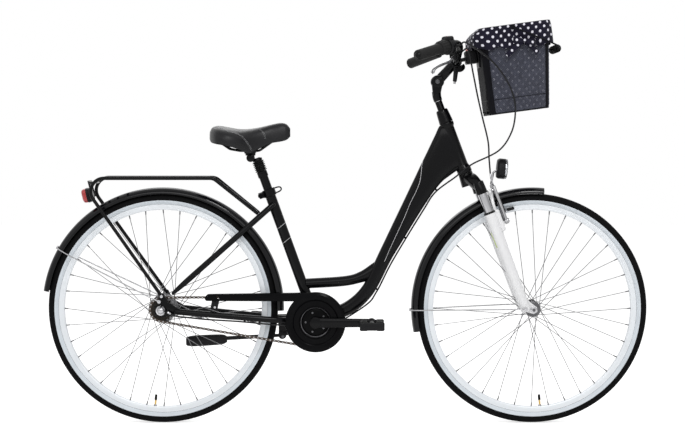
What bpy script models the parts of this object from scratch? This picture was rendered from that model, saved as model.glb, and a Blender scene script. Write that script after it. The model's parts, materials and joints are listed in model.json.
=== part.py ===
"""City bike with a low step-through frame, built at real size.

Metres. +X points forward, +Y to the rider's left and +Z up. Both wheels stand on Z = 0.
Most pieces are placed in one of three frames: along the seat tube from the bottom bracket,
along the steering axis from the front axle, or from the centre of the handlebar clamp.
"""

import bpy
import bmesh
from math import asin, atan2, ceil, cos, hypot, pi, radians, sin, sqrt, tan
from mathutils import Matrix, Quaternion, Vector

for leftover in list(bpy.data.objects):
    bpy.data.objects.remove(leftover, do_unlink=True)

# Clearance between pieces that touch
GAP = 0.0003

# Wheels
TYRE_RADIUS = 0.351
TYRE_HALF_WIDTH = 0.0192
TYRE_HEIGHT = 0.0325
TYRE_STEPS = 36
RIM_OUTER_RADIUS = TYRE_RADIUS - TYRE_HEIGHT
RIM_DEPTH = 0.0168
RIM_WELL_DEPTH = 0.0075
RIM_INNER_RADIUS = RIM_OUTER_RADIUS - RIM_DEPTH
RIM_FLOOR_RADIUS = RIM_OUTER_RADIUS - RIM_WELL_DEPTH
RIM_HALF_WIDTH = 0.0122
RIM_WALL = 0.0018
SPOKE_RADIUS = 0.0012
SPOKES_PER_FLANGE = 18
SPOKE_LEAD = radians(60)
AXLE_RADIUS = 0.0048
WHEELBASE = 1.128

# Drive
CHAIN_PITCH = 0.0127
CHAIN_LINKS = 102
CHAINRING_TEETH = 38
SPROCKET_TEETH = 18
TOOTH_HEIGHT = 0.0061
TOOTH_THICKNESS = 0.0026
CHAIN_HALF_WIDTH = 0.0037
CHAIN_PIN_HEIGHT = 0.0043
CHAIN_FLOOR = 0.0030
CHAIN_SIDE_GAP = 0.0004
CHAIN_LINE = 0.0440
BOTTOM_BRACKET_DROP = 0.0385
BOTTOM_BRACKET_RADIUS = 0.0205
BOTTOM_BRACKET_HALF_WIDTH = 0.0340
SPINDLE_RADIUS = 0.0085
CRANK_LENGTH = 0.170
CRANK_INNER = 0.0625
CRANK_THICKNESS = 0.0130
CRANK_EYE_RADIUS = 0.0150
CRANK_HUB_RADIUS = 0.0185
PEDAL_LENGTH = 0.096
PEDAL_DEPTH = 0.074
PEDAL_HEIGHT = 0.028
PEDAL_PIN_RADIUS = 0.0055

# Mudguards
MUDGUARD_CLEARANCE = 0.0185
MUDGUARD_RISE = 0.0155
MUDGUARD_RADIUS = TYRE_RADIUS + MUDGUARD_CLEARANCE
MUDGUARD_EDGE_RADIUS = MUDGUARD_RADIUS - MUDGUARD_RISE
MUDGUARD_HALF_WIDTH = 0.0250
MUDGUARD_SHEET = 0.0012
REAR_GUARD_STEPS = 22
FRONT_GUARD_STEPS = 13
REAR_GUARD_BACK = radians(171.5)
REAR_GUARD_FRONT = radians(-1)
FRONT_GUARD_BACK = radians(191.4)
FRONT_GUARD_FRONT = radians(84.5)
STAY_WIRE_RADIUS = 0.0018
REAR_STAY_ANGLE = radians(150)
FRONT_STAY_ANGLE = radians(180.7)

# Frame
SEAT_LEAN = radians(19.85)
SEAT_TUBE_LENGTH = 0.4245
SEAT_TUBE_RADIUS = 0.0159
SEAT_TUBE_BORE = 0.0139
STEER_LEAN = radians(20.7)
FORK_OFFSET = 0.0457
CROWN_CLEARANCE = 0.0510
CROWN_THROAT = MUDGUARD_RADIUS + CROWN_CLEARANCE
FORK_LENGTH = CROWN_THROAT + 0.0395
HEAD_TUBE_LENGTH = 0.163
HEAD_TUBE_RADIUS = 0.0180
HEAD_CUP_RADIUS = 0.0225
HEAD_TUBE_BORE = 0.0160
DOWN_TUBE_LOW_DEPTH = 0.042
DOWN_TUBE_MID_DEPTH = 0.048
DOWN_TUBE_TOP_DEPTH = 0.072
DOWN_TUBE_WIDTH = 0.042
DOWN_TUBE_TOP_WIDTH = 0.034
DOWN_TUBE_BEND_RADIUS = 0.20
CROSS_TUBE_RADIUS = 0.0155
CHAINSTAY_RADIUS = 0.0095
SEATSTAY_RADIUS = 0.0088
DROPOUT_INNER = 0.0655
DROPOUT_THICKNESS = 0.0060

# Suspension fork
LEG_SPACING = 0.065
LEG_OFFSET = 0.0229
LEG_RADIUS = 0.0182
LEG_FOOT_RADIUS = 0.0158
STANCHION_RADIUS = 0.0138
CROWN_BOTTOM = CROWN_THROAT - 0.0345
CROWN_BOSS_TOP = CROWN_THROAT + 0.0035
CROWN_BOSS_RADIUS = 0.0172
STANCHION_SHOWING = 0.0643
LEG_TOP = CROWN_BOTTOM - STANCHION_SHOWING
WIPER_HEIGHT = 0.0055
STEERER_RADIUS = 0.0143
QUILL_RADIUS = 0.0111
FRONT_HUB_HALF = 0.0500
BOSS_HEIGHT = RIM_INNER_RADIUS - 0.0207
BOSS_SPACING = 0.040
PAD_GAP = 0.0022

# Stem, handlebar and its controls
STEM_STACK = 0.1265
STEM_PIVOT_HEIGHT = FORK_LENGTH + HEAD_TUBE_LENGTH + STEM_STACK
STEM_PIVOT_OFFSET = 0.0181
STEM_LENGTH = 0.0806
STEM_RISE = radians(47.8)
STEM_KNUCKLE_RADIUS = 0.0185
STEM_BOLT_RADIUS = 0.0045
BAR_RADIUS = 0.0111
BAR_CLAMP_RADIUS = 0.0127
BAR_CLAMP_HALF = 0.0510
BAR_BORE = (BAR_RADIUS + GAP) / cos(pi / 12)
CLAMP_BORE = (BAR_CLAMP_RADIUS + GAP) / cos(pi / 12)
BAR_RISE_START = 0.066
BAR_SHOULDER = Vector((0.0095, 0.130, 0.0554))
BAR_END = Vector((-0.124, 0.292, 0.008))
GRIP_RADIUS = 0.0163
GRIP_LENGTH = 0.100
LEFT_GRIP_LENGTH = 0.135
TWIST_LENGTH = 0.035
SHIFTER_LENGTH = 0.024
LEVER_CLAMP_LENGTH = 0.012
LEVER_DROP = 0.038

# Basket, in its own frame: forward along its floor, left, and up
BASKET_CORNER = Vector((0.0946, 0.0, -0.1639))
BASKET_TILT = radians(7.5)
BASKET_FLOOR_DEPTH = 0.1815
BASKET_TOP_DEPTH = 0.211
BASKET_FLOOR_HALF = 0.140
BASKET_TOP_HALF = 0.153
BASKET_HEIGHT = 0.258
BASKET_WALL = 0.0016
BASKET_CORNER_RADIUS = 0.030
BACK_PLATE = 0.0055
BACK_PLATE_HEIGHT = 0.183
LINER_THICKNESS = 0.0014
FLAP_LENGTH = 0.078
HANDLE_RADIUS = 0.0025
EAR_RADIUS = 0.0040
HANDLE_SIDE = 0.1715
HANDLE_GRIP_RADIUS = 0.0125

# Seatpost and saddle
SEATPOST_RADIUS = 0.0136
SEATPOST_LENGTH = 0.236
SEATPOST_SHOWING = 0.0615
SEATPOST_TOP = SEAT_TUBE_LENGTH + SEATPOST_SHOWING
SEATPOST_BOTTOM = SEATPOST_TOP - SEATPOST_LENGTH
SEATPOST_COLLAR = 0.018
BELLOWS_LENGTH = 0.0335
BELLOWS_TOP = SEATPOST_TOP + BELLOWS_LENGTH
BELLOWS_RIBS = 6
PISTON_RADIUS = 0.0108
SADDLE_PIVOT_HEIGHT = BELLOWS_TOP + 0.0165
SADDLE_SETBACK = 0.017
SADDLE_PIVOT_RADIUS = 0.0125
SADDLE_LENGTH = 0.246
SADDLE_HALF_WIDTH = 0.100

# Rack, kickstand and chain case
RACK_CLEARANCE = 0.0295
RACK_HEIGHT = TYRE_RADIUS + MUDGUARD_RADIUS + RACK_CLEARANCE
RACK_HALF_WIDTH = 0.060
RACK_TUBE_RADIUS = 0.0055
RACK_BACK = -0.203
RACK_FRONT = 0.158
RACK_BEND_RADIUS = 0.040
RACK_HOLD = 0.054
LIGHT_PLATE = 0.0030
LIGHT_TURN = Matrix.Rotation(radians(-14), 4, "Y")
CASE_RADIUS = 0.092
CASE_WINDOW = 0.046
CASE_OUTER = 0.0582
CASE_INNER = 0.0402
CASE_WALL = 0.0018
KICKSTAND_LENGTH = 0.300
KICKSTAND_AXIS = Vector((-0.161, 0.944, 0.283)).normalized()
KICKSTAND_PIN_RADIUS = 0.0045

UP = Vector((0, 0, 1))
LEFT = Vector((0, 1, 0))
FORWARD = Vector((1, 0, 0))
BLACK_PAINT = ((0.018, 0.018, 0.020), 0.38, 0.25)
GLOSS_BLACK = ((0.010, 0.010, 0.011), 0.16, 0.0)
BLACK_PLASTIC = ((0.020, 0.020, 0.021), 0.55, 0.0)
RUBBER = ((0.016, 0.016, 0.016), 0.85, 0.0)
SILVER = ((0.70, 0.71, 0.73), 0.30, 1.0)
STEEL = ((0.34, 0.31, 0.28), 0.38, 1.0)
WHITE_PAINT = ((0.83, 0.83, 0.84), 0.25, 0.0)
VINYL = ((0.022, 0.022, 0.024), 0.62, 0.0)
BASKET_WIRE = ((0.045, 0.046, 0.060), 0.45, 0.5)
CLOTH = ((0.018, 0.014, 0.030), 0.90, 0.0)
RED_PLASTIC = ((0.45, 0.012, 0.012), 0.30, 0.0)

parts = bpy.data.collections.new("City bike")
cutters = bpy.data.collections.new("Cutters")
bpy.context.scene.collection.children.link(parts)
bpy.context.scene.collection.children.link(cutters)


# Helpers

def finish(thing, look):
    """Give an object its own Principled material."""
    colour, roughness, metallic = look
    material = bpy.data.materials.new(thing.name)
    material.use_nodes = True
    shader = material.node_tree.nodes["Principled BSDF"]
    shader.inputs["Base Color"].default_value = (*colour, 1)
    shader.inputs["Roughness"].default_value = roughness
    shader.inputs["Metallic"].default_value = metallic
    thing.data.materials.clear()
    thing.data.materials.append(material)
    return thing


def added(name, data):
    thing = bpy.data.objects.new(name, data)
    parts.objects.link(thing)
    return thing


def as_cutter(thing):
    """Keep a shape only as the tool of a Boolean."""
    parts.objects.unlink(thing)
    cutters.objects.link(thing)
    thing.hide_render = True
    thing.display_type = "WIRE"


def combine(target, operation, tools):
    for tool in tools:
        step = target.modifiers.new(operation.title(), "BOOLEAN")
        step.operation = operation
        step.object = tool
        if tool.name not in cutters.objects:
            as_cutter(tool)
    return target


def fuse(target, *tools):
    return combine(target, "UNION", tools)


def cut(target, *tools):
    return combine(target, "DIFFERENCE", tools)


def from_mesh(name, vertices, faces):
    """Object of a closed mesh with its faces pointing out."""
    shape = bmesh.new()
    points = [shape.verts.new(vertex) for vertex in vertices]
    for face in faces:
        shape.faces.new([points[index] for index in face])
    bmesh.ops.recalc_face_normals(shape, faces=shape.faces)
    mesh = bpy.data.meshes.new(name)
    shape.to_mesh(mesh)
    shape.free()
    return added(name, mesh)


def flat_faced(thing):
    """Triangles in place of the quads, so that a Boolean finds each face flat."""
    shape = bmesh.new()
    shape.from_mesh(thing.data)
    bmesh.ops.triangulate(shape, faces=shape.faces)
    shape.to_mesh(thing.data)
    shape.free()
    return thing


def loft(name, rings, closed=False):
    """Skin over a row of rings of equal counts, capped at both ends or closed on itself."""
    count = len(rings[0])
    vertices = [point for ring in rings for point in ring]
    faces = []
    last = len(rings) if closed else len(rings) - 1
    for row in range(last):
        following = (row + 1) % len(rings)
        for side in range(count):
            beside = (side + 1) % count
            faces.append((row * count + side, row * count + beside,
                          following * count + beside, following * count + side))
    if not closed:
        faces.append(tuple(reversed(range(count))))
        faces.append(tuple(range((len(rings) - 1) * count, len(rings) * count)))
    return from_mesh(name, vertices, faces)


def mesh_of_curve(thing):
    """Turn a curve object into a mesh object of the same name with its caps welded."""
    bpy.context.view_layer.update()
    evaluated = thing.evaluated_get(bpy.context.evaluated_depsgraph_get())
    mesh = bpy.data.meshes.new_from_object(evaluated)
    shape = bmesh.new()
    shape.from_mesh(mesh)
    bmesh.ops.remove_doubles(shape, verts=shape.verts, dist=1e-6)
    bmesh.ops.recalc_face_normals(shape, faces=shape.faces)
    shape.to_mesh(mesh)
    shape.free()
    name = thing.name
    placed = thing.matrix_world.copy()
    bpy.data.objects.remove(thing, do_unlink=True)
    solid = added(name, mesh)
    solid.matrix_world = placed
    return solid


def tube(name, points, radius, sides=8, widths=None, closed=False):
    """Round tube along points, as a solid mesh."""
    curve = bpy.data.curves.new(name, "CURVE")
    curve.dimensions = "3D"
    curve.bevel_depth = radius
    curve.bevel_resolution = (sides - 4) // 2
    curve.use_fill_caps = True
    line = curve.splines.new("POLY")
    line.points.add(len(points) - 1)
    for index, (spot, point) in enumerate(zip(line.points, points)):
        spot.co = (*point, 1)
        spot.radius = widths[index] if widths else 1.0
    line.use_cyclic_u = closed
    return mesh_of_curve(added(name, curve))


def outline(name, loops, thickness, centre, normal=LEFT):
    """Flat plate of the given loops of (along, up) points, square to a level normal."""
    curve = bpy.data.curves.new(name, "CURVE")
    curve.dimensions = "2D"
    curve.fill_mode = "BOTH"
    curve.extrude = thickness / 2
    for loop in loops:
        line = curve.splines.new("POLY")
        line.points.add(len(loop) - 1)
        for spot, (along, height) in zip(line.points, loop):
            spot.co = (along, height, 0, 1)
        line.use_cyclic_u = True
    plate = added(name, curve)
    plate.location = centre
    plate.rotation_euler = (pi / 2, 0, atan2(normal.y, normal.x) - pi / 2)
    return mesh_of_curve(plate)


def turned(name, profile, centre, axis=LEFT, steps=12, closed=True, start=0.0, sweep=2 * pi):
    """Profile of (radius, along) points, outer side first going down, turned about an axis."""
    mesh = bpy.data.meshes.new(name)
    count = len(profile)
    edges = [(index, index + 1) for index in range(count - 1)]
    if closed:
        edges.append((count - 1, 0))
    mesh.from_pydata([(radius, 0, along) for radius, along in profile], edges, [])
    thing = added(name, mesh)
    thing.location = centre
    thing.rotation_mode = "QUATERNION"
    thing.rotation_quaternion = UP.rotation_difference(axis) @ Quaternion(UP, start)
    turn = thing.modifiers.new("Turn", "SCREW")
    turn.angle = sweep
    turn.steps = turn.render_steps = steps
    turn.use_merge_vertices = sweep > 6.28
    turn.merge_threshold = 1e-6
    weld = thing.modifiers.new("Weld", "WELD")
    weld.merge_threshold = 1e-6
    return thing


def ring(name, outer, inner, low, high, centre, axis=LEFT, steps=12):
    return turned(name, [(outer, high), (outer, low), (inner, low), (inner, high)],
                  centre, axis, steps)


def rod(name, start, end, radius, end_radius=None, sides=12):
    """Straight round bar, or a taper."""
    along = end - start
    shape = bmesh.new()
    place = Matrix.Translation((start + end) / 2) @ UP.rotation_difference(along).to_matrix().to_4x4()
    bmesh.ops.create_cone(shape, cap_ends=True, segments=sides, radius1=radius,
                          radius2=radius if end_radius is None else end_radius,
                          depth=along.length, matrix=place)
    mesh = bpy.data.meshes.new(name)
    shape.to_mesh(mesh)
    shape.free()
    return added(name, mesh)


def box(name, centre, size, turn=None, bevel=0.0):
    """Block of a size along its own axes, with its edges rounded."""
    shape = bmesh.new()
    place = Matrix.Translation(centre) @ (turn or Matrix()) @ Matrix.Diagonal((*size, 1))
    bmesh.ops.create_cube(shape, size=1, matrix=place)
    if bevel:
        bmesh.ops.bevel(shape, geom=shape.edges[:], offset=bevel, segments=1, affect="EDGES")
    mesh = bpy.data.meshes.new(name)
    shape.to_mesh(mesh)
    shape.free()
    return added(name, mesh)


def rounded(corners, radii, step=radians(24)):
    """Points of a path of straight runs with round bends at its inner corners."""
    points = [corners[0]]
    for before, corner, after, radius in zip(corners, corners[1:], corners[2:], radii):
        into = (before - corner).normalized()
        away = (after - corner).normalized()
        half = into.angle(away) / 2
        start = corner + into * (radius / tan(half))
        middle = corner + (into + away).normalized() * (radius / sin(half))
        spoke = start - middle
        bend = pi - 2 * half
        axis = spoke.cross(corner + away * (radius / tan(half)) - middle).normalized()
        count = max(2, ceil(bend / step))
        for index in range(count + 1):
            points.append(middle + Quaternion(axis, bend * index / count) @ spoke)
    points.append(corners[-1])
    return points


def smooth(points, count):
    """Points of a smooth curve through the given points."""
    rows = [2 * points[0] - points[1], *points, 2 * points[-1] - points[-2]]
    out = []
    spans = len(points) - 1
    for index in range(count):
        place = index / (count - 1) * spans
        span = min(int(place), spans - 1)
        t = place - span
        a, b, c, d = rows[span:span + 4]
        out.append(0.5 * ((2 * b) + (c - a) * t + (2 * a - 5 * b + 4 * c - d) * t * t
                          + (3 * b - a - 3 * c + d) * t ** 3))
    return out


def mirrored(point):
    return Vector((point.x, -point.y, point.z))


def joint(name, place):
    """Empty on a joint's axis."""
    marker = bpy.data.objects.new(name, None)
    marker.empty_display_size = 0.02
    marker.location = place
    bpy.context.scene.collection.objects.link(marker)
    return marker


def hang(marker, *things):
    """Parent pieces to a marker without moving them."""
    bpy.context.view_layer.update()
    for thing in things:
        thing.parent = marker
        thing.matrix_parent_inverse = marker.matrix_world.inverted()


def pin_bore(radius, sides=8):
    """Radius of a bore of so many sides in which a pin of that radius turns freely."""
    return (radius + GAP) / cos(pi / sides)


def arc(centre, radius, start, end, count):
    """Points (along, up) of an arc."""
    return [(centre[0] + radius * cos(start + (end - start) * index / count),
             centre[1] + radius * sin(start + (end - start) * index / count))
            for index in range(count + 1)]


# Chain geometry, which sets the distance between the rear axle and the cranks

def pitch_radius(teeth):
    return CHAIN_PITCH / (2 * sin(pi / teeth))


RING_RADIUS = pitch_radius(CHAINRING_TEETH)
COG_RADIUS = pitch_radius(SPROCKET_TEETH)


def links_around(distance):
    lean = asin((RING_RADIUS - COG_RADIUS) / distance)
    run = distance * cos(lean)
    return (2 * run / CHAIN_PITCH + CHAINRING_TEETH * (0.5 + lean / pi)
            + SPROCKET_TEETH * (0.5 - lean / pi))


def centre_distance(links):
    """Distance at which a chain of so many links is just taut."""
    low, high = 0.2, 1.0
    for _ in range(60):
        middle = (low + high) / 2
        if links_around(middle) < links:
            low = middle
        else:
            high = middle
    return low


STAY_LENGTH = centre_distance(CHAIN_LINKS)
GUARD_REACH = MUDGUARD_RADIUS * -cos(REAR_GUARD_BACK)
REAR = Vector((-(WHEELBASE + TYRE_RADIUS - GUARD_REACH) / 2, 0, TYRE_RADIUS))
FRONT = REAR + FORWARD * WHEELBASE
BRACKET = REAR + Vector((sqrt(STAY_LENGTH ** 2 - BOTTOM_BRACKET_DROP ** 2), 0, -BOTTOM_BRACKET_DROP))
SEAT_UP = Vector((-sin(SEAT_LEAN), 0, cos(SEAT_LEAN)))
SEAT_FORWARD = Vector((cos(SEAT_LEAN), 0, sin(SEAT_LEAN)))
STEER_UP = Vector((-sin(STEER_LEAN), 0, cos(STEER_LEAN)))
STEER_FORWARD = Vector((cos(STEER_LEAN), 0, sin(STEER_LEAN)))
STEER_FOOT = FRONT - STEER_FORWARD * FORK_OFFSET
KNUCKLE = BRACKET + Vector((-0.104, 0.0490, -0.0500))


def on_seat(height, ahead=0.0, left=0.0):
    return BRACKET + SEAT_UP * height + SEAT_FORWARD * ahead + LEFT * left


def on_steering(height, ahead=0.0, left=0.0):
    return STEER_FOOT + STEER_UP * height + STEER_FORWARD * ahead + LEFT * left


STEM_PIVOT = on_steering(STEM_PIVOT_HEIGHT, STEM_PIVOT_OFFSET)
BAR_CENTRE = STEM_PIVOT + Vector((cos(STEM_RISE), 0, sin(STEM_RISE))) * STEM_LENGTH
SADDLE_PIVOT = on_seat(SADDLE_PIVOT_HEIGHT, -SADDLE_SETBACK)
STEER_TURN = UP.rotation_difference(STEER_UP).to_matrix().to_4x4()
SEAT_TURN = UP.rotation_difference(SEAT_UP).to_matrix().to_4x4()


# Wheels

def facet_radius(radius, angle, half):
    """Radius at an angle of a polygon whose corners lie on a circle, each side spanning twice half."""
    return radius * cos(half) / cos(angle % (2 * half) - half)


def tyre(name, centre):
    bead = RIM_HALF_WIDTH - RIM_WALL - GAP
    floor = RIM_FLOOR_RADIUS + GAP
    side = [(floor, bead), (RIM_OUTER_RADIUS + 0.0012, bead), (TYRE_RADIUS - 0.0185, TYRE_HALF_WIDTH),
            (TYRE_RADIUS - 0.0035, 0.0120)]
    profile = [(TYRE_RADIUS, 0.0)] + [(radius, -half) for radius, half in reversed(side)] + side
    return finish(turned(name, profile, centre, steps=TYRE_STEPS), RUBBER)


def rim(name, centre, valve_angle):
    outer, half = RIM_OUTER_RADIUS, RIM_HALF_WIDTH
    profile = [(outer, half), (outer, half - RIM_WALL), (RIM_FLOOR_RADIUS, half - RIM_WALL),
               (RIM_FLOOR_RADIUS, RIM_WALL - half), (outer, RIM_WALL - half), (outer, -half),
               (RIM_INNER_RADIUS, -half * 0.88), (RIM_INNER_RADIUS, half * 0.88)]
    hoop = turned(name, profile, centre, steps=TYRE_STEPS)
    reach = Vector((cos(valve_angle), 0, sin(valve_angle)))
    valve = rod(name + "_valve", centre + reach * (RIM_INNER_RADIUS - 0.034),
                centre + reach * (RIM_INNER_RADIUS + 0.004), 0.0030, sides=6)
    return finish(fuse(hoop, valve), SILVER)


def spoked_hub(name, centre, profile, flange_radius, flanges):
    """Hub shell with its crossed spokes, each flange's spokes in two layers."""
    shell = turned(name, profile, centre)
    shape = bmesh.new()
    for side, place in zip((-1, 1), flanges):
        for index in range(SPOKES_PER_FLANGE):
            lead = 1 if index % 2 else -1
            outer = 2 * pi * (index + (0.5 if side > 0 else 0)) / SPOKES_PER_FLANGE
            inner = outer + lead * SPOKE_LEAD
            reach = facet_radius(RIM_INNER_RADIUS, outer, pi / TYRE_STEPS) - 3 * GAP
            start = Vector((cos(inner) * flange_radius, place + lead * side * 0.0018,
                            sin(inner) * flange_radius))
            end = Vector((cos(outer) * reach, side * 0.0025, sin(outer) * reach))
            along = end - start
            start = start - along.normalized() * 0.0015
            turn = UP.rotation_difference(along).to_matrix().to_4x4()
            bmesh.ops.create_cone(shape, cap_ends=True, segments=3, radius1=SPOKE_RADIUS,
                                  radius2=SPOKE_RADIUS, depth=(end - start).length,
                                  matrix=Matrix.Translation((start + end) / 2) @ turn)
    mesh = bpy.data.meshes.new(name + "_spokes")
    shape.to_mesh(mesh)
    shape.free()
    spokes = added(name + "_spokes", mesh)
    spokes.location = centre
    return finish(fuse(shell, spokes), SILVER)


def front_wheel():
    bore = AXLE_RADIUS + GAP
    half = FRONT_HUB_HALF - 0.0005
    flange = 0.035
    side = [(0.0095, half), (0.0120, flange + 0.0016), (0.0230, flange + 0.0016),
            (0.0230, flange - 0.0016), (0.0130, flange - 0.0016)]
    profile = side + [(radius, -along) for radius, along in reversed(side)]
    profile += [(bore, -half), (bore, half)]
    marker = joint("front_wheel_spin", FRONT)
    hang(marker, tyre("front_tyre", FRONT), rim("front_rim", FRONT, radians(-85)),
         spoked_hub("front_hub", FRONT, profile, 0.0200, (-flange, flange)))


def rear_wheel():
    bore = AXLE_RADIUS + GAP
    left, right = 0.056, -0.036
    profile = [(0.0160, left), (0.0160, left - 0.008), (0.0290, left - 0.016),
               (0.0415, 0.0316), (0.0415, 0.0284), (0.0300, 0.0260), (0.0300, -0.0260),
               (0.0415, -0.0284), (0.0415, -0.0316), (0.0260, right), (bore, right), (bore, left)]
    marker = joint("rear_wheel_spin", REAR)
    hang(marker, tyre("rear_tyre", REAR), rim("rear_rim", REAR, radians(-95)),
         spoked_hub("rear_hub", REAR, profile, 0.0375, (-0.030, 0.030)))


# Drive

def toothed(teeth, radius, root_share, phase):
    """Outline of a toothed wheel, with a gap centred on the phase angle."""
    root = -CHAIN_PIN_HEIGHT - GAP
    tip = TOOTH_HEIGHT - CHAIN_PIN_HEIGHT
    points = []
    for index in range(teeth):
        for share, reach in ((-root_share, root), (root_share, root), (0.5, tip)):
            angle = phase + 2 * pi * (index + share) / teeth
            points.append(((radius + reach) * cos(angle), (radius + reach) * sin(angle)))
    return points


def chain_run():
    """Function of the place of a pin by its number, with its outward direction."""
    lean = asin((RING_RADIUS - COG_RADIUS) / STAY_LENGTH)
    back = (REAR - BRACKET).normalized()
    across = Vector((-back.z, 0, back.x))
    across = across if across.z > 0 else -across
    upper = back * sin(lean) + across * cos(lean)
    lower = back * sin(lean) - across * cos(lean)
    run = STAY_LENGTH * cos(lean) / CHAIN_PITCH
    cog_links = SPROCKET_TEETH * (0.5 - lean / pi)

    def place(number):
        number %= CHAIN_LINKS
        if number < run:
            start = BRACKET + upper * RING_RADIUS
            end = REAR + upper * COG_RADIUS
            return start.lerp(end, number / run), upper
        if number < run + cog_links:
            turn = Quaternion(LEFT, -2 * pi * (number - run) / SPROCKET_TEETH)
            return REAR + turn @ upper * COG_RADIUS, turn @ upper
        if number < 2 * run + cog_links:
            start = REAR + lower * COG_RADIUS
            end = BRACKET + lower * RING_RADIUS
            return start.lerp(end, (number - run - cog_links) / run), lower
        turn = Quaternion(LEFT, -2 * pi * (number - 2 * run - cog_links) / CHAINRING_TEETH)
        return BRACKET + turn @ lower * RING_RADIUS, turn @ lower

    ring_phase = atan2(upper.z, upper.x)
    cog_phase = ring_phase + 2 * pi * (ceil(run) - run) / SPROCKET_TEETH
    return place, ring_phase, cog_phase


def chain():
    """Chain as one loop, open towards the inside so that the teeth turn in it."""
    place, _, _ = chain_run()
    high, floor, low = CHAIN_PIN_HEIGHT, CHAIN_FLOOR, -CHAIN_PIN_HEIGHT
    wide, slot = CHAIN_HALF_WIDTH, TOOTH_THICKNESS / 2 + CHAIN_SIDE_GAP
    section = ((wide, high), (-wide, high), (-wide, low), (-slot, low), (-slot, floor), (slot, floor),
               (slot, low), (wide, low))
    rings = []
    for number in range(CHAIN_LINKS):
        point, outward = place(number)
        before, after = place(number - 1)[1], place(number + 1)[1]
        if before.angle(after) < 0.001 and number % 12:
            continue
        rings.append([point + outward * height + LEFT * (left - CHAIN_LINE) for left, height in section])
    return finish(loft("chain", rings, closed=True), STEEL)


def window(radius_in, radius_out, middle, half_angle):
    return (arc((0, 0), radius_out, middle - half_angle, middle + half_angle, 3)
            + arc((0, 0), radius_in, middle + half_angle * 0.8, middle - half_angle * 0.8, 2))


def chainring():
    _, phase, _ = chain_run()
    shape = toothed(CHAINRING_TEETH, RING_RADIUS, 0.24, phase)
    windows = [window(0.031, RING_RADIUS - 0.014, 2 * pi * index / 5, radians(23))
               for index in range(5)]
    centre_hole = arc((0, 0), CRANK_HUB_RADIUS + GAP, 0, 2 * pi * 11 / 12, 11)
    plate = outline("chainring", [shape, centre_hole, *windows], TOOTH_THICKNESS,
                    BRACKET - LEFT * CHAIN_LINE)
    return finish(plate, BLACK_PAINT)


def sprocket():
    _, _, phase = chain_run()
    shape = toothed(SPROCKET_TEETH, COG_RADIUS, 0.24, phase)
    plate = outline("sprocket", [shape], TOOTH_THICKNESS, REAR - LEFT * CHAIN_LINE)
    driver = rod("sprocket_driver", REAR - LEFT * 0.0500, REAR - LEFT * 0.0363, 0.0170, sides=8)
    hole = rod("sprocket_hole", REAR - LEFT * 0.06, REAR - LEFT * 0.03, AXLE_RADIUS + GAP)
    marker = joint("sprocket_spin", REAR)
    fuse(plate, driver)
    cut(plate, hole)
    hang(marker, plate)
    return finish(plate, STEEL)


def crank_arm(name, side, direction):
    """Arm from the spindle's end to the pedal's eye, with the pedal spindle in it."""
    middle = LEFT * side * (CRANK_INNER + CRANK_THICKNESS / 2)
    half = LEFT * side * CRANK_THICKNESS / 2
    eye = BRACKET + FORWARD * direction * CRANK_LENGTH
    rings = []
    for share, width, thick in ((0, 0.015, 1.0), (0.16, 0.0135, 1.0), (0.55, 0.011, 0.86),
                                (0.9, 0.0105, 0.86), (1, 0.0105, 0.86)):
        spot = BRACKET.lerp(eye, share) + middle
        rings.append([spot + UP * width - half * thick, spot + UP * width + half * thick * 0.5,
                      spot + UP * width * 0.6 + half * thick, spot - UP * width * 0.6 + half * thick,
                      spot - UP * width + half * thick * 0.5, spot - UP * width - half * thick])
    arm = loft(name, rings)
    boss_inner = CRANK_INNER if side > 0 else CHAIN_LINE - 0.006
    boss = rod(name + "_boss", BRACKET + LEFT * side * boss_inner,
               BRACKET + LEFT * side * (CRANK_INNER + CRANK_THICKNESS + 0.002), CRANK_HUB_RADIUS)
    eye_disc = rod(name + "_eye", eye + LEFT * side * CRANK_INNER,
                   eye + LEFT * side * (CRANK_INNER + CRANK_THICKNESS), CRANK_EYE_RADIUS, 0.0135)
    outer = CRANK_INNER + CRANK_THICKNESS
    spindle = rod(name + "_pedal_spindle", eye + LEFT * side * (outer - 0.004),
                  eye + LEFT * side * (outer + PEDAL_LENGTH - 0.012), PEDAL_PIN_RADIUS, sides=8)
    fuse(arm, boss, eye_disc, spindle)
    return finish(arm, BLACK_PAINT), eye


def pedal(name, side, eye):
    """Pedal body with two rubber treads and a bearing bore."""
    start = CRANK_INNER + CRANK_THICKNESS + 0.007
    middle = eye + LEFT * side * (start + PEDAL_LENGTH / 2)
    cage = box(name, middle, (PEDAL_DEPTH, PEDAL_LENGTH, PEDAL_HEIGHT * 0.62))
    for along in (-1, 1):
        tread = box(f"{name}_tread{along}", middle + FORWARD * along * PEDAL_DEPTH * 0.32,
                    (PEDAL_DEPTH * 0.26, PEDAL_LENGTH * 0.9, PEDAL_HEIGHT))
        hollow = box(f"{name}_gap{along}", middle + FORWARD * along * PEDAL_DEPTH * 0.155,
                     (PEDAL_DEPTH * 0.085, PEDAL_LENGTH * 0.62, PEDAL_HEIGHT * 1.4))
        fuse(cage, tread)
        cut(cage, hollow)
    bore = rod(name + "_bore", middle - LEFT * side * PEDAL_LENGTH,
               middle + LEFT * side * (PEDAL_LENGTH / 2 - 0.012), pin_bore(PEDAL_PIN_RADIUS), sides=8)
    barrel = rod(name + "_barrel", middle - LEFT * side * (PEDAL_LENGTH / 2 + 0.003),
                 middle + LEFT * side * (PEDAL_LENGTH / 2 - 0.003), 0.0095, sides=8)
    fuse(cage, barrel)
    cut(cage, bore)
    marker = joint(name + "_spin", eye)
    hang(marker, cage)
    finish(cage, RUBBER)
    return marker


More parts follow.
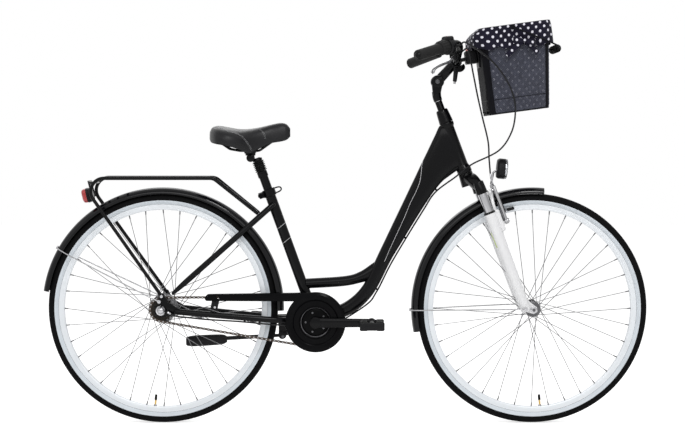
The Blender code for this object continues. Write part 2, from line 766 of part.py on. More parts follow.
def cranks():
    marker = joint("crank_spin", BRACKET)
    right, right_eye = crank_arm("crank_right", -1, 1)
    left, left_eye = crank_arm("crank_left", 1, -1)
    spindle = rod("crank_left_spindle", BRACKET - LEFT * (CHAIN_LINE - 0.006 - GAP),
                  BRACKET + LEFT * (CRANK_INNER + 0.004), SPINDLE_RADIUS)
    fuse(left, spindle)
    hang(marker, right, left, chainring(), pedal("pedal_right", -1, right_eye),
         pedal("pedal_left", 1, left_eye))


def chain_case():
    """Open-backed cover over the upper run and round the chainring, with a round window."""
    beam_low = REAR.z + 0.0262
    beam_high = REAR.z + 0.0520
    back = REAR.x + 0.122
    rise = CASE_RADIUS
    join_low = pi - asin((beam_low - BRACKET.z) / rise)
    join_high = pi / 2 + 0.12

    def shape(shrink):
        radius = rise - shrink
        points = arc((0, 0), radius, join_low + 0.02, join_low + 0.02 + 2 * pi - (join_low - join_high), 18)
        points += [(back + 0.016 - BRACKET.x + shrink, beam_high - BRACKET.z - shrink - 0.004),
                   (back - BRACKET.x + shrink, beam_low - BRACKET.z + shrink)]
        return points

    width = CASE_OUTER - CASE_INNER
    case = outline("chain_case", [shape(0)], width, BRACKET - LEFT * (CASE_INNER + width / 2))
    room = outline("chain_case_room", [shape(CASE_WALL)], width,
                   BRACKET - LEFT * (CASE_INNER + width / 2 - CASE_WALL))
    opening = rod("chain_case_window", BRACKET - LEFT * 0.03, BRACKET - LEFT * 0.08, CASE_WINDOW,
                  sides=24)
    place, _, _ = chain_run()
    lower = [place(number)[0] - LEFT * CHAIN_LINE for number in (52, 81.5)]
    passage = tube("chain_case_passage", lower, 0.0105, sides=6)
    upper = [place(number)[0] - LEFT * CHAIN_LINE for number in (20, 36)]
    mouth = tube("chain_case_mouth", upper, 0.0085, sides=6)
    cut(case, room, opening, passage, mouth)
    strut_top = Vector((REAR.x + 0.165, -CASE_INNER - 0.0035, beam_low + 0.004))
    strut_end = Vector((REAR.x + 0.156, -CASE_INNER - 0.0035, REAR.z - 0.0010))
    strut = box("chain_case_strut", (strut_top + strut_end) / 2,
                (0.022, 0.004, (strut_top - strut_end).length),
                Matrix.Rotation(radians(12), 4, "Y"), bevel=0.001)
    fuse(case, strut)
    return finish(case, BLACK_PLASTIC)


# Frame

def head_tube():
    low = FORK_LENGTH
    high = FORK_LENGTH + HEAD_TUBE_LENGTH
    bore = HEAD_TUBE_BORE
    seat = STEERER_RADIUS + GAP
    profile = [(HEAD_CUP_RADIUS - 0.001, high), (HEAD_CUP_RADIUS - 0.001, high - 0.009),
               (HEAD_TUBE_RADIUS, high - 0.016), (HEAD_TUBE_RADIUS, low + 0.026),
               (HEAD_CUP_RADIUS, low + 0.015), (HEAD_CUP_RADIUS, low), (seat, low),
               (seat, low + 0.010), (bore, low + 0.010), (bore, high - 0.010),
               (seat, high - 0.010), (seat, high)]
    return finish(turned("head_tube", profile, STEER_FOOT, STEER_UP, steps=16), BLACK_PAINT)


def head_tube_room():
    low = FORK_LENGTH
    high = FORK_LENGTH + HEAD_TUBE_LENGTH
    cup = HEAD_CUP_RADIUS + GAP
    profile = [(0, high + 0.01), (cup - 0.001, high + 0.01), (cup - 0.001, high - 0.009 - GAP),
               (HEAD_TUBE_RADIUS + GAP, high - 0.016 - GAP), (HEAD_TUBE_RADIUS + GAP, low + 0.026 + GAP),
               (cup, low + 0.015 + GAP), (cup, low - 0.01), (0, low - 0.01)]
    return turned("head_tube_room", profile, STEER_FOOT, STEER_UP, steps=16, closed=False)


def down_tube_rings(grow):
    """Rings of the down tube: low and round at the cranks, tall where it meets the head tube."""
    head = on_steering(FORK_LENGTH + HEAD_TUBE_LENGTH * 0.43)
    corner = BRACKET + Vector((0.1395, 0, 0.0515))
    path = rounded([BRACKET, corner, head], [DOWN_TUBE_BEND_RADIUS], step=radians(12))
    start, finish_run = path[-2], path[-1]
    path = path[:-1] + [start.lerp(finish_run, share) for share in (0.3, 0.55, 0.75, 0.88, 1.0)]
    total = sum((b - a).length for a, b in zip(path, path[1:]))
    rings = []
    walked = 0.0
    for index, point in enumerate(path):
        if index:
            walked += (point - path[index - 1]).length
        share = walked / total
        along = (path[min(index + 1, len(path) - 1)] - path[max(index - 1, 0)]).normalized()
        flare = max(0.0, (share - 0.80) / 0.20)
        across = Vector((along.z, 0, -along.x))
        across = across.lerp(-STEER_UP, flare ** 1.2).normalized()
        depth = (DOWN_TUBE_LOW_DEPTH + (DOWN_TUBE_MID_DEPTH - DOWN_TUBE_LOW_DEPTH) * min(1, share / 0.5)
                 + (DOWN_TUBE_TOP_DEPTH - DOWN_TUBE_MID_DEPTH) * max(0, (share - 0.5) / 0.5) ** 1.1)
        depth += (HEAD_TUBE_LENGTH * 0.86 - DOWN_TUBE_TOP_DEPTH) * flare ** 1.5
        width = DOWN_TUBE_WIDTH + (DOWN_TUBE_TOP_WIDTH - DOWN_TUBE_WIDTH) * share ** 2
        ring_points = []
        for side in range(12):
            angle = 2 * pi * side / 12
            squash = 1 / (abs(cos(angle)) ** 3 + abs(sin(angle)) ** 3) ** (1 / 3)
            ring_points.append(point + across * (depth / 2 + grow) * squash * cos(angle)
                               + LEFT * (width / 2 + grow) * squash * sin(angle))
        rings.append(ring_points)
    return rings


def down_tube():
    body = loft("down_tube", down_tube_rings(0.0))
    bracket_room = rod("down_tube_bracket_room", BRACKET - LEFT * 0.06, BRACKET + LEFT * 0.06,
                       BOTTOM_BRACKET_RADIUS + GAP, sides=16)
    cut(body, bracket_room, head_tube_room(), seat_tube_room("down_tube_seat_room"))
    return finish(body, BLACK_PAINT)


def seat_tube_room(name):
    return rod(name, on_seat(-0.002), on_seat(SEAT_TUBE_LENGTH + 0.05), SEAT_TUBE_RADIUS + GAP, sides=16)


def seat_tube():
    tube_body = turned("seat_tube", [(SEAT_TUBE_RADIUS, SEAT_TUBE_LENGTH), (SEAT_TUBE_RADIUS, 0.004),
                                     (0.004, 0.004), (0.004, SEATPOST_BOTTOM - 0.050),
                                     (SEAT_TUBE_BORE, SEATPOST_BOTTOM - 0.047),
                                     (SEAT_TUBE_BORE, SEAT_TUBE_LENGTH)],
                       BRACKET, SEAT_UP, steps=16)
    cut(tube_body, rod("seat_tube_bracket_room", BRACKET - LEFT * 0.06, BRACKET + LEFT * 0.06,
                       BOTTOM_BRACKET_RADIUS + GAP, sides=16))
    return finish(tube_body, BLACK_PAINT)


def cross_tube():
    """Short tube from the seat tube to the down tube, taller where it meets the down tube."""
    start = BRACKET + Vector((-0.0300, 0, 0.1140))
    middle = BRACKET + Vector((0.0850, 0, 0.1235))
    end = BRACKET + Vector((0.1680, 0, 0.1560))
    path = smooth([start, middle, end], 6)
    rings = []
    for index, point in enumerate(path):
        share = index / (len(path) - 1)
        along = (path[min(index + 1, 5)] - path[max(index - 1, 0)]).normalized()
        across = Vector((-along.z, 0, along.x))
        tall = CROSS_TUBE_RADIUS * (1 + 1.1 * max(0, share - 0.45) ** 1.5)
        rings.append([point + across * tall * cos(2 * pi * side / 12)
                      + LEFT * CROSS_TUBE_RADIUS * 0.92 * sin(2 * pi * side / 12) for side in range(12)])
    body = loft("cross_tube", rings)
    cut(body, seat_tube_room("cross_tube_seat_room"), loft("cross_tube_down_room", down_tube_rings(GAP)))
    return finish(body, BLACK_PAINT)


def bottom_bracket():
    half = BOTTOM_BRACKET_HALF_WIDTH
    return finish(ring("bottom_bracket", BOTTOM_BRACKET_RADIUS, SPINDLE_RADIUS + GAP, -half, half,
                       BRACKET, steps=16), BLACK_PAINT)


def dropout(name, side):
    """Plate that holds the axle in a slot, with an eyelet above it for the rack and mudguard."""
    outer = ([(-0.020, -AXLE_RADIUS - 2 * GAP), (-0.020, -0.016), (0.006, -0.021), (0.052, -0.011),
              (0.056, 0.004),
              (0.022, 0.024)] + arc((0.002, 0.043), 0.0095, radians(10), radians(185), 4)
             + [(-0.010, 0.020), (-0.020, 0.012), (-0.020, AXLE_RADIUS + 2 * GAP)]
             + arc((0, 0), AXLE_RADIUS + 2 * GAP, radians(90), radians(-90), 4))
    middle = DROPOUT_INNER + DROPOUT_THICKNESS / 2
    return outline(name, [outer], DROPOUT_THICKNESS, REAR + LEFT * side * middle)


def chainstay(name, side):
    middle = DROPOUT_INNER + DROPOUT_THICKNESS / 2
    points = [BRACKET + Vector((-0.008, side * 0.0215, 0)),
              BRACKET + Vector((-0.085, side * 0.0270, 0.0035)),
              BRACKET + Vector((-0.130, side * 0.0395, 0.0065)),
              BRACKET + Vector((-0.230, side * 0.0525, 0.0160)),
              REAR + Vector((0.046, side * (middle - 0.0012), -0.0045))]
    stay = tube(name, smooth(points, 9), CHAINSTAY_RADIUS, sides=8)
    fuse(stay, dropout(name + "_dropout", side))
    cut(stay, rod(name + "_bracket_room", BRACKET - LEFT * 0.06, BRACKET + LEFT * 0.06,
                  BOTTOM_BRACKET_RADIUS + GAP, sides=16))
    if side > 0:
        plate = box("kickstand_plate", BRACKET + Vector((-0.100, 0.0375, -0.0230)),
                    (0.030, 0.006, 0.052), bevel=0.0015)
        pin = rod("kickstand_pin", KNUCKLE - KICKSTAND_AXIS * 0.012, KNUCKLE + KICKSTAND_AXIS * 0.0075,
                  KICKSTAND_PIN_RADIUS)
        fuse(stay, plate, pin)
    return finish(stay, BLACK_PAINT)


def seatstay_path(side):
    top = on_seat(SEAT_TUBE_LENGTH - 0.0460, -0.002, side * 0.0165)
    foot = REAR + Vector((0.0150, side * (DROPOUT_INNER + DROPOUT_THICKNESS / 2 - 0.0015), 0.0330))
    run = foot - top
    points = [top, top + run * 0.10 + LEFT * side * 0.0100, top + run * 0.24 + LEFT * side * 0.0140,
              top + run * 0.60 + LEFT * side * 0.0080, foot]
    return smooth(points, 9)


def point_along(path, distance):
    """Point of a path at a distance from its start."""
    for near, far in zip(path, path[1:]):
        step = (far - near).length
        if distance <= step:
            return near.lerp(far, distance / step)
        distance -= step
    return path[-1]


def seatstay(name, side):
    """Stay from the seat tube's side to the top of the dropout, spread round the mudguard."""
    path = seatstay_path(side)
    stay = tube(name, path, SEATSTAY_RADIUS, sides=8)
    reach = DROPOUT_INNER - GAP
    cut(stay, seat_tube_room(name + "_seat_room"))
    cut(stay, box(name + "_dropout_room", REAR + Vector((0.012, side * (reach + 0.02), 0.012)),
                  (0.09, 0.04, 0.088)))
    if side > 0:
        fuse(stay, seatstay_bridge(path))
    return finish(stay, BLACK_PAINT)


def seatstay_bridge(path):
    """Rod between the stays that the rear mudguard hangs from, just over its back."""
    radius = 0.0050
    spots = [near.lerp(far, step / 40) for near, far in zip(path, path[1:]) for step in range(40)]

    def clearance(spot):
        ray = spot - REAR
        return abs(hypot(ray.x, ray.z) - rear_crown(atan2(ray.z, ray.x)) - radius - GAP)

    spot = min(spots, key=clearance)
    end = mirrored(spot) + LEFT * (SEATSTAY_RADIUS + GAP)
    return rod("seatstay_bridge", end, spot, radius, sides=8)


def seat_clamp():
    """Collar on the seat tube with two ears behind it and the quick-release skewer through them."""
    low, high = SEAT_TUBE_LENGTH - 0.019, SEAT_TUBE_LENGTH + 0.004
    middle = (low + high) / 2
    collar = rod("seat_clamp", on_seat(low), on_seat(high), 0.0200, sides=16)
    ears = box("seat_clamp_ears", on_seat(middle, -0.0245), (0.017, 0.022, high - low - 0.004), SEAT_TURN)
    post_bore = rod("seat_clamp_bore", on_seat(low - 0.02), on_seat(high + 0.02), SEATPOST_RADIUS + GAP,
                    sides=16)
    tube_bore = rod("seat_clamp_tube_bore", on_seat(low - 0.01), on_seat(SEAT_TUBE_LENGTH + GAP),
                    SEAT_TUBE_RADIUS + GAP, sides=16)
    slit = box("seat_clamp_slit", on_seat(middle, -0.0250), (0.030, 0.0025, 0.05), SEAT_TURN)
    skewer_at = on_seat(middle, -0.0270)
    skewer = rod("seat_clamp_skewer", skewer_at - LEFT * 0.020, skewer_at + LEFT * 0.0165, 0.0030, sides=8)
    nut = rod("seat_clamp_nut", skewer_at - LEFT * 0.024, skewer_at - LEFT * 0.0150, 0.0080, sides=8)
    fuse(collar, ears)
    cut(collar, slit, post_bore, tube_bore)
    fuse(collar, skewer, nut)
    return finish(collar, BLACK_PAINT)


def seat_lever():
    """Looped cam lever at the skewer's left end, lying forward along the tube."""
    height = SEAT_TUBE_LENGTH - 0.0075
    cam = on_seat(height, -0.0270, 0.0235)
    head = rod("seat_lever", cam - SEAT_UP * 0.006, cam + SEAT_UP * 0.006, 0.0065, sides=10)
    out = LEFT * 0.004
    reach = SEAT_FORWARD * 0.0255 + LEFT * 0.0045
    loop = [cam + out + SEAT_UP * 0.0025, cam + out + reach + SEAT_UP * 0.0060,
            cam + out + reach * 2 + SEAT_UP * 0.0075, cam + out + reach * 2.45 + SEAT_UP * 0.004,
            cam + out + reach * 2.45 - SEAT_UP * 0.004, cam + out + reach * 2 - SEAT_UP * 0.0075,
            cam + out + reach - SEAT_UP * 0.0060, cam + out - SEAT_UP * 0.0025]
    fuse(head, tube("seat_lever_loop", loop, 0.0022, sides=6))
    marker = joint("seat_lever_swing", cam)
    hang(marker, head)
    return finish(head, BLACK_PAINT)


# Mudguards and their stays

def mudguard(name, centre, front, back, steps):
    """Thin round-backed guard over a wheel."""
    rise = MUDGUARD_RADIUS - MUDGUARD_EDGE_RADIUS
    profile = []
    for index in range(5):
        angle = pi * index / 4
        profile.append((MUDGUARD_EDGE_RADIUS + rise * sin(angle) ** 0.8, MUDGUARD_HALF_WIDTH * cos(angle)))
    guard = turned(name, profile, centre, steps=steps, closed=False, start=-back, sweep=back - front)
    sheet = guard.modifiers.new("Sheet", "SOLIDIFY")
    sheet.thickness = MUDGUARD_SHEET
    sheet.offset = 0
    return guard


def rear_crown(angle):
    """Outer radius of the rear mudguard's faceted back at an angle."""
    return crown(angle, REAR_GUARD_FRONT, REAR_GUARD_BACK, REAR_GUARD_STEPS)


def front_crown(angle):
    return crown(angle, FRONT_GUARD_FRONT, FRONT_GUARD_BACK, FRONT_GUARD_STEPS)


def crown(angle, front, back, steps):
    return facet_radius(MUDGUARD_RADIUS, back - angle, (back - front) / steps / 2) + MUDGUARD_SHEET / 2


def guard_point(centre, angle, radius, side):
    return centre + Vector((cos(angle) * radius, side, sin(angle) * radius))


def guard_stays(name, centre, angle, back, start):
    """One wire from eyelet to eyelet, over the guard's back of the given radius."""
    edge = MUDGUARD_EDGE_RADIUS + 0.004
    half = MUDGUARD_HALF_WIDTH + 0.0045
    outer = guard_point(centre, angle, edge - 0.030, half + 0.004)
    clear = start.lerp(Vector((outer.x, start.y, outer.z)), 0.12)
    route = [start, clear, outer,
             guard_point(centre, angle, edge, half),
             guard_point(centre, angle, edge + 0.0135, half * 0.78),
             guard_point(centre, angle, back + STAY_WIRE_RADIUS + GAP, half * 0.35)]
    route += [mirrored(point) for point in reversed(route)]
    wire = tube(name, route, STAY_WIRE_RADIUS, sides=6)
    return finish(wire, SILVER)


def mudguards():
    rear = finish(mudguard("rear_mudguard", REAR, REAR_GUARD_FRONT, REAR_GUARD_BACK, REAR_GUARD_STEPS),
                  GLOSS_BLACK)
    front = finish(mudguard("front_mudguard", FRONT, FRONT_GUARD_FRONT, FRONT_GUARD_BACK, FRONT_GUARD_STEPS),
                   GLOSS_BLACK)
    outer = DROPOUT_INNER + DROPOUT_THICKNESS
    rear_start = REAR + Vector((-0.006, outer + STAY_WIRE_RADIUS + GAP, 0.026))
    rear_stays = guard_stays("rear_mudguard_stays", REAR, REAR_STAY_ANGLE, rear_crown(REAR_STAY_ANGLE),
                             rear_start)
    front_start = on_steering(0.014, LEG_OFFSET, LEG_SPACING + LEG_FOOT_RADIUS + STAY_WIRE_RADIUS + 2 * GAP)
    front_stays = guard_stays("front_mudguard_stays", FRONT, FRONT_STAY_ANGLE, front_crown(FRONT_STAY_ANGLE),
                              front_start)
    return front, front_stays


# Rack and tail light

def rack():
    """Two bent side tubes joined by cross bars, on the dropouts and the seatstays."""
    back = REAR.x + RACK_BACK
    front = REAR.x + RACK_FRONT
    foot_side = DROPOUT_INNER + DROPOUT_THICKNESS + GAP
    body = None
    for side in (-1, 1):
        foot = REAR + Vector((0.002, side * (foot_side + RACK_TUBE_RADIUS + GAP), 0.043))
        stay = seatstay_path(side)
        along = (stay[2] - stay[0]).normalized()
        nose = point_along(stay, RACK_HOLD)
        nose += Vector((along.z, 0, -along.x)) * (SEATSTAY_RADIUS + RACK_TUBE_RADIUS + 3 * GAP)
        corners = [foot, Vector((foot.x - 0.012, foot.y, foot.z + 0.018)),
                   Vector((back - 0.046, side * RACK_HALF_WIDTH, RACK_HEIGHT)),
                   Vector((front, side * (RACK_HALF_WIDTH - 0.006), RACK_HEIGHT)),
                   nose]
        run = rounded(corners, [0.012, RACK_BEND_RADIUS, 0.030], step=radians(32))
        rail = tube("rear_rack" if body is None else "rear_rack_left", run, RACK_TUBE_RADIUS, sides=6)
        pad = rod(f"rear_rack_foot{side}", foot - LEFT * side * (RACK_TUBE_RADIUS + GAP),
                  foot + LEFT * side * 0.0035, 0.0085, sides=8)
        fuse(rail, pad)
        if body is None:
            body = rail
        else:
            fuse(body, rail)
    bend = min(run, key=lambda spot: abs(spot.x - back) + abs(spot.z - RACK_HEIGHT))
    bars = [(bend.x, bend.z), (back + 0.034, RACK_HEIGHT - 0.0015), (back + 0.076, RACK_HEIGHT - 0.0015),
            (front - 0.008, RACK_HEIGHT - 0.0015)]
    for index, (along, height) in enumerate(bars):
        half = LEFT * (RACK_HALF_WIDTH - 0.001)
        spot = Vector((along, 0, height))
        fuse(body, rod(f"rear_rack_bar{index}", spot - half, spot + half, 0.0042, sides=6))
    plate = box("rear_rack_light_plate", on_light(0, 0), (LIGHT_PLATE, 0.078, 0.052), LIGHT_TURN)
    for side in (-1, 1):
        link = Vector((bend.x, side * 0.025, bend.z))
        fuse(plate, rod(f"rear_rack_link{side}", link, on_light(0, 0.018) + LEFT * side * 0.025, 0.0035,
                        sides=6))
    fuse(body, plate)
    return finish(body, BLACK_PAINT)


def on_light(behind, height):
    """Point behind the tail light's plate, along its slant."""
    middle = Vector((REAR.x + RACK_BACK - 0.0145, 0, RACK_HEIGHT - 0.033))
    return middle + LIGHT_TURN @ Vector((-behind, 0, height))


def tail_light():
    """Flat housing with a bulged red lens."""
    middle = on_light(LIGHT_PLATE / 2 + GAP + 0.0150, -0.017)
    rings = []
    for depth, grow in ((0.0150, 0.92), (0.0040, 1.0), (-0.0040, 1.0), (-0.0105, 0.93), (-0.0135, 0.70)):
        points = []
        for side in range(12):
            angle = 2 * pi * (side + 0.5) / 12
            squash = 1 / (abs(cos(angle)) ** 4 + abs(sin(angle)) ** 4) ** 0.25
            spot = Vector((depth, 0.0420 * grow * squash * cos(angle), 0.0225 * grow * squash * sin(angle)))
            points.append(middle + LIGHT_TURN @ spot)
        rings.append(points)
    return finish(loft("tail_light", rings), RED_PLASTIC)


# Rear axle and kickstand

def rear_axle():
    """Axle with nuts and the bell crank cover on the right, and the coaster brake arm on the left."""
    outer = DROPOUT_INNER + DROPOUT_THICKNESS
    axle = rod("rear_axle", REAR - LEFT * (outer + 0.012), REAR + LEFT * (outer + 0.014), AXLE_RADIUS)
    for side in (-1, 1):
        nut = rod(f"rear_axle_nut{side}", REAR + LEFT * side * (outer + GAP),
                  REAR + LEFT * side * (outer + 0.008),
                  0.0105, sides=6)
        inner_end = 0.0510 if side < 0 else 0.0620
        cone = rod(f"rear_axle_cone{side}", REAR + LEFT * side * inner_end,
                   REAR + LEFT * side * (DROPOUT_INNER - GAP), 0.0100, sides=8)
        fuse(axle, nut, cone)
    cover = turned("rear_axle_cover", [(0, -(outer + 0.006)), (0.0150, -(outer + 0.006)),
                                       (0.0150, -(outer + 0.015)), (0.0100, -(outer + 0.0235)),
                                       (0, -(outer + 0.026))], REAR, closed=False)
    arm_start = REAR + LEFT * 0.0612
    arm_end = REAR + Vector((0.118, 0.0480, -0.0335))
    arm = tube("rear_axle_brake_arm", [arm_start, arm_start + Vector((0.030, -0.0010, -0.012)), arm_end],
               0.0030,
               sides=6, widths=[1.2, 1.1, 1.0])
    disc = rod("rear_axle_brake_cone", REAR + LEFT * 0.0565, REAR + LEFT * 0.0635, 0.0150)
    fuse(axle, cover, disc, arm)
    return finish(axle, STEEL)


def kickstand():
    """Alloy leg folded back along the left chainstay, with a broad plastic foot."""
    back = Vector((-0.985, 0.055, -0.060)).normalized()
    eye = rod("kickstand", KNUCKLE - KICKSTAND_AXIS * 0.0042, KNUCKLE + KICKSTAND_AXIS * 0.0052, 0.0120)
    start = KNUCKLE + LEFT * 0.0004
    path = [start, start + back * 0.10, start + back * (KICKSTAND_LENGTH - 0.050)]
    leg = tube("kickstand_leg", path, 0.0046, sides=8, widths=[1.0, 1.35, 1.3])
    foot_end = start + back * KICKSTAND_LENGTH
    rings = []
    for share, tall, wide in ((0.0, 0.010, 0.009), (0.12, 0.016, 0.011), (0.80, 0.0175, 0.012),
                              (1.0, 0.0130, 0.009)):
        spot = start + back * (KICKSTAND_LENGTH - 0.128) + back * 0.128 * share
        rings.append([spot + UP * (tall * sin(2 * pi * side / 10) - 0.003)
                      + LEFT * wide * cos(2 * pi * side / 10) for side in range(10)])
    foot = loft("kickstand_foot", rings)
    fuse(eye, leg, foot)
    cut(eye, rod("kickstand_bore", KNUCKLE - KICKSTAND_AXIS * 0.03, KNUCKLE + KICKSTAND_AXIS * 0.03,
                 KICKSTAND_PIN_RADIUS + GAP))
    marker = joint("kickstand_swing", KNUCKLE)
    hang(marker, eye)
    return finish(eye, BLACK_PLASTIC)


# Seatpost and saddle

def seatpost():
    bottom, top = SEATPOST_BOTTOM, SEATPOST_TOP
    bore = PISTON_RADIUS + GAP
    body = turned("seatpost", [(0.0158, top), (0.0158, top - SEATPOST_COLLAR),
                               (SEATPOST_RADIUS, top - SEATPOST_COLLAR), (SEATPOST_RADIUS, bottom),
                               (bore, bottom), (bore, top)],
                  BRACKET, SEAT_UP, steps=16)
    return finish(body, BLACK_PAINT)


def bellows():
    """Ribbed rubber boot between the collar and the piston's head."""
    low, high = SEATPOST_TOP + GAP, BELLOWS_TOP - GAP
    profile = []
    steps = 2 * BELLOWS_RIBS
    for index in range(steps + 1):
        radius = 0.0190 if index % 2 else 0.0142
        profile.append((radius, high + (low - high) * index / steps))
    profile += [(PISTON_RADIUS + 0.0008, low), (PISTON_RADIUS + 0.0008, high)]
    return finish(turned("seatpost_bellows", profile, BRACKET, SEAT_UP, steps=12), RUBBER)


def piston():
    """Sliding piston with the head that carries the saddle clamp behind it."""
    body = turned("seatpost_piston", [(0, BELLOWS_TOP + 0.0100), (0.0100, BELLOWS_TOP + 0.0100),
                                      (0.0150, BELLOWS_TOP + 0.0070), (0.0150, BELLOWS_TOP),
                                      (PISTON_RADIUS, BELLOWS_TOP), (PISTON_RADIUS, SEATPOST_BOTTOM + 0.115),
                                      (0, SEATPOST_BOTTOM + 0.115)], BRACKET, SEAT_UP, steps=16, closed=False)
    barrel = rod("seatpost_barrel", SADDLE_PIVOT - LEFT * 0.019, SADDLE_PIVOT + LEFT * 0.019,
                 SADDLE_PIVOT_RADIUS, sides=16)
    fuse(body, barrel)
    return finish(body, BLACK_PAINT)


SADDLE_STATIONS = [(-0.1230, 0.30, 0.0815, 0.0560, 0.0640), (-0.1155, 0.62, 0.0925, 0.0470, 0.0600),
                   (-0.0975, 0.92, 0.0980, 0.0420, 0.0540), (-0.0675, 1.00, 0.0935, 0.0370, 0.0500),
                   (-0.0335, 0.88, 0.0880, 0.0270, 0.0480), (-0.0035, 0.60, 0.0885, 0.0155, 0.0470),
                   (0.0295, 0.38, 0.0935, 0.0300, 0.0490), (0.0605, 0.27, 0.1010, 0.0440, 0.0540),
                   (0.0905, 0.225, 0.1065, 0.0495, 0.0590), (0.1085, 0.19, 0.1030, 0.0545, 0.0640),
                   (0.1205, 0.11, 0.0900, 0.0650, 0.0700)]


def saddle_base(along):
    """Height of the saddle's hollow underside over its pivot, so far ahead of it."""
    rows = [(station[0], station[4]) for station in SADDLE_STATIONS]
    for (near, low), (far, high) in zip(rows, rows[1:]):
        if along <= far:
            return low + (high - low) * (along - near) / (far - near)
    return rows[-1][1]


def saddle_rails():
    """One bent wire under the saddle, held in the clamp's yoke."""
    level = 0.0215
    half = 0.0210
    right = [SADDLE_PIVOT + Vector(spot) for spot in (
        (-0.0980, 0.0400, saddle_base(-0.098) - 0.0035 - 2 * GAP), (-0.0620, 0.0270, 0.0270), (-0.0320,
                                                                                               half, level),
        (0.0260, half, level), (0.0520, 0.0130, 0.0400), (0.0720, 0.0075,
                                                          saddle_base(0.072) - 0.0035 - 2 * GAP))]
    run = rounded(right, [0.015, 0.015, 0.018, 0.012], step=radians(40))
    wire = run + [mirrored(point) for point in reversed(run)]
    rails = tube("saddle_rails", wire, 0.0035, sides=6)
    yoke = box("saddle_clamp_yoke", SADDLE_PIVOT + Vector((-0.0010, 0, level - 0.0005)),
               (0.0350, 0.0560, 0.0160))
    cradle = box("saddle_clamp_cradle", SADDLE_PIVOT + Vector((-0.0005, 0, 0.0100)), (0.0300, 0.0300, 0.0140))
    hollow = rod("saddle_clamp_hollow", SADDLE_PIVOT - LEFT * 0.04, SADDLE_PIVOT + LEFT * 0.04,
                 SADDLE_PIVOT_RADIUS + GAP, sides=16)
    fuse(rails, cradle, yoke)
    cut(rails, hollow)
    return finish(rails, BLACK_PAINT)


def saddle():
    """Padded saddle: wide at the back, narrow nose, side skirts and a hollow underside."""
    fine = smooth([Vector((along, wide, top)) for along, wide, top, _, _ in SADDLE_STATIONS], 15)
    under = smooth([Vector((skirt, base, 0)) for _, _, _, skirt, base in SADDLE_STATIONS], 15)
    stretch = SADDLE_LENGTH / 0.246
    rings = []
    for (along, wide, top), (skirt, base, _) in zip(fine, under):
        half = SADDLE_HALF_WIDTH * wide
        drop = top - skirt
        side = [(0.0, top), (0.42 * half, top - 0.05 * drop), (0.78 * half, top - 0.20 * drop),
                (0.97 * half, top - 0.48 * drop), (half, top - 0.78 * drop), (0.965 * half, skirt),
                (0.90 * half, skirt + 0.0005), (0.80 * half, base)]
        profile = side + [(-across, height) for across, height in reversed(side[1:])]
        rings.append([SADDLE_PIVOT + Vector((along * stretch, across, height)) for across, height in profile])
    return finish(loft("saddle", rings), VINYL)


def seat():
    post_marker = joint("seatpost_height", on_seat(SEATPOST_BOTTOM))
    hang(post_marker, seatpost(), bellows())
    spring_marker = joint("seatpost_travel", on_seat(SEATPOST_TOP))
    hang(spring_marker, piston())
    tilt_marker = joint("saddle_tilt", SADDLE_PIVOT)
    hang(tilt_marker, saddle_rails(), saddle())
    hang(spring_marker, tilt_marker)
    hang(post_marker, spring_marker)


# Fork

def fork_crown():
    """Steerer, crown and both stanchions, pressed together as one piece."""
    top = FORK_LENGTH + HEAD_TUBE_LENGTH + 0.006
    shoulder = FORK_LENGTH - GAP
    steerer = turned("fork_crown", [(STEERER_RADIUS, top), (STEERER_RADIUS, CROWN_THROAT + 0.01),
                                    (QUILL_RADIUS + 0.0004, CROWN_THROAT + 0.01),
                                    (QUILL_RADIUS + 0.0004, top)], STEER_FOOT, STEER_UP, steps=12)
    race = rod("fork_crown_race", on_steering(CROWN_THROAT), on_steering(shoulder), 0.0250, 0.0215, sides=16)
    fuse(steerer, race)
    for side in (-1, 1):
        stanchion = rod(f"fork_crown_stanchion{side}", on_steering(0.185, LEG_OFFSET, side * LEG_SPACING),
                        on_steering(CROWN_BOSS_TOP - 0.004, LEG_OFFSET, side * LEG_SPACING), STANCHION_RADIUS)
        boss = rod(f"fork_crown_boss{side}", on_steering(CROWN_BOTTOM, LEG_OFFSET, side * LEG_SPACING),
                   on_steering(CROWN_BOSS_TOP, LEG_OFFSET, side * LEG_SPACING), CROWN_BOSS_RADIUS, 0.0150)
        rings = []
        for left, ahead, low, high, half in ((0.0, 0.004, CROWN_THROAT, shoulder - 0.004, 0.0200),
                                             (0.034, 0.012, CROWN_THROAT - 0.003, shoulder - 0.012, 0.0180),
                                             (LEG_SPACING, LEG_OFFSET, CROWN_BOTTOM + 0.008,
                                              CROWN_BOSS_TOP - 0.002, 0.0130)):
            rings.append([on_steering(low, ahead - half, side * left),
                          on_steering(low, ahead + half, side * left),
                          on_steering(high - 0.004, ahead + half, side * left),
                          on_steering(high, ahead + half - 0.006, side * left),
                          on_steering(high, ahead - half + 0.006, side * left),
                          on_steering(high - 0.004, ahead - half, side * left)])
        arm = loft(f"fork_crown_arm{side}", rings)
        fuse(steerer, arm, boss, stanchion)
    return finish(steerer, BLACK_PAINT)


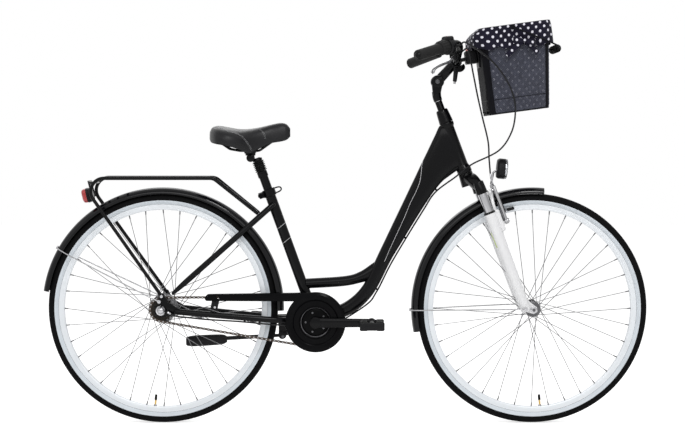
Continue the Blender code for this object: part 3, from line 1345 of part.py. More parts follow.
def fork_lowers():
    """Both lower legs cast in one with the arch, the dropouts and the brake bosses."""
    body = None
    for side in (-1, 1):
        bore = STANCHION_RADIUS + GAP
        profile = [(bore, LEG_TOP + WIPER_HEIGHT), (0.0172, LEG_TOP + WIPER_HEIGHT), (0.0176, LEG_TOP),
                   (LEG_RADIUS, LEG_TOP - 0.001), (LEG_RADIUS, LEG_TOP - 0.05), (LEG_FOOT_RADIUS, 0.012),
                   (0.0120, 0.004), (0, 0.004), (0, 0.138), (bore, 0.138)]
        leg = turned("fork_lowers" if body is None else "fork_lowers_left", profile,
                     on_steering(0, LEG_OFFSET, side * LEG_SPACING), STEER_UP)
        tab = loft(f"fork_tab{side}", [
            [on_steering(low, ahead, side * (FRONT_HUB_HALF + 0.0003 + thick))
             for ahead, low in ((LEG_OFFSET - 0.004, 0.040), (LEG_OFFSET - 0.006, 0.006),
                                (FORK_OFFSET - 0.004, -0.0125), (FORK_OFFSET + 0.009, -0.0095),
                                (FORK_OFFSET + 0.0125, 0.004), (FORK_OFFSET - 0.002, 0.026),
                                (LEG_OFFSET + 0.013, 0.052))]
            for thick in (0.0, 0.0085)])
        boss_end = on_steering(BOSS_HEIGHT, 0.0560, side * BOSS_SPACING)
        lug = box(f"fork_lug{side}", on_steering(BOSS_HEIGHT, 0.0385, side * 0.0420),
                  (0.0250, 0.0170, 0.0190),
                  STEER_TURN)
        boss = rod(f"fork_boss{side}", boss_end - STEER_FORWARD * 0.016, boss_end, 0.0085, sides=8)
        stud = rod(f"fork_stud{side}", boss_end - STEER_FORWARD * 0.004, boss_end + STEER_FORWARD * 0.0170,
                   0.0040,
                   sides=8)
        fuse(leg, tab, lug, boss, stud)
        if body is None:
            body = leg
        else:
            fuse(body, leg)
    back, ahead = LEG_OFFSET + 0.0195, LEG_OFFSET + 0.0335
    rings = []
    crest = front_crown(pi / 2 + STEER_LEAN - (LEG_OFFSET + 0.0265 - FORK_OFFSET) / MUDGUARD_RADIUS) + GAP
    for index in range(9):
        angle = pi * index / 8
        left = (LEG_SPACING - 0.004) * cos(angle)
        low = LEG_TOP - 0.020 + (crest - LEG_TOP + 0.020) * sin(angle) ** 0.55
        high = LEG_TOP - 0.004 + (crest + 0.016 - LEG_TOP + 0.004) * sin(angle) ** 0.62
        inset = 0.010 * abs(cos(angle)) ** 3
        rings.append([on_steering(low, back - inset * 0.4, left), on_steering(low, ahead - inset, left),
                      on_steering(high, ahead - inset, left), on_steering(high, back - inset * 0.4, left)])
    arch = loft("fork_arch", rings)
    for side in (-1, 1):
        cheek = on_steering(LEG_TOP - 0.030, LEG_OFFSET + 0.0221, side * (LEG_SPACING - 0.001))
        fuse(arch, box(f"fork_arch_cheek{side}", cheek, (0.0150, 0.0190, 0.0700), STEER_TURN))
    fuse(body, arch)
    axle = rod("fork_axle", FRONT - LEFT * (FRONT_HUB_HALF + 0.0185),
               FRONT + LEFT * (FRONT_HUB_HALF + 0.0185),
               AXLE_RADIUS)
    fuse(body, axle)
    for side in (-1, 1):
        fuse(body, rod(f"fork_nut{side}", FRONT + LEFT * side * (FRONT_HUB_HALF + 0.0080),
                       FRONT + LEFT * side * (FRONT_HUB_HALF + 0.0155), 0.0095, sides=6))
    return finish(body, WHITE_PAINT)


def brake_arm(name, side):
    """V-brake arm on its boss, with the pad on the rim."""
    pivot = on_steering(BOSS_HEIGHT, 0, side * BOSS_SPACING)
    near, far = 0.0585, 0.0700
    eye = rod(name, pivot + STEER_FORWARD * near, pivot + STEER_FORWARD * far, 0.0090, sides=10)
    middle = (near + far) / 2
    rings = []
    for height, left, tall in ((0.000, 0.0000, 0.0085), (0.032, 0.0030, 0.0070), (0.085, 0.0060, 0.0055),
                               (0.114, 0.0040, 0.0045)):
        spot = pivot + STEER_UP * height + STEER_FORWARD * middle + LEFT * side * left
        rings.append([spot + STEER_FORWARD * forward * 0.0050 + LEFT * sideways * tall
                      for forward, sideways in ((-1, -1), (1, -1), (1, 1), (-1, 1))])
    arm = loft(name + "_arm", rings)
    rim_side = RIM_HALF_WIDTH + PAD_GAP
    pad_radius = (RIM_INNER_RADIUS + 0.005 + RIM_OUTER_RADIUS) / 2
    ahead = 0.0800
    height = sqrt(pad_radius ** 2 - (ahead - FORK_OFFSET) ** 2)
    tangent = atan2(ahead - FORK_OFFSET, height)
    turn = STEER_TURN @ Matrix.Rotation(tangent, 4, "Y")
    pad = box(name + "_pad", on_steering(height, ahead, side * (rim_side + 0.0055)), (0.0560, 0.0110, 0.0090),
              turn, bevel=0.0015)
    post = rod(name + "_post", on_steering(height, ahead, side * (rim_side + 0.004)),
               on_steering(height, middle + 0.002, side * (BOSS_SPACING + 0.0030)), 0.0042, sides=6)
    bore = rod(name + "_bore", pivot + STEER_FORWARD * 0.03, pivot + STEER_FORWARD * 0.09, 0.0040 + GAP,
               sides=8)
    fuse(eye, arm, post, pad)
    if side < 0:
        top = pivot + STEER_UP * 0.113 + STEER_FORWARD * middle - LEFT * 0.0035
        bend = [top + Vector((0, 0.006, 0.0)), top + Vector((-0.004, -0.004, 0.010)),
                top + Vector((-0.008, -0.006, 0.024)), top + Vector((-0.010, -0.004, 0.036))]
        fuse(eye, tube(name + "_noodle", smooth(bend, 6), 0.0028, sides=6))
    cut(eye, bore)
    marker = joint(name + "_swing", pivot + STEER_FORWARD * middle)
    hang(marker, eye)
    finish(eye, SILVER)
    return marker


def headlight():
    """Round lamp on a bent strap that is bolted to the arch."""
    lamp = on_steering(0.4330, 0.1075)
    aim = Vector((cos(radians(5)), 0, -sin(radians(5))))
    body = turned("headlight", [(0, 0.0200), (0.0200, 0.0195), (0.0310, 0.0150), (0.0310, -0.0080),
                                (0.0275, -0.0140), (0, -0.0145)], lamp, aim, steps=16, closed=False)
    foot_at = on_steering(MUDGUARD_RADIUS + 0.0110, LEG_OFFSET + 0.0338)
    foot = rod("headlight_foot", foot_at, foot_at + STEER_FORWARD * 0.0060, 0.0070, sides=8)
    strap_foot = foot_at + STEER_FORWARD * 0.0060
    strap = [strap_foot - STEER_UP * 0.0040, strap_foot + STEER_UP * 0.020, lamp - aim * 0.024 - UP * 0.012,
             lamp - aim * 0.010 - UP * 0.006]
    fuse(body, tube("headlight_strap", rounded(strap, [0.006, 0.006]), 0.0034, sides=6), foot)
    return finish(body, BLACK_PLASTIC)


# Stem, handlebar and controls

def stem_quill():
    """Quill with the headset's cover on it and the two ears of the stem's pivot."""
    low = FORK_LENGTH + HEAD_TUBE_LENGTH
    post = rod("stem_quill", on_steering(low - 0.070), on_steering(STEM_PIVOT_HEIGHT - 0.040), QUILL_RADIUS)
    lip = STEERER_RADIUS + 3 * GAP
    cover = turned("stem_cover", [(0, low + 0.042), (0.0125, low + 0.042), (0.0160, low + 0.030),
                                  (0.0215, low + 0.004), (0.0215, low + GAP), (lip, low + GAP),
                                  (lip, low + 0.0065), (0, low + 0.0065)],
                   STEER_FOOT, STEER_UP, steps=16, closed=False)
    head = rod("stem_head", STEM_PIVOT - LEFT * 0.0200, STEM_PIVOT + LEFT * 0.0200, STEM_KNUCKLE_RADIUS,
               sides=16)
    neck = loft("stem_neck", [
        [on_steering(height, ahead + half * cos(2 * pi * side / 10), wide * sin(2 * pi * side / 10))
         for side in range(10)]
        for height, ahead, half, wide in ((STEM_PIVOT_HEIGHT - 0.055, 0.0, 0.0130, 0.0130),
                                          (STEM_PIVOT_HEIGHT - 0.030, 0.003, 0.0150, 0.0165),
                                          (STEM_PIVOT_HEIGHT - 0.006, STEM_PIVOT_OFFSET - 0.004, 0.0155,
                                           0.0195))])
    flat_faced(neck)
    slot = rod("stem_slot", STEM_PIVOT - LEFT * 0.0118, STEM_PIVOT + LEFT * 0.0118,
               STEM_KNUCKLE_RADIUS + 0.0015,
               sides=16)
    bolt = rod("stem_bolt", STEM_PIVOT - LEFT * 0.0190, STEM_PIVOT + LEFT * 0.0190, STEM_BOLT_RADIUS,
               sides=8)
    fuse(post, cover, neck, head)
    reach = box("stem_reach", STEM_PIVOT + Vector((0.022, 0, 0.018)), (0.044, 0.0242, 0.040),
                Matrix.Rotation(-STEM_RISE, 4, "Y"))
    cut(post, slot, reach)
    fuse(post, bolt)
    return finish(post, BLACK_PAINT)


def stem_arm():
    """Arm from the pivot's tongue to the bar clamp."""
    along = (BAR_CENTRE - STEM_PIVOT).normalized()
    across = Vector((-along.z, 0, along.x))
    tongue = rod("stem_arm", STEM_PIVOT - LEFT * 0.0115, STEM_PIVOT + LEFT * 0.0115,
                 STEM_KNUCKLE_RADIUS - 0.0005,
                 sides=16)
    rings = []
    for place, tall, wide in ((0.006, 0.0150, 0.0110), (0.027, 0.0148, 0.0112), (0.042, 0.0145, 0.0165),
                              (STEM_LENGTH - 0.006, 0.0150, 0.0200)):
        spot = STEM_PIVOT + along * place
        rings.append([spot + across * tall * cos(2 * pi * (side + 0.5) / 10)
                      + LEFT * wide * sin(2 * pi * (side + 0.5) / 10) for side in range(10)])
    arm = loft("stem_arm_body", rings)
    clamp = rod("stem_arm_clamp", BAR_CENTRE - LEFT * 0.0220, BAR_CENTRE + LEFT * 0.0220, 0.0190, sides=16)
    bar_bore = rod("stem_arm_bore", BAR_CENTRE - LEFT * 0.04, BAR_CENTRE + LEFT * 0.04, CLAMP_BORE)
    bolt_bore = rod("stem_arm_bolt_bore", STEM_PIVOT - LEFT * 0.04, STEM_PIVOT + LEFT * 0.04,
                    pin_bore(STEM_BOLT_RADIUS), sides=8)
    fuse(tongue, arm, clamp)
    cut(tongue, bar_bore, bolt_bore)
    return finish(tongue, BLACK_PAINT)


def bar_point(side, inboard, drop=0.0, ahead=0.0):
    """Point on the straight grip section, so far in from the bar's end and square off its axis."""
    end = BAR_CENTRE + Vector((BAR_END.x, side * BAR_END.y, BAR_END.z))
    along, down, front = grip_axes(side)
    return end - along * inboard + down * drop + front * ahead


def grip_axes(side):
    shoulder = Vector((BAR_SHOULDER.x, side * BAR_SHOULDER.y, BAR_SHOULDER.z))
    end = Vector((BAR_END.x, side * BAR_END.y, BAR_END.z))
    along = (end - shoulder).normalized()
    down = (-UP - along * -UP.dot(along)).normalized()
    front = down.cross(along) * side
    return along, down, front


def handlebar():
    """Swept bar, thicker in the middle where the clamps hold it."""
    right = [Vector((BAR_END.x, -BAR_END.y, BAR_END.z)),
             Vector((BAR_SHOULDER.x, -BAR_SHOULDER.y, BAR_SHOULDER.z)),
             Vector((0, -BAR_RISE_START, 0)), Vector((0, -BAR_CLAMP_HALF * 0.4, 0))]
    run = rounded(right, [0.055, 0.040])
    run = run[:-1] + [Vector((0, -BAR_CLAMP_HALF * 0.88, 0)), run[-1]]
    route = [BAR_CENTRE + point for point in run]
    route += [BAR_CENTRE + mirrored(point) for point in reversed(run)]
    thick = BAR_CLAMP_RADIUS / BAR_RADIUS
    widths = [1.0] * (len(run) - 2) + [thick] * 4 + [1.0] * (len(run) - 2)
    return finish(tube("handlebar", route, BAR_RADIUS, sides=12, widths=widths), BLACK_PAINT)


def grips():
    """Rubber grips, each with a closed end."""
    made = []
    for name, side, length in (("grip_right", -1, GRIP_LENGTH), ("grip_left", 1, LEFT_GRIP_LENGTH)):
        along, _, _ = grip_axes(side)
        bore = BAR_BORE
        profile = [(0, 0.0050), (0.0120, 0.0050), (GRIP_RADIUS, 0.0010),
                   (GRIP_RADIUS - 0.0004, -length * 0.5),
                   (GRIP_RADIUS, -length), (bore, -length), (bore, GAP), (0, GAP)]
        made.append(finish(turned(name, profile, bar_point(side, 0), along, closed=False), RUBBER))
    return made


def twist_grip():
    """Ribbed sleeve that turns to change gear."""
    along, _, _ = grip_axes(-1)
    start = GRIP_LENGTH + GAP
    outer = []
    for index in range(16):
        outer.append(0.0218 if index % 2 else 0.0204)
    rings = []
    for place, grow in ((0.0, 0.93), (0.004, 1.0), (TWIST_LENGTH - 0.003, 1.04), (TWIST_LENGTH, 0.98)):
        centre = bar_point(-1, start + place)
        _, down, front = grip_axes(-1)
        turns = [2 * pi * index / 16 for index in range(16)]
        rings.append([centre + (down * cos(turn) + front * sin(turn)) * radius * grow
                      for turn, radius in zip(turns, outer)])
    body = loft("twist_grip", rings)
    cut(body, rod("twist_grip_bore", bar_point(-1, start - 0.02), bar_point(-1, start + 0.06), BAR_BORE))
    marker = joint("shifter_twist", bar_point(-1, start))
    hang(marker, body)
    finish(body, RUBBER)
    return marker


def shifter_housing():
    """Round housing with a raised gear display and the cable's outlet in front."""
    start = GRIP_LENGTH + TWIST_LENGTH + 2 * GAP
    along, down, front = grip_axes(-1)
    finish_at = start + SHIFTER_LENGTH
    body = turned("shifter_housing", [(0, -start), (0.0215, -start), (0.0262, -start - 0.003),
                                      (0.0262, 0.004 - finish_at), (0.0200, -finish_at), (0, -finish_at)],
                  bar_point(-1, 0), along, steps=16, closed=False)
    display = bar_point(-1, start + SHIFTER_LENGTH / 2, -0.0235, 0.0040)
    turn = Matrix((front, -along, -down)).transposed().to_4x4()
    screen = box("shifter_display", display, (0.0330, SHIFTER_LENGTH - 0.005, 0.0130), turn, bevel=0.003)
    outlet_start = bar_point(-1, start + SHIFTER_LENGTH / 2, 0.004, 0.020)
    outlet_end = bar_point(-1, start + SHIFTER_LENGTH * 0.62, -0.001, 0.043)
    outlet = rod("shifter_outlet", outlet_start, outlet_end, 0.0048, 0.0036, sides=8)
    fuse(body, screen, outlet)
    cut(body, rod("shifter_bore", bar_point(-1, start - 0.02), bar_point(-1, start + 0.06), BAR_BORE))
    return finish(body, BLACK_PLASTIC), outlet_end, (outlet_end - outlet_start).normalized()


LEVER_START = GRIP_LENGTH + TWIST_LENGTH + SHIFTER_LENGTH + 3 * GAP


def lever_mount():
    """Clamp ring and perch of the brake lever."""
    along, down, front = grip_axes(-1)
    ring_body = ring("brake_lever_mount", 0.0160, BAR_BORE, -LEVER_START - LEVER_CLAMP_LENGTH, -LEVER_START,
                     bar_point(-1, 0), along)
    turn = Matrix((front, -along, -down)).transposed().to_4x4()
    middle = LEVER_START + LEVER_CLAMP_LENGTH / 2
    stalk = box("lever_stalk", bar_point(-1, middle, 0.0230, 0.0),
                (0.0200, LEVER_CLAMP_LENGTH - 0.0020, 0.0180), turn)
    cheeks = box("lever_cheeks", bar_point(-1, middle, LEVER_DROP - 0.001, 0.0),
                 (0.0196, LEVER_CLAMP_LENGTH - 0.0010, 0.0170), turn)
    slot = box("lever_slot", bar_point(-1, middle - 0.004, LEVER_DROP + 0.0025, 0.0),
               (0.0096, 0.040, 0.0184), turn)
    pin = rod("lever_pin", bar_point(-1, middle, LEVER_DROP, -0.0095),
              bar_point(-1, middle, LEVER_DROP, 0.0095),
              0.0022, sides=8)
    barrel = rod("lever_barrel", bar_point(-1, middle + 0.003, 0.0280, 0.006),
                 bar_point(-1, middle + 0.030, 0.0250, 0.014),
                 0.0045, 0.0036, sides=8)
    fuse(ring_body, stalk, cheeks, barrel)
    cut(ring_body, slot)
    fuse(ring_body, pin)
    return finish(ring_body, BLACK_PLASTIC), bar_point(-1, middle + 0.030, 0.0250, 0.014)


def brake_lever():
    """Silver blade that hangs under the grip."""
    middle = LEVER_START + LEVER_CLAMP_LENGTH / 2
    pivot = bar_point(-1, middle, LEVER_DROP)
    _, _, front = grip_axes(-1)
    eye = rod("brake_lever", pivot - front * 0.0043, pivot + front * 0.0043, 0.0060, sides=10)
    path = smooth([pivot, bar_point(-1, 0.145, 0.0470), bar_point(-1, 0.110, 0.0525),
                   bar_point(-1, 0.075, 0.0570),
                   bar_point(-1, 0.050, 0.0640)], 7)
    blade = tube("brake_lever_blade", path, 0.0042, sides=8, widths=[0.9, 1.0, 1.2, 1.2, 1.15, 1.1, 1.35])
    bore = rod("brake_lever_bore", pivot - front * 0.02, pivot + front * 0.02, 0.0022 + GAP, sides=8)
    fuse(eye, blade)
    cut(eye, bore)
    marker = joint("brake_lever_pull", pivot)
    hang(marker, eye)
    finish(eye, SILVER)
    return marker


def bell():
    """Small dome hung under the bar beside the stem."""
    strap_at = BAR_CENTRE - LEFT * 0.0430
    strap = ring("bell", 0.0165, CLAMP_BORE, -0.0030, 0.0030, strap_at, LEFT)
    down = Vector((0.55, 0, -0.83)).normalized()
    base = strap_at + down * 0.0150 - LEFT * 0.0065
    dome = turned("bell_dome", [(0, 0.0200), (0.0090, 0.0180), (0.0148, 0.0120), (0.0155, 0.0030),
                                (0, 0.0030)],
                  base, down, closed=False)
    foot = rod("bell_foot", strap_at + down * 0.0158, base + down * 0.006, 0.0045, sides=8)
    fuse(strap, foot, dome)
    return finish(strap, BLACK_PAINT)


def basket_axes():
    forward = Vector((cos(BASKET_TILT), 0, sin(BASKET_TILT)))
    up = Vector((-sin(BASKET_TILT), 0, cos(BASKET_TILT)))
    return forward, up


def in_basket(ahead, left, height):
    forward, up = basket_axes()
    return BAR_CENTRE + BASKET_CORNER + forward * ahead + LEFT * left + up * height


def basket_ring(height, grow, extra=0, folds=0.0):
    """Rounded rectangle round the basket at a height, grown outwards, its sides split and folded."""
    share = height / BASKET_HEIGHT
    depth = BASKET_FLOOR_DEPTH + (BASKET_TOP_DEPTH - BASKET_FLOOR_DEPTH) * share
    half = BASKET_FLOOR_HALF + (BASKET_TOP_HALF - BASKET_FLOOR_HALF) * share
    radius = BASKET_CORNER_RADIUS
    reach = radius + grow
    points = []
    for along, left, start in ((depth - radius, half - radius, 0), (radius, half - radius, pi / 2),
                               (radius, radius - half, pi), (depth - radius, radius - half, 1.5 * pi)):
        for index in range(4):
            angle = start + pi / 6 * index
            points.append(in_basket(along + reach * cos(angle), left + reach * sin(angle), height))
        outward = in_basket(cos(start + pi / 2), sin(start + pi / 2), 0) - in_basket(0, 0, 0)
        begin = points[-1]
        turned_to = start + pi / 2
        following = {0: (radius, half - radius), 1: (radius, radius - half),
                     2: (depth - radius, radius - half),
                     3: (depth - radius, half - radius)}[round(start / (pi / 2))]
        end = in_basket(following[0] + reach * cos(turned_to), following[1] + reach * sin(turned_to), height)
        for index in range(extra):
            wave = folds if index % 2 else -folds * 0.4
            points.append(begin.lerp(end, (index + 1) / (extra + 1)) + outward * wave)
    return points


def basket():
    """Open basket with thin walls, a rolled rim, a back plate and ears for the handle."""
    top = BASKET_HEIGHT
    rings = [basket_ring(0.0, -0.004), basket_ring(0.004, 0.0), basket_ring(top - 0.007, 0.0),
             basket_ring(top - 0.006, 0.0016), basket_ring(top, 0.0016), basket_ring(top, -BASKET_WALL),
             basket_ring(BASKET_WALL, -BASKET_WALL)]
    body = loft("basket", rings)
    ear = handle_pivot()
    for side in (-1, 1):
        start = Vector((ear.x, side * (BASKET_TOP_HALF - 0.0014), ear.z))
        end = Vector((ear.x, side * (HANDLE_SIDE + 0.0015), ear.z))
        fuse(body, rod(f"basket_ear{side}", start, end, EAR_RADIUS, sides=8))
    plate = box("basket_back_plate", in_basket(-BACK_PLATE / 2, 0, BACK_PLATE_HEIGHT),
                (BACK_PLATE + 0.0008, 0.090, 0.070), Matrix.Rotation(-BASKET_TILT, 4, "Y"))
    fuse(body, plate)
    return finish(body, BASKET_WIRE)


def basket_liner():
    """Cloth lining that hangs inside and folds over the rim to a loose hem."""
    inner = -BASKET_WALL - GAP
    outer = 0.0016 + GAP
    thick = LINER_THICKNESS
    top = BASKET_HEIGHT + GAP
    hem = BASKET_HEIGHT - FLAP_LENGTH
    low = BASKET_WALL + GAP
    levels = [(low, inner - 0.001, 0), (0.014, inner, 0), (top, inner, 0), (top, outer, 0),
              (hem + 0.035, outer + 0.0020, 0.0012), (hem, outer + 0.0035, 0.0028),
              (hem, outer + 0.0035 + thick, 0.0028), (hem + 0.035, outer + 0.0020 + thick, 0.0012),
              (top - 0.001, outer + thick, 0), (top + thick, outer, 0), (top + thick, inner, 0),
              (top - 0.004, inner - thick, 0), (0.016, inner - thick, 0), (low + thick,
                                                                           inner - 0.002 - thick, 0)]
    cloth = loft("basket_liner", [basket_ring(height, grow, 2, folds) for height, grow, folds in levels])
    ear = handle_pivot()
    for side in (-1, 1):
        start = Vector((ear.x, side * (BASKET_TOP_HALF - 0.0012), ear.z))
        end = Vector((ear.x, side * 0.20, ear.z))
        cut(cloth, rod(f"basket_liner_hole{side}", start, end, EAR_RADIUS + 2 * GAP, sides=8))
    notch = box("basket_liner_notch", in_basket(-0.0207, 0, BACK_PLATE_HEIGHT - 0.010), (0.040, 0.100, 0.094),
                Matrix.Rotation(-BASKET_TILT, 4, "Y"))
    cut(cloth, notch)
    return finish(cloth, CLOTH)


def handle_pivot():
    return in_basket(0.0980, 0, BASKET_HEIGHT - 0.0080)


def basket_handle():
    """Wire bail with a foam grip, folded forward over the rim."""
    ear = handle_pivot()
    grip = in_basket(0.2330, 0, BASKET_HEIGHT - 0.0840)
    side_start = Vector((ear.x, -HANDLE_SIDE, ear.z))
    elbow = Vector((grip.x, -HANDLE_SIDE, grip.z))
    middle = Vector((grip.x, -0.060, grip.z))
    run = rounded([side_start, elbow, middle], [0.045], step=radians(30))
    route = run + [mirrored(point) for point in reversed(run)]
    body = tube("basket_handle", route, HANDLE_RADIUS, sides=6)
    foam = rod("basket_handle_foam", middle, mirrored(middle), HANDLE_GRIP_RADIUS, sides=12)
    fuse(body, foam)
    for side in (-1, 1):
        spot = Vector((ear.x, side * HANDLE_SIDE, ear.z))
        fuse(body, rod(f"basket_handle_eye{side}", spot - LEFT * 0.0022, spot + LEFT * 0.0022, 0.0080,
                       sides=8))
    for side in (-1, 1):
        spot = Vector((ear.x, side * HANDLE_SIDE, ear.z))
        cut(body, rod(f"basket_handle_bore{side}", spot - LEFT * 0.01, spot + LEFT * 0.01,
                      pin_bore(EAR_RADIUS),
                      sides=8))
    marker = joint("basket_handle_swing", ear)
    hang(marker, body)
    finish(body, BLACK_PLASTIC)
    return marker


def basket_mount():
    """Adapter block in front of the bar, on two rings, with a short strut under it."""
    tilt = Matrix.Rotation(-BASKET_TILT, 4, "Y")
    plate_height = BACK_PLATE_HEIGHT
    front = in_basket(-BACK_PLATE - 2 * GAP - 0.0175, 0, plate_height)
    block = box("basket_mount", front, (0.0350, 0.0720, 0.0400), tilt)
    for side in (-1, 1):
        centre = BAR_CENTRE + LEFT * side * 0.0330
        eye = rod(f"basket_mount_ring{side}", centre - LEFT * 0.0048, centre + LEFT * 0.0048, 0.0180)
        neck = rod(f"basket_mount_neck{side}", centre + Vector((0.010, 0, 0.004)),
                   front + LEFT * side * 0.0290
                   + Vector((-0.010, 0, -0.004)), 0.0045, 0.0060, sides=6)
        fuse(block, eye, neck)
    strut_top = BAR_CENTRE + Vector((0.002, -0.0300, -0.014))
    strut = rod("basket_mount_strut", strut_top, strut_top + Vector((-0.006, 0, -0.053)), 0.0062, 0.0038,
                sides=8)
    fuse(block, strut)
    cut(block, rod("basket_mount_bore", BAR_CENTRE - LEFT * 0.06, BAR_CENTRE + LEFT * 0.06, CLAMP_BORE))
    button_at = in_basket(-BACK_PLATE - 2 * GAP - 0.0250, 0, plate_height + 0.0200)
    well = box("basket_mount_well", button_at, (0.0126, 0.0306, 0.0200), tilt)
    cut(block, well)
    finish(block, BLACK_PLASTIC)
    button = box("basket_button", button_at - basket_axes()[1] * 0.0010, (0.0120, 0.0300, 0.0120), tilt,
                 bevel=0.002)
    marker = joint("basket_button_press", button_at)
    hang(marker, button)
    finish(button, RED_PLASTIC)
    return block, marker


# Cables, laid along the routes that the photograph shows

def down_tube_front(place):
    """Centre of the down tube's front face, by the place of its rings from 0 at the cranks to 1."""
    rings = down_tube_rings(0.0)
    span = place * (len(rings) - 1)
    index = min(int(span), len(rings) - 2)
    front = rings[index][0].lerp(rings[index + 1][0], span - index)
    rear = rings[index][6].lerp(rings[index + 1][6], span - index)
    return front, (front - rear).normalized()


def gear_cable(start, along):
    """From the shifter's outlet round the basket's side, down the down tube and along the right chainstay."""
    route = [start + along * 0.0018, start + along * 0.022, BAR_CENTRE + Vector((0.0900, -0.186, 0.002)),
             BAR_CENTRE + Vector((0.1340, -0.182, -0.050)), BAR_CENTRE + Vector((0.1590, -0.176, -0.100)),
             BAR_CENTRE + Vector((0.1680, -0.166, -0.152)), BAR_CENTRE + Vector((0.1600, -0.132, -0.213)),
             BAR_CENTRE + Vector((0.1260, -0.090, -0.268)), on_steering(0.4800, 0.0300, -0.0520),
             on_steering(0.4690, -0.0080, -0.0410), on_steering(0.4450, -0.0420, -0.0330)]
    for place in (0.72, 0.62, 0.52, 0.42, 0.32, 0.22):
        front, outward = down_tube_front(place)
        route.append(front + outward * 0.0045 - LEFT * 0.005)
    route += [BRACKET + Vector((0.030, -0.010, -0.0265)), BRACKET + Vector((-0.010, -0.016, -0.0285)),
              BRACKET + Vector((-0.050, -0.0240, -0.0190)), BRACKET + Vector((-0.085, -0.0270, -0.0110)),
              BRACKET + Vector((-0.130, -0.0395, -0.0080)), BRACKET + Vector((-0.230, -0.0525, 0.0025)),
              BRACKET + Vector((-0.330, -0.0620, 0.0100)), REAR + Vector((0.075, -0.0730, -0.021)),
              REAR + Vector((0.045, -0.0840, -0.0160)), REAR + Vector((0.0200, -0.0870, -0.0040))]
    return finish(tube("gear_cable", smooth(route, 48), 0.0025, sides=8), RUBBER)


def brake_cable(start):
    """From the lever's barrel, behind the basket, down to the brake's noodle."""
    end = on_steering(BOSS_HEIGHT + 0.113, 0.06425, -BOSS_SPACING - 0.0035) + Vector((-0.010, -0.004, 0.0385))
    way = bar_point(-1, LEVER_START + 0.055, 0.0250, 0.022)
    route = [start + (way - start).normalized() * 0.0012, way, BAR_CENTRE + Vector((0.0480, -0.100, -0.040)),
             BAR_CENTRE + Vector((0.0620, -0.088, -0.105)), BAR_CENTRE + Vector((0.0800, -0.076, -0.168)),
             BAR_CENTRE + Vector((0.1000, -0.060, -0.240)), end + Vector((-0.010, -0.004, 0.045)),
             end + Vector((-0.0006, 0.0, 0.0025))]
    return finish(tube("front_brake_cable", smooth(route, 20), 0.0025, sides=8), RUBBER)


# Assembly

def steering():
    steer = joint("steering", on_steering(FORK_LENGTH))
    travel = joint("fork_travel", on_steering(LEG_TOP))
    stem = joint("stem_angle", STEM_PIVOT)
    hang(steer, fork_crown(), stem_quill(), travel, stem)
    hang(travel, fork_lowers(), headlight(), brake_arm("brake_arm_right", -1), brake_arm("brake_arm_left", 1),
         *mudguards(), bpy.data.objects["front_wheel_spin"])
    housing, outlet, along = shifter_housing()
    mount, cable_start = lever_mount()
    block, button = basket_mount()
    lift = joint("basket_lift", in_basket(0, 0, 0))
    hang(lift, basket(), basket_liner(), basket_handle())
    hang(stem, stem_arm(), handlebar(), *grips(), twist_grip(), housing, mount, brake_lever(), bell(), block,
         button, lift)
    gear_cable(outlet, along)
    brake_cable(cable_start)


def frame():
    head_tube()
    down_tube()
    seat_tube()
    cross_tube()
    bottom_bracket()
    for name, side in (("right", -1), ("left", 1)):
        chainstay("chainstay_" + name, side)
        seatstay("seatstay_" + name, side)
    seat_clamp()
    seat_lever()


front_wheel()
rear_wheel()
sprocket()
frame()
chain()
chain_case()
rack()
tail_light()
rear_axle()
kickstand()
cranks()
seat()
steering()
bpy.context.view_layer.update()
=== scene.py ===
"""Looks of the city bike: smooth pieces and finishes over its solids, in metres, +X forward, +Y left, +Z up.

Pieces are placed as the bike is set out: along the seat tube from the bottom bracket, along the
steering axis from the front axle, from the handlebar's middle, or in the basket's own frame.
"""

import json
from math import asin, atan2, ceil, cos, hypot, pi, radians, sin, sqrt, tan

import bmesh
import bpy
from mathutils import Matrix, Quaternion, Vector
from mathutils.bvhtree import BVHTree
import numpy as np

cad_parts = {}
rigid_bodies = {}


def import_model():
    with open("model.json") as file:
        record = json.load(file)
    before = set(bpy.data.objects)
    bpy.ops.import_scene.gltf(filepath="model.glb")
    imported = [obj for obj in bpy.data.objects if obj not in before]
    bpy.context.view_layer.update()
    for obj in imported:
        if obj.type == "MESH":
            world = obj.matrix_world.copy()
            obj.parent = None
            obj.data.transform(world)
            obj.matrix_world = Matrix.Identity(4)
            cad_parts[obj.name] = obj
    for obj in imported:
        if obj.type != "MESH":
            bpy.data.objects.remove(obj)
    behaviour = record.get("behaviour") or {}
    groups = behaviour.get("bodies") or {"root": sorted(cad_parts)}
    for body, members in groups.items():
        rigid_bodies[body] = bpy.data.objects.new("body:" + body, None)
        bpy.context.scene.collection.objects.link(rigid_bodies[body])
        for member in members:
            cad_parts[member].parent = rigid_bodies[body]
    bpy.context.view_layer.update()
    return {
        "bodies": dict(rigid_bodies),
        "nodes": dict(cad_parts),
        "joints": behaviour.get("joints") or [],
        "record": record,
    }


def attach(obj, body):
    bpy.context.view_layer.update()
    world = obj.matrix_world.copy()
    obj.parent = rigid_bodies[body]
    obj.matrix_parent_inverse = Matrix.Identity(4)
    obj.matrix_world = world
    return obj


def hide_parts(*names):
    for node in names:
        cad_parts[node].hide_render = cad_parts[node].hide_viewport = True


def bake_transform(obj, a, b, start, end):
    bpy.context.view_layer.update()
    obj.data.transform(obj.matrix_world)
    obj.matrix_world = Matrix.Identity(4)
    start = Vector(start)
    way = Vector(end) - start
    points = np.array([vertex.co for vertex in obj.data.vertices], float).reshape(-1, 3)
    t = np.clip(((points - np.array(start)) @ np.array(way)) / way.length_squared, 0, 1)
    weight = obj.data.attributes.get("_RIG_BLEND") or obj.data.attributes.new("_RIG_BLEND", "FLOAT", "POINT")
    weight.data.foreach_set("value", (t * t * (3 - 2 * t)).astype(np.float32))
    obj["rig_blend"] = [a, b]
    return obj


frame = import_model()

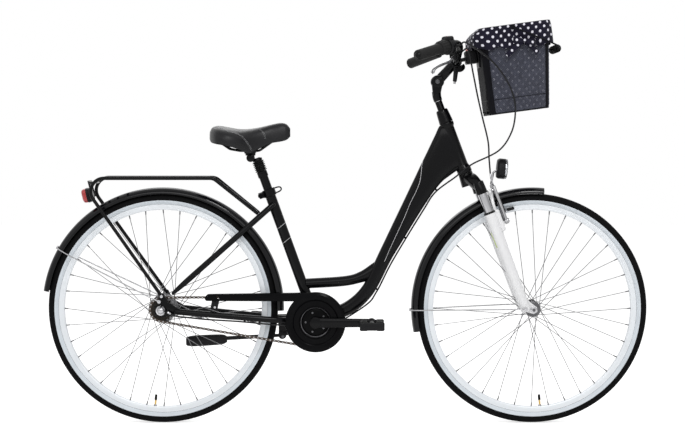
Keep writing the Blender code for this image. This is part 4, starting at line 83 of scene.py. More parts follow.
UP = Vector((0, 0, 1))
LEFT = Vector((0, 1, 0))
FORWARD = Vector((1, 0, 0))

# Camera at the photograph's place
PHOTO_WIDTH = 685
FOCAL_PIXELS = 1802
CAMERA_PLACE = Vector((-0.0083, -5.5, 0.8815))
CAMERA_TILT = radians(2.71)

# Wheels and drive
TYRE_RADIUS = 0.351
BAND_INNER = 0.3185
BAND_OUTER = 0.3305
RIM_INNER = 0.3017
RIM_HALF_WIDTH = 0.0122
SPOKES_PER_FLANGE = 18
SPOKE_LEAD = radians(60)
WHEELBASE = 1.128
CHAIN_PITCH = 0.0127
CHAIN_LINKS = 102
CHAINRING_TEETH = 38
SPROCKET_TEETH = 18
CHAIN_LINE = 0.044
BRACKET_DROP = 0.0385
CRANK_LENGTH = 0.17
CRANK_INNER = 0.0625
CRANK_THICKNESS = 0.013
PEDAL_LENGTH = 0.096
PEDAL_DEPTH = 0.074
PEDAL_HEIGHT = 0.028

# Frame
SEAT_LEAN = radians(19.85)
SEAT_TUBE_LENGTH = 0.4245
SEAT_TUBE_RADIUS = 0.0159
CHAINSTAY_RADIUS = 0.0095
SEATSTAY_RADIUS = 0.0088
STEER_LEAN = radians(20.7)
FORK_OFFSET = 0.0457
FORK_LENGTH = 0.46
HEAD_TUBE_LENGTH = 0.163
DROPOUT_INNER = 0.0655
DROPOUT_THICKNESS = 0.006
GUARD_RADIUS = 0.3695
GUARD_EDGE = 0.354
GUARD_HALF = 0.025
REAR_GUARD = (radians(-1), radians(171.5))
FRONT_GUARD = (radians(84.5), radians(191.4))
RACK_HEIGHT = 0.75
RACK_HOLD = 0.054
RACK_HALF = 0.06
RACK_BACK = -0.203
RACK_FRONT = 0.158
RACK_TUBE_RADIUS = 0.0055

# Fork, stem and handlebar
LEG_SPACING = 0.065
LEG_OFFSET = 0.0229
LEG_TOP = 0.3217
CROWN_THROAT = 0.4205
CROWN_BOTTOM = 0.386
CROWN_TOP = 0.424
HUB_HALF = 0.05
BOSS_HEIGHT = 0.281
BOSS_SPACING = 0.04
STEM_HEIGHT = 0.7495
STEM_OFFSET = 0.0181
STEM_LENGTH = 0.0806
STEM_RISE = radians(47.8)
BAR_RADIUS = 0.0111
CLAMP_BORE = 0.0128
CABLE_RADIUS = 0.0025
BAR_SHOULDER = Vector((0.0095, 0.13, 0.0554))
BAR_END = Vector((-0.124, 0.292, 0.008))
GRIP_RADIUS = 0.0163
GRIP_LENGTH = 0.1
LEFT_GRIP_LENGTH = 0.135
TWIST_LENGTH = 0.035
SHIFTER_LENGTH = 0.024
LEVER_START = GRIP_LENGTH + TWIST_LENGTH + SHIFTER_LENGTH + 0.0009
LEVER_CLAMP = 0.012
LEVER_DROP = 0.038

# Basket
BASKET_CORNER = Vector((0.0946, 0.0, -0.1639))
BASKET_TILT = radians(7.5)
BASKET_HEIGHT = 0.258
BASKET_DEPTHS = (0.1815, 0.211)
BASKET_HALVES = (0.14, 0.153)
BASKET_ROUND = 0.03
BACK_PLATE_HEIGHT = 0.183
HANDLE_SIDE = 0.1715

# Seat
POST_RADIUS = 0.0136
POST_BOTTOM = 0.25
POST_TOP = 0.486
BELLOWS_TOP = 0.5195
PIVOT_HEIGHT = 0.536
SETBACK = 0.017

RING_RADIUS = CHAIN_PITCH / (2 * sin(pi / CHAINRING_TEETH))
COG_RADIUS = CHAIN_PITCH / (2 * sin(pi / SPROCKET_TEETH))


def turned_to(axis):
    """Turn that brings straight up to an axis."""
    return UP.rotation_difference(axis).to_matrix().to_4x4()


def with_axes(first, second, third):
    """Turn whose own axes lie along three directions."""
    return Matrix((first, second, third)).transposed().to_4x4()


def stay_length():
    """Distance between the rear axle and the cranks at which the chain is just taut."""
    low, high = 0.2, 1.0
    for _ in range(60):
        middle = (low + high) / 2
        lean = asin((RING_RADIUS - COG_RADIUS) / middle)
        links = (2 * middle * cos(lean) / CHAIN_PITCH + CHAINRING_TEETH * (0.5 + lean / pi) + SPROCKET_TEETH
            * (0.5 - lean / pi))
        low, high = (middle, high) if links < CHAIN_LINKS else (low, middle)
    return low


STAY = stay_length()
REAR = Vector((-(WHEELBASE + TYRE_RADIUS + GUARD_RADIUS * cos(REAR_GUARD[1])) / 2, 0, TYRE_RADIUS))
FRONT = REAR + FORWARD * WHEELBASE
BRACKET = REAR + Vector((sqrt(STAY ** 2 - BRACKET_DROP ** 2), 0, -BRACKET_DROP))
SEAT_UP = Vector((-sin(SEAT_LEAN), 0, cos(SEAT_LEAN)))
SEAT_FORWARD = Vector((cos(SEAT_LEAN), 0, sin(SEAT_LEAN)))
STEER_UP = Vector((-sin(STEER_LEAN), 0, cos(STEER_LEAN)))
STEER_FORWARD = Vector((cos(STEER_LEAN), 0, sin(STEER_LEAN)))
STEER_FOOT = FRONT - STEER_FORWARD * FORK_OFFSET
STEER_TURN = turned_to(STEER_UP)
SEAT_TURN = turned_to(SEAT_UP)
BASKET_TURN = Matrix.Rotation(-BASKET_TILT, 4, "Y")
KNUCKLE = BRACKET + Vector((-0.104, 0.049, -0.05))


def on_seat(height, ahead=0.0, left=0.0):
    return BRACKET + SEAT_UP * height + SEAT_FORWARD * ahead + LEFT * left


def on_steering(height, ahead=0.0, left=0.0):
    return STEER_FOOT + STEER_UP * height + STEER_FORWARD * ahead + LEFT * left


STEM_PIVOT = on_steering(STEM_HEIGHT, STEM_OFFSET)
BAR_CENTRE = STEM_PIVOT + Vector((cos(STEM_RISE), 0, sin(STEM_RISE))) * STEM_LENGTH
SADDLE_PIVOT = on_seat(PIVOT_HEIGHT, -SETBACK)


def in_basket(ahead, left, height):
    return BAR_CENTRE + BASKET_CORNER + BASKET_TURN @ Vector((ahead, left, height))


def grip_axes(side):
    """Directions along a grip to its end, down, and in front of it."""
    shoulder = Vector((BAR_SHOULDER.x, side * BAR_SHOULDER.y, BAR_SHOULDER.z))
    end = Vector((BAR_END.x, side * BAR_END.y, BAR_END.z))
    along = (end - shoulder).normalized()
    down = (-UP - along * -UP.dot(along)).normalized()
    return along, down, down.cross(along) * side


def on_grip(side, inboard, drop=0.0, ahead=0.0):
    along, down, front = grip_axes(side)
    end = BAR_CENTRE + Vector((BAR_END.x, side * BAR_END.y, BAR_END.z))
    return end - along * inboard + down * drop + front * ahead


def mirrored(point):
    return Vector((point.x, -point.y, point.z))


# Finishes

def given(node, values):
    """Node with its inputs' values set by name."""
    for name, value in values.items():
        node.inputs[name].default_value = value
    return node


def finish(name, colour, roughness, metallic=0.0, grain=(900, 0.04), mottle=(14, 0.1), coat=0.0, sheen=0.0,
        wear=0.06, shine=0.5):
    """Principled material with fine grain, a slow change of tone and uneven roughness."""
    material = bpy.data.materials.new(name)
    material.use_nodes = True
    nodes, links = material.node_tree.nodes, material.node_tree.links
    shader = given(nodes["Principled BSDF"], {"Metallic": metallic, "Coat Weight": coat,
        "Coat Roughness": 0.08, "Sheen Weight": sheen, "Specular IOR Level": shine})
    place = nodes.new("ShaderNodeTexCoord").outputs["Object"]
    slow = given(nodes.new("ShaderNodeTexNoise"), {"Scale": mottle[0], "Detail": 4})
    fine = given(nodes.new("ShaderNodeTexNoise"), {"Scale": grain[0], "Detail": 2})
    tones = nodes.new("ShaderNodeValToRGB")
    dark = [channel * (1 - mottle[1]) for channel in colour]
    light = [min(1.0, channel * (1 + mottle[1])) for channel in colour]
    for element, tone, stop in zip(tones.color_ramp.elements, (dark, light), (0.32, 0.68)):
        element.position = stop
        element.color = (*tone, 1)
    rough = {"To Min": max(0.02, roughness - wear), "To Max": min(1.0, roughness + wear)}
    uneven = given(nodes.new("ShaderNodeMapRange"), rough)
    bump = given(nodes.new("ShaderNodeBump"), {"Strength": grain[1], "Distance": 0.0006})
    for texture in (slow, fine):
        links.new(place, texture.inputs["Vector"])
    links.new(slow.outputs["Fac"], tones.inputs["Fac"])
    links.new(slow.outputs["Fac"], uneven.inputs["Value"])
    links.new(tones.outputs["Color"], shader.inputs["Base Color"])
    links.new(uneven.outputs["Result"], shader.inputs["Roughness"])
    links.new(fine.outputs["Fac"], bump.inputs["Height"])
    links.new(bump.outputs["Normal"], shader.inputs["Normal"])
    return material


FRAME_PAINT = finish("satin black paint", (0.003, 0.003, 0.0036), 0.17, grain=(1400, 0.02), wear=0.04,
    shine=0.12)
GUARD_PAINT = finish("gloss black enamel", (0.004, 0.004, 0.005), 0.1, grain=(300, 0.015), wear=0.03,
    shine=0.2)
PLASTIC = finish("moulded black plastic", (0.006, 0.006, 0.007), 0.44, grain=(2600, 0.16), shine=0.16)
GLOSS_PLASTIC = finish("polished black plastic", (0.0025, 0.0025, 0.003), 0.2, grain=(700, 0.03), wear=0.04,
    shine=0.05)
TYRE_RUBBER = finish("tyre rubber", (0.005, 0.005, 0.0054), 0.8, grain=(1800, 0.3), mottle=(30, 0.18),
    shine=0.06)
PALE_BAND = finish("pale sidewall band", (0.66, 0.71, 0.755), 0.45, grain=(1600, 0.08), mottle=(26, 0.03))
GRIP_RUBBER = finish("soft grip rubber", (0.009, 0.009, 0.009), 0.62, grain=(2200, 0.22), sheen=0.02,
    shine=0.17)
CABLE_SKIN = finish("cable housing", (0.005, 0.005, 0.006), 0.34, grain=(1500, 0.05), shine=0.2)
RIM_METAL = finish("silver anodised rim", (0.76, 0.79, 0.82), 0.42, 0.25, grain=(700, 0.05),
    mottle=(9, 0.02))
SILVER = finish("satin silver alloy", (0.46, 0.46, 0.47), 0.3, 1.0, grain=(1300, 0.06), mottle=(40, 0.06))
CHROME = finish("chrome plate", (0.6, 0.6, 0.62), 0.09, 1.0, grain=(250, 0.01), mottle=(20, 0.03), wear=0.03)
SPOKE_STEEL = finish("spoke steel", (0.17, 0.17, 0.175), 0.32, 1.0, grain=(900, 0.02), mottle=(60, 0.08))
DARK_STEEL = finish("dark plated steel", (0.1, 0.1, 0.105), 0.36, 1.0, grain=(1200, 0.08), mottle=(70, 0.2))
CHAIN_STEEL = finish("oiled chain steel", (0.075, 0.06, 0.05), 0.38, 1.0, grain=(1500, 0.08),
    mottle=(120, 0.3))
COG_STEEL = finish("blackened sprocket steel", (0.02, 0.018, 0.016), 0.4, 1.0, grain=(1500, 0.08),
    mottle=(90, 0.3))
BRASS = finish("valve brass", (0.62, 0.42, 0.15), 0.3, 1.0, grain=(900, 0.03), mottle=(90, 0.1))
WHITE_PAINT = finish("gloss white paint", (0.82, 0.82, 0.83), 0.2, grain=(500, 0.015), mottle=(8, 0.015),
    coat=0.3)
LIME_PAINT = finish("lime stripe", (0.42, 0.55, 0.03), 0.3, grain=(500, 0.02), mottle=(30, 0.05), coat=0.3)
SILVER_LINE = finish("silver pinstripe", (0.46, 0.46, 0.47), 0.32, 0.4, grain=(900, 0.02), mottle=(50, 0.06))
# Net wires lifted from the coated wire's near-black to blue-grey: painted sheen of light off the fine wires.
NET_SHEEN_COAT = finish("net wire with painted sheen", (0.072, 0.076, 0.102), 0.42, grain=(1500, 0.05), mottle=(60, 0.15),
    shine=0.2)
WIRE_COAT = finish("coated basket wire", (0.005, 0.005, 0.007), 0.6, grain=(1500, 0.05), mottle=(60, 0.2),
    shine=0.06)
RED_PLASTIC = finish("red plastic", (0.42, 0.01, 0.012), 0.22, grain=(900, 0.03), mottle=(40, 0.08),
    coat=0.5)
BELLOWS_RUBBER = finish("bellows rubber", (0.006, 0.006, 0.006), 0.55, grain=(1500, 0.12), mottle=(50, 0.15),
    shine=0.2)
FOAM = finish("handle foam", (0.007, 0.007, 0.007), 0.88, grain=(1700, 0.6), mottle=(60, 0.2), shine=0.14)
THREAD = finish("pale stitching thread", (0.4, 0.4, 0.41), 0.75, grain=(3500, 0.3), mottle=(200, 0.1),
    sheen=0.2)


def polished(material, level):
    """Paint a reflection into a polished metal's colour: it darkens and lightens in bands between face-on
    and slanted, as painted reflection of a dim room.
    """
    nodes, links = material.node_tree.nodes, material.node_tree.links
    slant = given(nodes.new("ShaderNodeLayerWeight"), {"Blend": 0.5})
    bands = nodes.new("ShaderNodeValToRGB")
    ramp = bands.color_ramp.elements
    ramp[0].color = (0.8, 0.8, 0.8, 1)
    ramp[1].color = (level * 0.9, level * 0.9, level * 0.9, 1)
    for stop, tone in ((0.32, level), (0.62, 1.0)):
        step = ramp.new(stop)
        step.color = (tone, tone, tone, 1)
    painted_reflection = nodes.new("ShaderNodeMix")
    painted_reflection.data_type = "RGBA"
    painted_reflection.blend_type = "MULTIPLY"
    painted_reflection.inputs["Factor"].default_value = 1.0
    links.new(slant.outputs["Facing"], bands.inputs["Fac"])
    links.new(nodes["Color Ramp"].outputs["Color"], painted_reflection.inputs["A"])
    links.new(bands.outputs["Color"], painted_reflection.inputs["B"])
    links.new(painted_reflection.outputs["Result"], nodes["Principled BSDF"].inputs["Base Color"])


# Painted reflection: chrome and satin silver take dark and light bands in their colour by how slanted they
# are to the view.
polished(CHROME, 0.3)
polished(SILVER, 0.55)


def vinyl():
    """Soft vinyl with a fine leather grain."""
    material = finish("saddle vinyl", (0.0048, 0.0048, 0.006), 0.4, grain=(620, 0.1), mottle=(22, 0.12),
        sheen=0.03, shine=0.24)
    nodes, links = material.node_tree.nodes, material.node_tree.links
    cells = nodes.new("ShaderNodeTexVoronoi")
    cells.feature = "DISTANCE_TO_EDGE"
    cells.inputs["Scale"].default_value = 820
    crease = given(nodes.new("ShaderNodeBump"), {"Strength": 0.22, "Distance": 0.0004})
    place = nodes["Texture Coordinate"].outputs["Object"]
    links.new(place, cells.inputs["Vector"])
    links.new(cells.outputs["Distance"], crease.inputs["Height"])
    links.new(nodes["Bump"].outputs["Normal"], crease.inputs["Normal"])
    links.new(crease.outputs["Normal"], nodes["Principled BSDF"].inputs["Normal"])
    return material


CLOTH_DOTS = (0.0235, 0.0255)


def dotted_cloth():
    """Dark woven cotton with staggered pale dots, laid out on the piece's own UV map in metres."""
    across, down = CLOTH_DOTS
    material = finish("dotted cotton", (0.008, 0.007, 0.017), 0.86, grain=(1500, 0.25), mottle=(18, 0.2),
        sheen=0.08, shine=0.15)
    nodes, links = material.node_tree.nodes, material.node_tree.links
    layout = nodes.new("ShaderNodeUVMap")
    layout.uv_map = "Cloth"
    slant = {"Scale": (sqrt(2) / across, sqrt(2) / down, 1), "Rotation": (0, 0, radians(45))}
    lattice = given(nodes.new("ShaderNodeMapping"), slant)
    dots = nodes.new("ShaderNodeTexVoronoi")
    dots.voronoi_dimensions = "2D"
    given(dots, {"Scale": 1, "Randomness": 0})
    fade = {"From Min": 0.195, "From Max": 0.225, "To Min": 1, "To Max": 0}
    edge = given(nodes.new("ShaderNodeMapRange"), fade)
    colours = nodes.new("ShaderNodeMix")
    colours.data_type = "RGBA"
    colours.inputs["B"].default_value = (0.74, 0.73, 0.8, 1)
    weave = given(nodes.new("ShaderNodeTexChecker"), {"Scale": 1})
    threads = given(nodes.new("ShaderNodeMapping"), {"Scale": (1 / 0.0006, 1 / 0.0006, 1)})
    cross = given(nodes.new("ShaderNodeBump"), {"Strength": 0.2, "Distance": 0.0002})
    links.new(layout.outputs["UV"], lattice.inputs["Vector"])
    links.new(lattice.outputs["Vector"], dots.inputs["Vector"])
    links.new(dots.outputs["Distance"], edge.inputs["Value"])
    links.new(edge.outputs["Result"], colours.inputs["Factor"])
    links.new(nodes["Color Ramp"].outputs["Color"], colours.inputs["A"])
    links.new(colours.outputs["Result"], nodes["Principled BSDF"].inputs["Base Color"])
    links.new(layout.outputs["UV"], threads.inputs["Vector"])
    links.new(threads.outputs["Vector"], weave.inputs["Vector"])
    links.new(weave.outputs["Fac"], cross.inputs["Height"])
    links.new(nodes["Bump"].outputs["Normal"], cross.inputs["Normal"])
    links.new(cross.outputs["Normal"], nodes["Principled BSDF"].inputs["Normal"])
    return material


def clear_lens():
    """Clear ribbed plastic."""
    material = finish("clear lens", (0.86, 0.88, 0.9), 0.06, grain=(300, 0.02), mottle=(30, 0.02), wear=0.02)
    given(material.node_tree.nodes["Principled BSDF"], {"Transmission Weight": 0.85, "IOR": 1.46})
    return material


VINYL = vinyl()
CLOTH = dotted_cloth()
LENS = clear_lens()


# Shapes

def shown(name, data):
    """Object of a mesh, curve, lamp or camera, linked to the scene."""
    thing = bpy.data.objects.new(name, data)
    bpy.context.scene.collection.objects.link(thing)
    return thing


def rounded_off(shape, edges, ease, segments=2, clamp=True):
    bmesh.ops.bevel(shape, geom=edges, offset=ease, segments=segments, profile=0.5, affect="EDGES",
        material=-1, clamp_overlap=clamp)


def paint(cone, look):
    """Give the faces of a cone that was just added one of its piece's finishes."""
    for face in {face for vertex in cone["verts"] for face in vertex.link_faces}:
        face.material_index = look


def next_row(shape, row, edges):
    """Row of vertices extruded from the last one."""
    fresh = {item for item in bmesh.ops.extrude_edge_only(shape, edges=edges)["geom"]
        if isinstance(item, bmesh.types.BMVert)}
    return [next(edge.other_vert(old) for edge in old.link_edges if edge.other_vert(old) in fresh)
        for old in row]


def band_profile(bore, shoulder, outer, half, flat):
    """Section of a ring with slanted edges, as wide as twice its half, and flat over its middle."""
    return [(bore, half), (shoulder, half), (outer, flat), (outer, -flat), (shoulder, -half), (bore, -half)]


def made(name, shape, looks, ease=0.0, crease=36):
    """Object of a finished bmesh, smooth but for its sharp edges, which may be eased by a bevel."""
    if ease:
        sharp = [edge for edge in shape.edges if len(edge.link_faces) == 2
            and edge.calc_face_angle(0) > radians(42)]
        rounded_off(shape, sharp, ease)
    mesh = bpy.data.meshes.new(name)
    shape.to_mesh(mesh)
    shape.free()
    for look in looks if isinstance(looks, (list, tuple)) else [looks]:
        mesh.materials.append(look)
    mesh.shade_smooth()
    mesh.set_sharp_from_angle(angle=radians(crease))
    return shown(name, mesh)


def joined(name, *things):
    """One object of several, each with its own finishes."""
    shape = bmesh.new()
    looks = []
    for thing in things:
        start = len(shape.faces)
        shape.from_mesh(thing.data)
        shape.faces.ensure_lookup_table()
        slots = []
        for look in thing.data.materials:
            if look not in looks:
                looks.append(look)
            slots.append(looks.index(look))
        for face in shape.faces[start:]:
            face.material_index = slots[face.material_index]
        bpy.data.objects.remove(thing, do_unlink=True)
    mesh = bpy.data.meshes.new(name)
    shape.to_mesh(mesh)
    shape.free()
    for look in looks:
        mesh.materials.append(look)
    return shown(name, mesh)


def fitted(thing, body, slot, *nodes):
    """Let a piece move with a body, in place of its plain solids; its slot is not used."""
    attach(thing, body)
    if nodes:
        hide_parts(*nodes)
    return thing


def grown(rings, closed=False, marks=None):
    """Surface over a row of rings of equal counts, extruded from one to the next."""
    shape = bmesh.new()
    tags = [shape.verts.layers.float.new(key) for key in ("along", "across")] if marks else []

    def settle(row, ring, number):
        for column, (vertex, point) in enumerate(zip(row, ring)):
            vertex.co = point
            for tag, value in zip(tags, marks(number, column) if marks else ()):
                vertex[tag] = value

    row = [shape.verts.new(point) for point in rings[0]]
    settle(row, rings[0], 0)
    edges = [shape.edges.new(pair) for pair in zip(row, row[1:] + row[:1])]
    first = edges
    if not closed:
        bmesh.ops.contextual_create(shape, geom=edges)
    for number, ring in enumerate(rings[1:], 1):
        row = next_row(shape, row, edges)
        settle(row, ring, number)
        edges = [shape.edges.get(pair) for pair in zip(row, row[1:] + row[:1])]
    if closed:
        bmesh.ops.bridge_loops(shape, edges=first + edges)
    else:
        bmesh.ops.contextual_create(shape, geom=edges)
    bmesh.ops.recalc_face_normals(shape, faces=shape.faces)
    return shape


def skin(name, rings, looks, closed=False, ease=0.0, crease=36):
    return made(name, grown(rings, closed), looks, ease, crease)


def frames_along(points, closed=False):
    """Direction of a path at each point and two axes square to it, carried along without a twist."""
    count = len(points)
    ways = []
    for index in range(count):
        before = points[index - 1] if closed or index else points[0]
        after = points[(index + 1) % count] if closed or index < count - 1 else points[-1]
        ways.append((after - before).normalized())
    side = ways[0].orthogonal().normalized()
    frames = []
    for index, way in enumerate(ways):
        if index:
            side = ways[index - 1].rotation_difference(way) @ side
            side = (side - way * side.dot(way)).normalized()
        frames.append((way, side, way.cross(side)))
    return frames


def tube(name, points, radius, look, sides=16, widths=None, closed=False):
    """Round tube with rounded ends."""
    rings = []
    frames = frames_along(points, closed)

    def hoop(point, frame, reach):
        return [point + (frame[1] * cos(2 * pi * step / sides) + frame[2] * sin(2 * pi * step / sides))
            * reach for step in range(sides)]

    for index, (point, frame) in enumerate(zip(points, frames)):
        rings.append(hoop(point, frame, radius * (widths[index] if widths else 1)))
    if not closed:
        for share, shrink in ((0.35, 0.94), (0.75, 0.66), (0.95, 0.3)):
            near, far = radius * (widths[0] if widths else 1), radius * (widths[-1] if widths else 1)
            rings.insert(0, hoop(points[0] - frames[0][0] * near * share, frames[0], near * shrink))
            rings.append(hoop(points[-1] + frames[-1][0] * far * share, frames[-1], far * shrink))
    return skin(name, rings, look, closed)


def turned(name, profile, centre, look, axis=LEFT, steps=64, pick=None, closed=True, start=0.0, sweep=2 * pi,
        crease=36):
    """Profile of (radius, along) points turned about an axis."""
    shape = bmesh.new()
    row = [shape.verts.new((radius, 0, along)) for radius, along in profile]
    edges = [shape.edges.new(pair) for pair in zip(row, row[1:])]
    if closed:
        edges.append(shape.edges.new((row[-1], row[0])))
    full = sweep > 6.28
    bmesh.ops.rotate(shape, verts=row, cent=(0, 0, 0), matrix=Matrix.Rotation(start, 3, "Z"))
    bmesh.ops.spin(shape, geom=row + edges, cent=(0, 0, 0), axis=(0, 0, 1), angle=sweep, steps=steps,
        use_merge=full)
    bmesh.ops.remove_doubles(shape, verts=shape.verts, dist=1e-6)
    if not full:
        bmesh.ops.holes_fill(shape, edges=[edge for edge in shape.edges if edge.is_boundary], sides=0)
    bmesh.ops.recalc_face_normals(shape, faces=shape.faces)
    if pick:
        for face in shape.faces:
            middle = face.calc_center_median()
            face.material_index = pick(hypot(middle.x, middle.y), middle.z)
    place = Matrix.Translation(centre) @ turned_to(axis)
    bmesh.ops.transform(shape, matrix=place, verts=shape.verts)
    return made(name, shape, look, crease=crease)


def rod(name, start, end, radius, look, end_radius=None, sides=32, ease=0.0006):
    """Straight round bar, or a taper, with eased ends."""
    along = end - start
    shape = bmesh.new()
    place = Matrix.Translation((start + end) / 2) @ turned_to(along)
    bmesh.ops.create_cone(shape, cap_ends=True, segments=sides, radius1=radius,
        radius2=radius if end_radius is None else end_radius, depth=along.length, matrix=place)
    if ease:
        rims = [edge for edge in shape.edges if any(len(face.verts) > 4 for face in edge.link_faces)]
        rounded_off(shape, rims, ease)
    return made(name, shape, look)


def block(name, centre, size, look, turn=None, ease=0.0015, segments=3):
    """Block of a size along its own axes, with its edges rounded."""
    shape = bmesh.new()
    bmesh.ops.create_cube(shape, size=1, matrix=Matrix.Diagonal((*size, 1)))
    if ease:
        rounded_off(shape, shape.edges[:], ease, segments, False)
    bmesh.ops.transform(shape, matrix=Matrix.Translation(centre) @ (turn or Matrix()), verts=shape.verts)
    return made(name, shape, look)


def plate(name, loops, thickness, centre, look, ease=0.0004, normal=LEFT):
    """Flat plate of loops of (along, up) points with eased edges, holes where a loop lies in another."""
    curve = bpy.data.curves.new(name, "CURVE")
    curve.dimensions = "2D"
    curve.fill_mode = "BOTH"
    curve.extrude = thickness / 2 - ease
    curve.bevel_depth = ease
    curve.bevel_resolution = 1
    curve.offset = -ease
    for loop in loops:
        line = curve.splines.new("POLY")
        line.points.add(len(loop) - 1)
        for spot, (along, height) in zip(line.points, loop):
            spot.co = (along, height, 0, 1)
        line.use_cyclic_u = True
    flat = shown(name, curve)
    bpy.context.view_layer.update()
    mesh = bpy.data.meshes.new_from_object(flat.evaluated_get(bpy.context.evaluated_depsgraph_get()))
    shape = bmesh.new()
    shape.from_mesh(mesh)
    bmesh.ops.remove_doubles(shape, verts=shape.verts, dist=1e-6)
    bmesh.ops.recalc_face_normals(shape, faces=shape.faces)
    for face in shape.faces:
        face.material_index = 0
    stand = Matrix.Rotation(atan2(normal.y, normal.x) - pi / 2, 4, "Z") @ Matrix.Rotation(pi / 2, 4, "X")
    bmesh.ops.transform(shape, matrix=Matrix.Translation(centre) @ stand, verts=shape.verts)
    bpy.data.objects.remove(flat, do_unlink=True)
    return made(name, shape, look, crease=30)


def rounded(corners, radii, step=radians(8)):
    """Points of a path of straight runs with round bends at its inner corners."""
    points = [corners[0]]
    for before, corner, after, radius in zip(corners, corners[1:], corners[2:], radii):
        into = (before - corner).normalized()
        away = (after - corner).normalized()
        half = into.angle(away) / 2
        start = corner + into * (radius / tan(half))
        middle = corner + (into + away).normalized() * (radius / sin(half))
        spoke = start - middle
        bend = pi - 2 * half
        axis = spoke.cross(corner + away * (radius / tan(half)) - middle).normalized()
        count = max(3, ceil(bend / step))
        for index in range(count + 1):
            points.append(middle + Quaternion(axis, bend * index / count) @ spoke)
    points.append(corners[-1])
    return points


def smooth(points, count):
    """Points of a smooth curve through the given points."""
    rows = [2 * points[0] - points[1], *points, 2 * points[-1] - points[-2]]
    out = []
    spans = len(points) - 1
    for index in range(count):
        place = index / (count - 1) * spans
        span = min(int(place), spans - 1)
        t = place - span
        a, b, c, d = rows[span:span + 4]
        out.append(0.5 * ((2 * b) + (c - a) * t + (2 * a - 5 * b + 4 * c - d) * t * t
            + (3 * b - a - 3 * c + d) * t ** 3))
    return out


def smooth_rows(rows, count):
    """Rows of equal numbers of values, made smooth and more numerous."""
    columns = [smooth([Vector((value, 0, 0)) for value in column], count) for column in zip(*rows)]
    return [[spot.x for spot in row] for row in zip(*columns)]


def arc(centre, radius, start, end, count):
    return [(centre[0] + radius * cos(start + (end - start) * index / count),
        centre[1] + radius * sin(start + (end - start) * index / count)) for index in range(count + 1)]


def oval(centre, first, second, sides, power=2.0):
    """Ring of points on a rounded oval spanned by two half axes."""
    ring = []
    for step in range(sides):
        angle = 2 * pi * (step + 0.5) / sides
        swell = 1 / (abs(cos(angle)) ** power + abs(sin(angle)) ** power) ** (1 / power)
        ring.append(centre + first * swell * cos(angle) + second * swell * sin(angle))
    return ring


# Camera, light and floor

def set_camera():
    bpy.context.scene.view_settings.view_transform = "Standard"
    lens = bpy.data.cameras.new("camera")
    lens.sensor_width = 36
    lens.lens = FOCAL_PIXELS * 36 / PHOTO_WIDTH
    lens.clip_end = 60
    eye = shown("camera", lens)
    eye.location = CAMERA_PLACE
    eye.rotation_euler = (pi / 2 - CAMERA_TILT, 0, 0)
    bpy.context.scene.camera = eye


def in_sight(nodes, links):
    """One for what the camera, a mirror or glass sees, and nothing for the light that falls on things."""
    path = nodes.new("ShaderNodeLightPath")
    seen = nodes.new("ShaderNodeMath")
    seen.operation = "MAXIMUM"
    through = nodes.new("ShaderNodeMath")
    through.operation = "MAXIMUM"
    links.new(path.outputs["Is Camera Ray"], seen.inputs[0])
    links.new(path.outputs["Is Glossy Ray"], seen.inputs[1])
    links.new(seen.outputs[0], through.inputs[0])
    links.new(path.outputs["Is Transmission Ray"], through.inputs[1])
    return through.outputs[0]


def set_world():
    world = bpy.data.worlds.new("studio")
    world.use_nodes = True
    bpy.context.scene.world = world
    nodes, links = world.node_tree.nodes, world.node_tree.links
    back = nodes["Background"]
    back.inputs["Color"].default_value = (1, 1, 1, 1)
    level = given(nodes.new("ShaderNodeMapRange"), {"To Min": 0.52, "To Max": 1.0})
    links.new(in_sight(nodes, links), level.inputs["Value"])
    links.new(level.outputs["Result"], back.inputs["Strength"])


def add_lamp(name, place, size, power, length=0.0):
    lamp = bpy.data.lights.new(name, "AREA")
    lamp.shape = "ELLIPSE" if length else "DISK"
    lamp.size = size
    lamp.size_y = length or size
    lamp.energy = power
    stand = shown(name, lamp)
    stand.location = place
    stand.rotation_euler = (Vector((0, 0, 0.6)) - place).to_track_quat("-Z", "Y").to_euler()


def add_floor():
    """Pale floor that shows only the shadow on white."""
    shape = bmesh.new()
    bmesh.ops.create_grid(shape, x_segments=1, y_segments=1, size=12)
    material = bpy.data.materials.new("floor")
    material.use_nodes = True
    nodes, links = material.node_tree.nodes, material.node_tree.links
    shader = given(nodes["Principled BSDF"], {"Base Color": (0.93, 0.93, 0.93, 1), "Roughness": 0.9,
        "Specular IOR Level": 0.0, "Emission Color": (1, 1, 1, 1)})
    glow = nodes.new("ShaderNodeMath")
    glow.operation = "MULTIPLY"
    glow.inputs[1].default_value = 0.58
    links.new(in_sight(nodes, links), glow.inputs[0])
    links.new(glow.outputs[0], shader.inputs["Emission Strength"])
    made("floor", shape, material)


set_camera()
set_world()
add_lamp("key", Vector((0.9, -2.6, 3.4)), 0.85, 38)
add_lamp("fill", Vector((-2.6, -1.6, 2.2)), 2.4, 7)
add_lamp("front", Vector((0.0, -3.4, 2.3)), 3.4, 28, 1.4)
add_lamp("back", Vector((-0.6, 2.6, 2.8)), 2.2, 24)
add_floor()


# Wheels

TREAD_BLOCKS = 147
TYRE_SIDE = ((0.0102, 0.316), (0.0122, 0.319), (0.0156, 0.3228), (0.0182, 0.3278), (0.0191, 0.3308),
    (0.0192, 0.3345), (0.0186, 0.3393), (0.017, 0.3438), (0.0142, 0.3474), (0.0098, 0.3494), (0.004, 0.3506),
    (0.0018, 0.351))


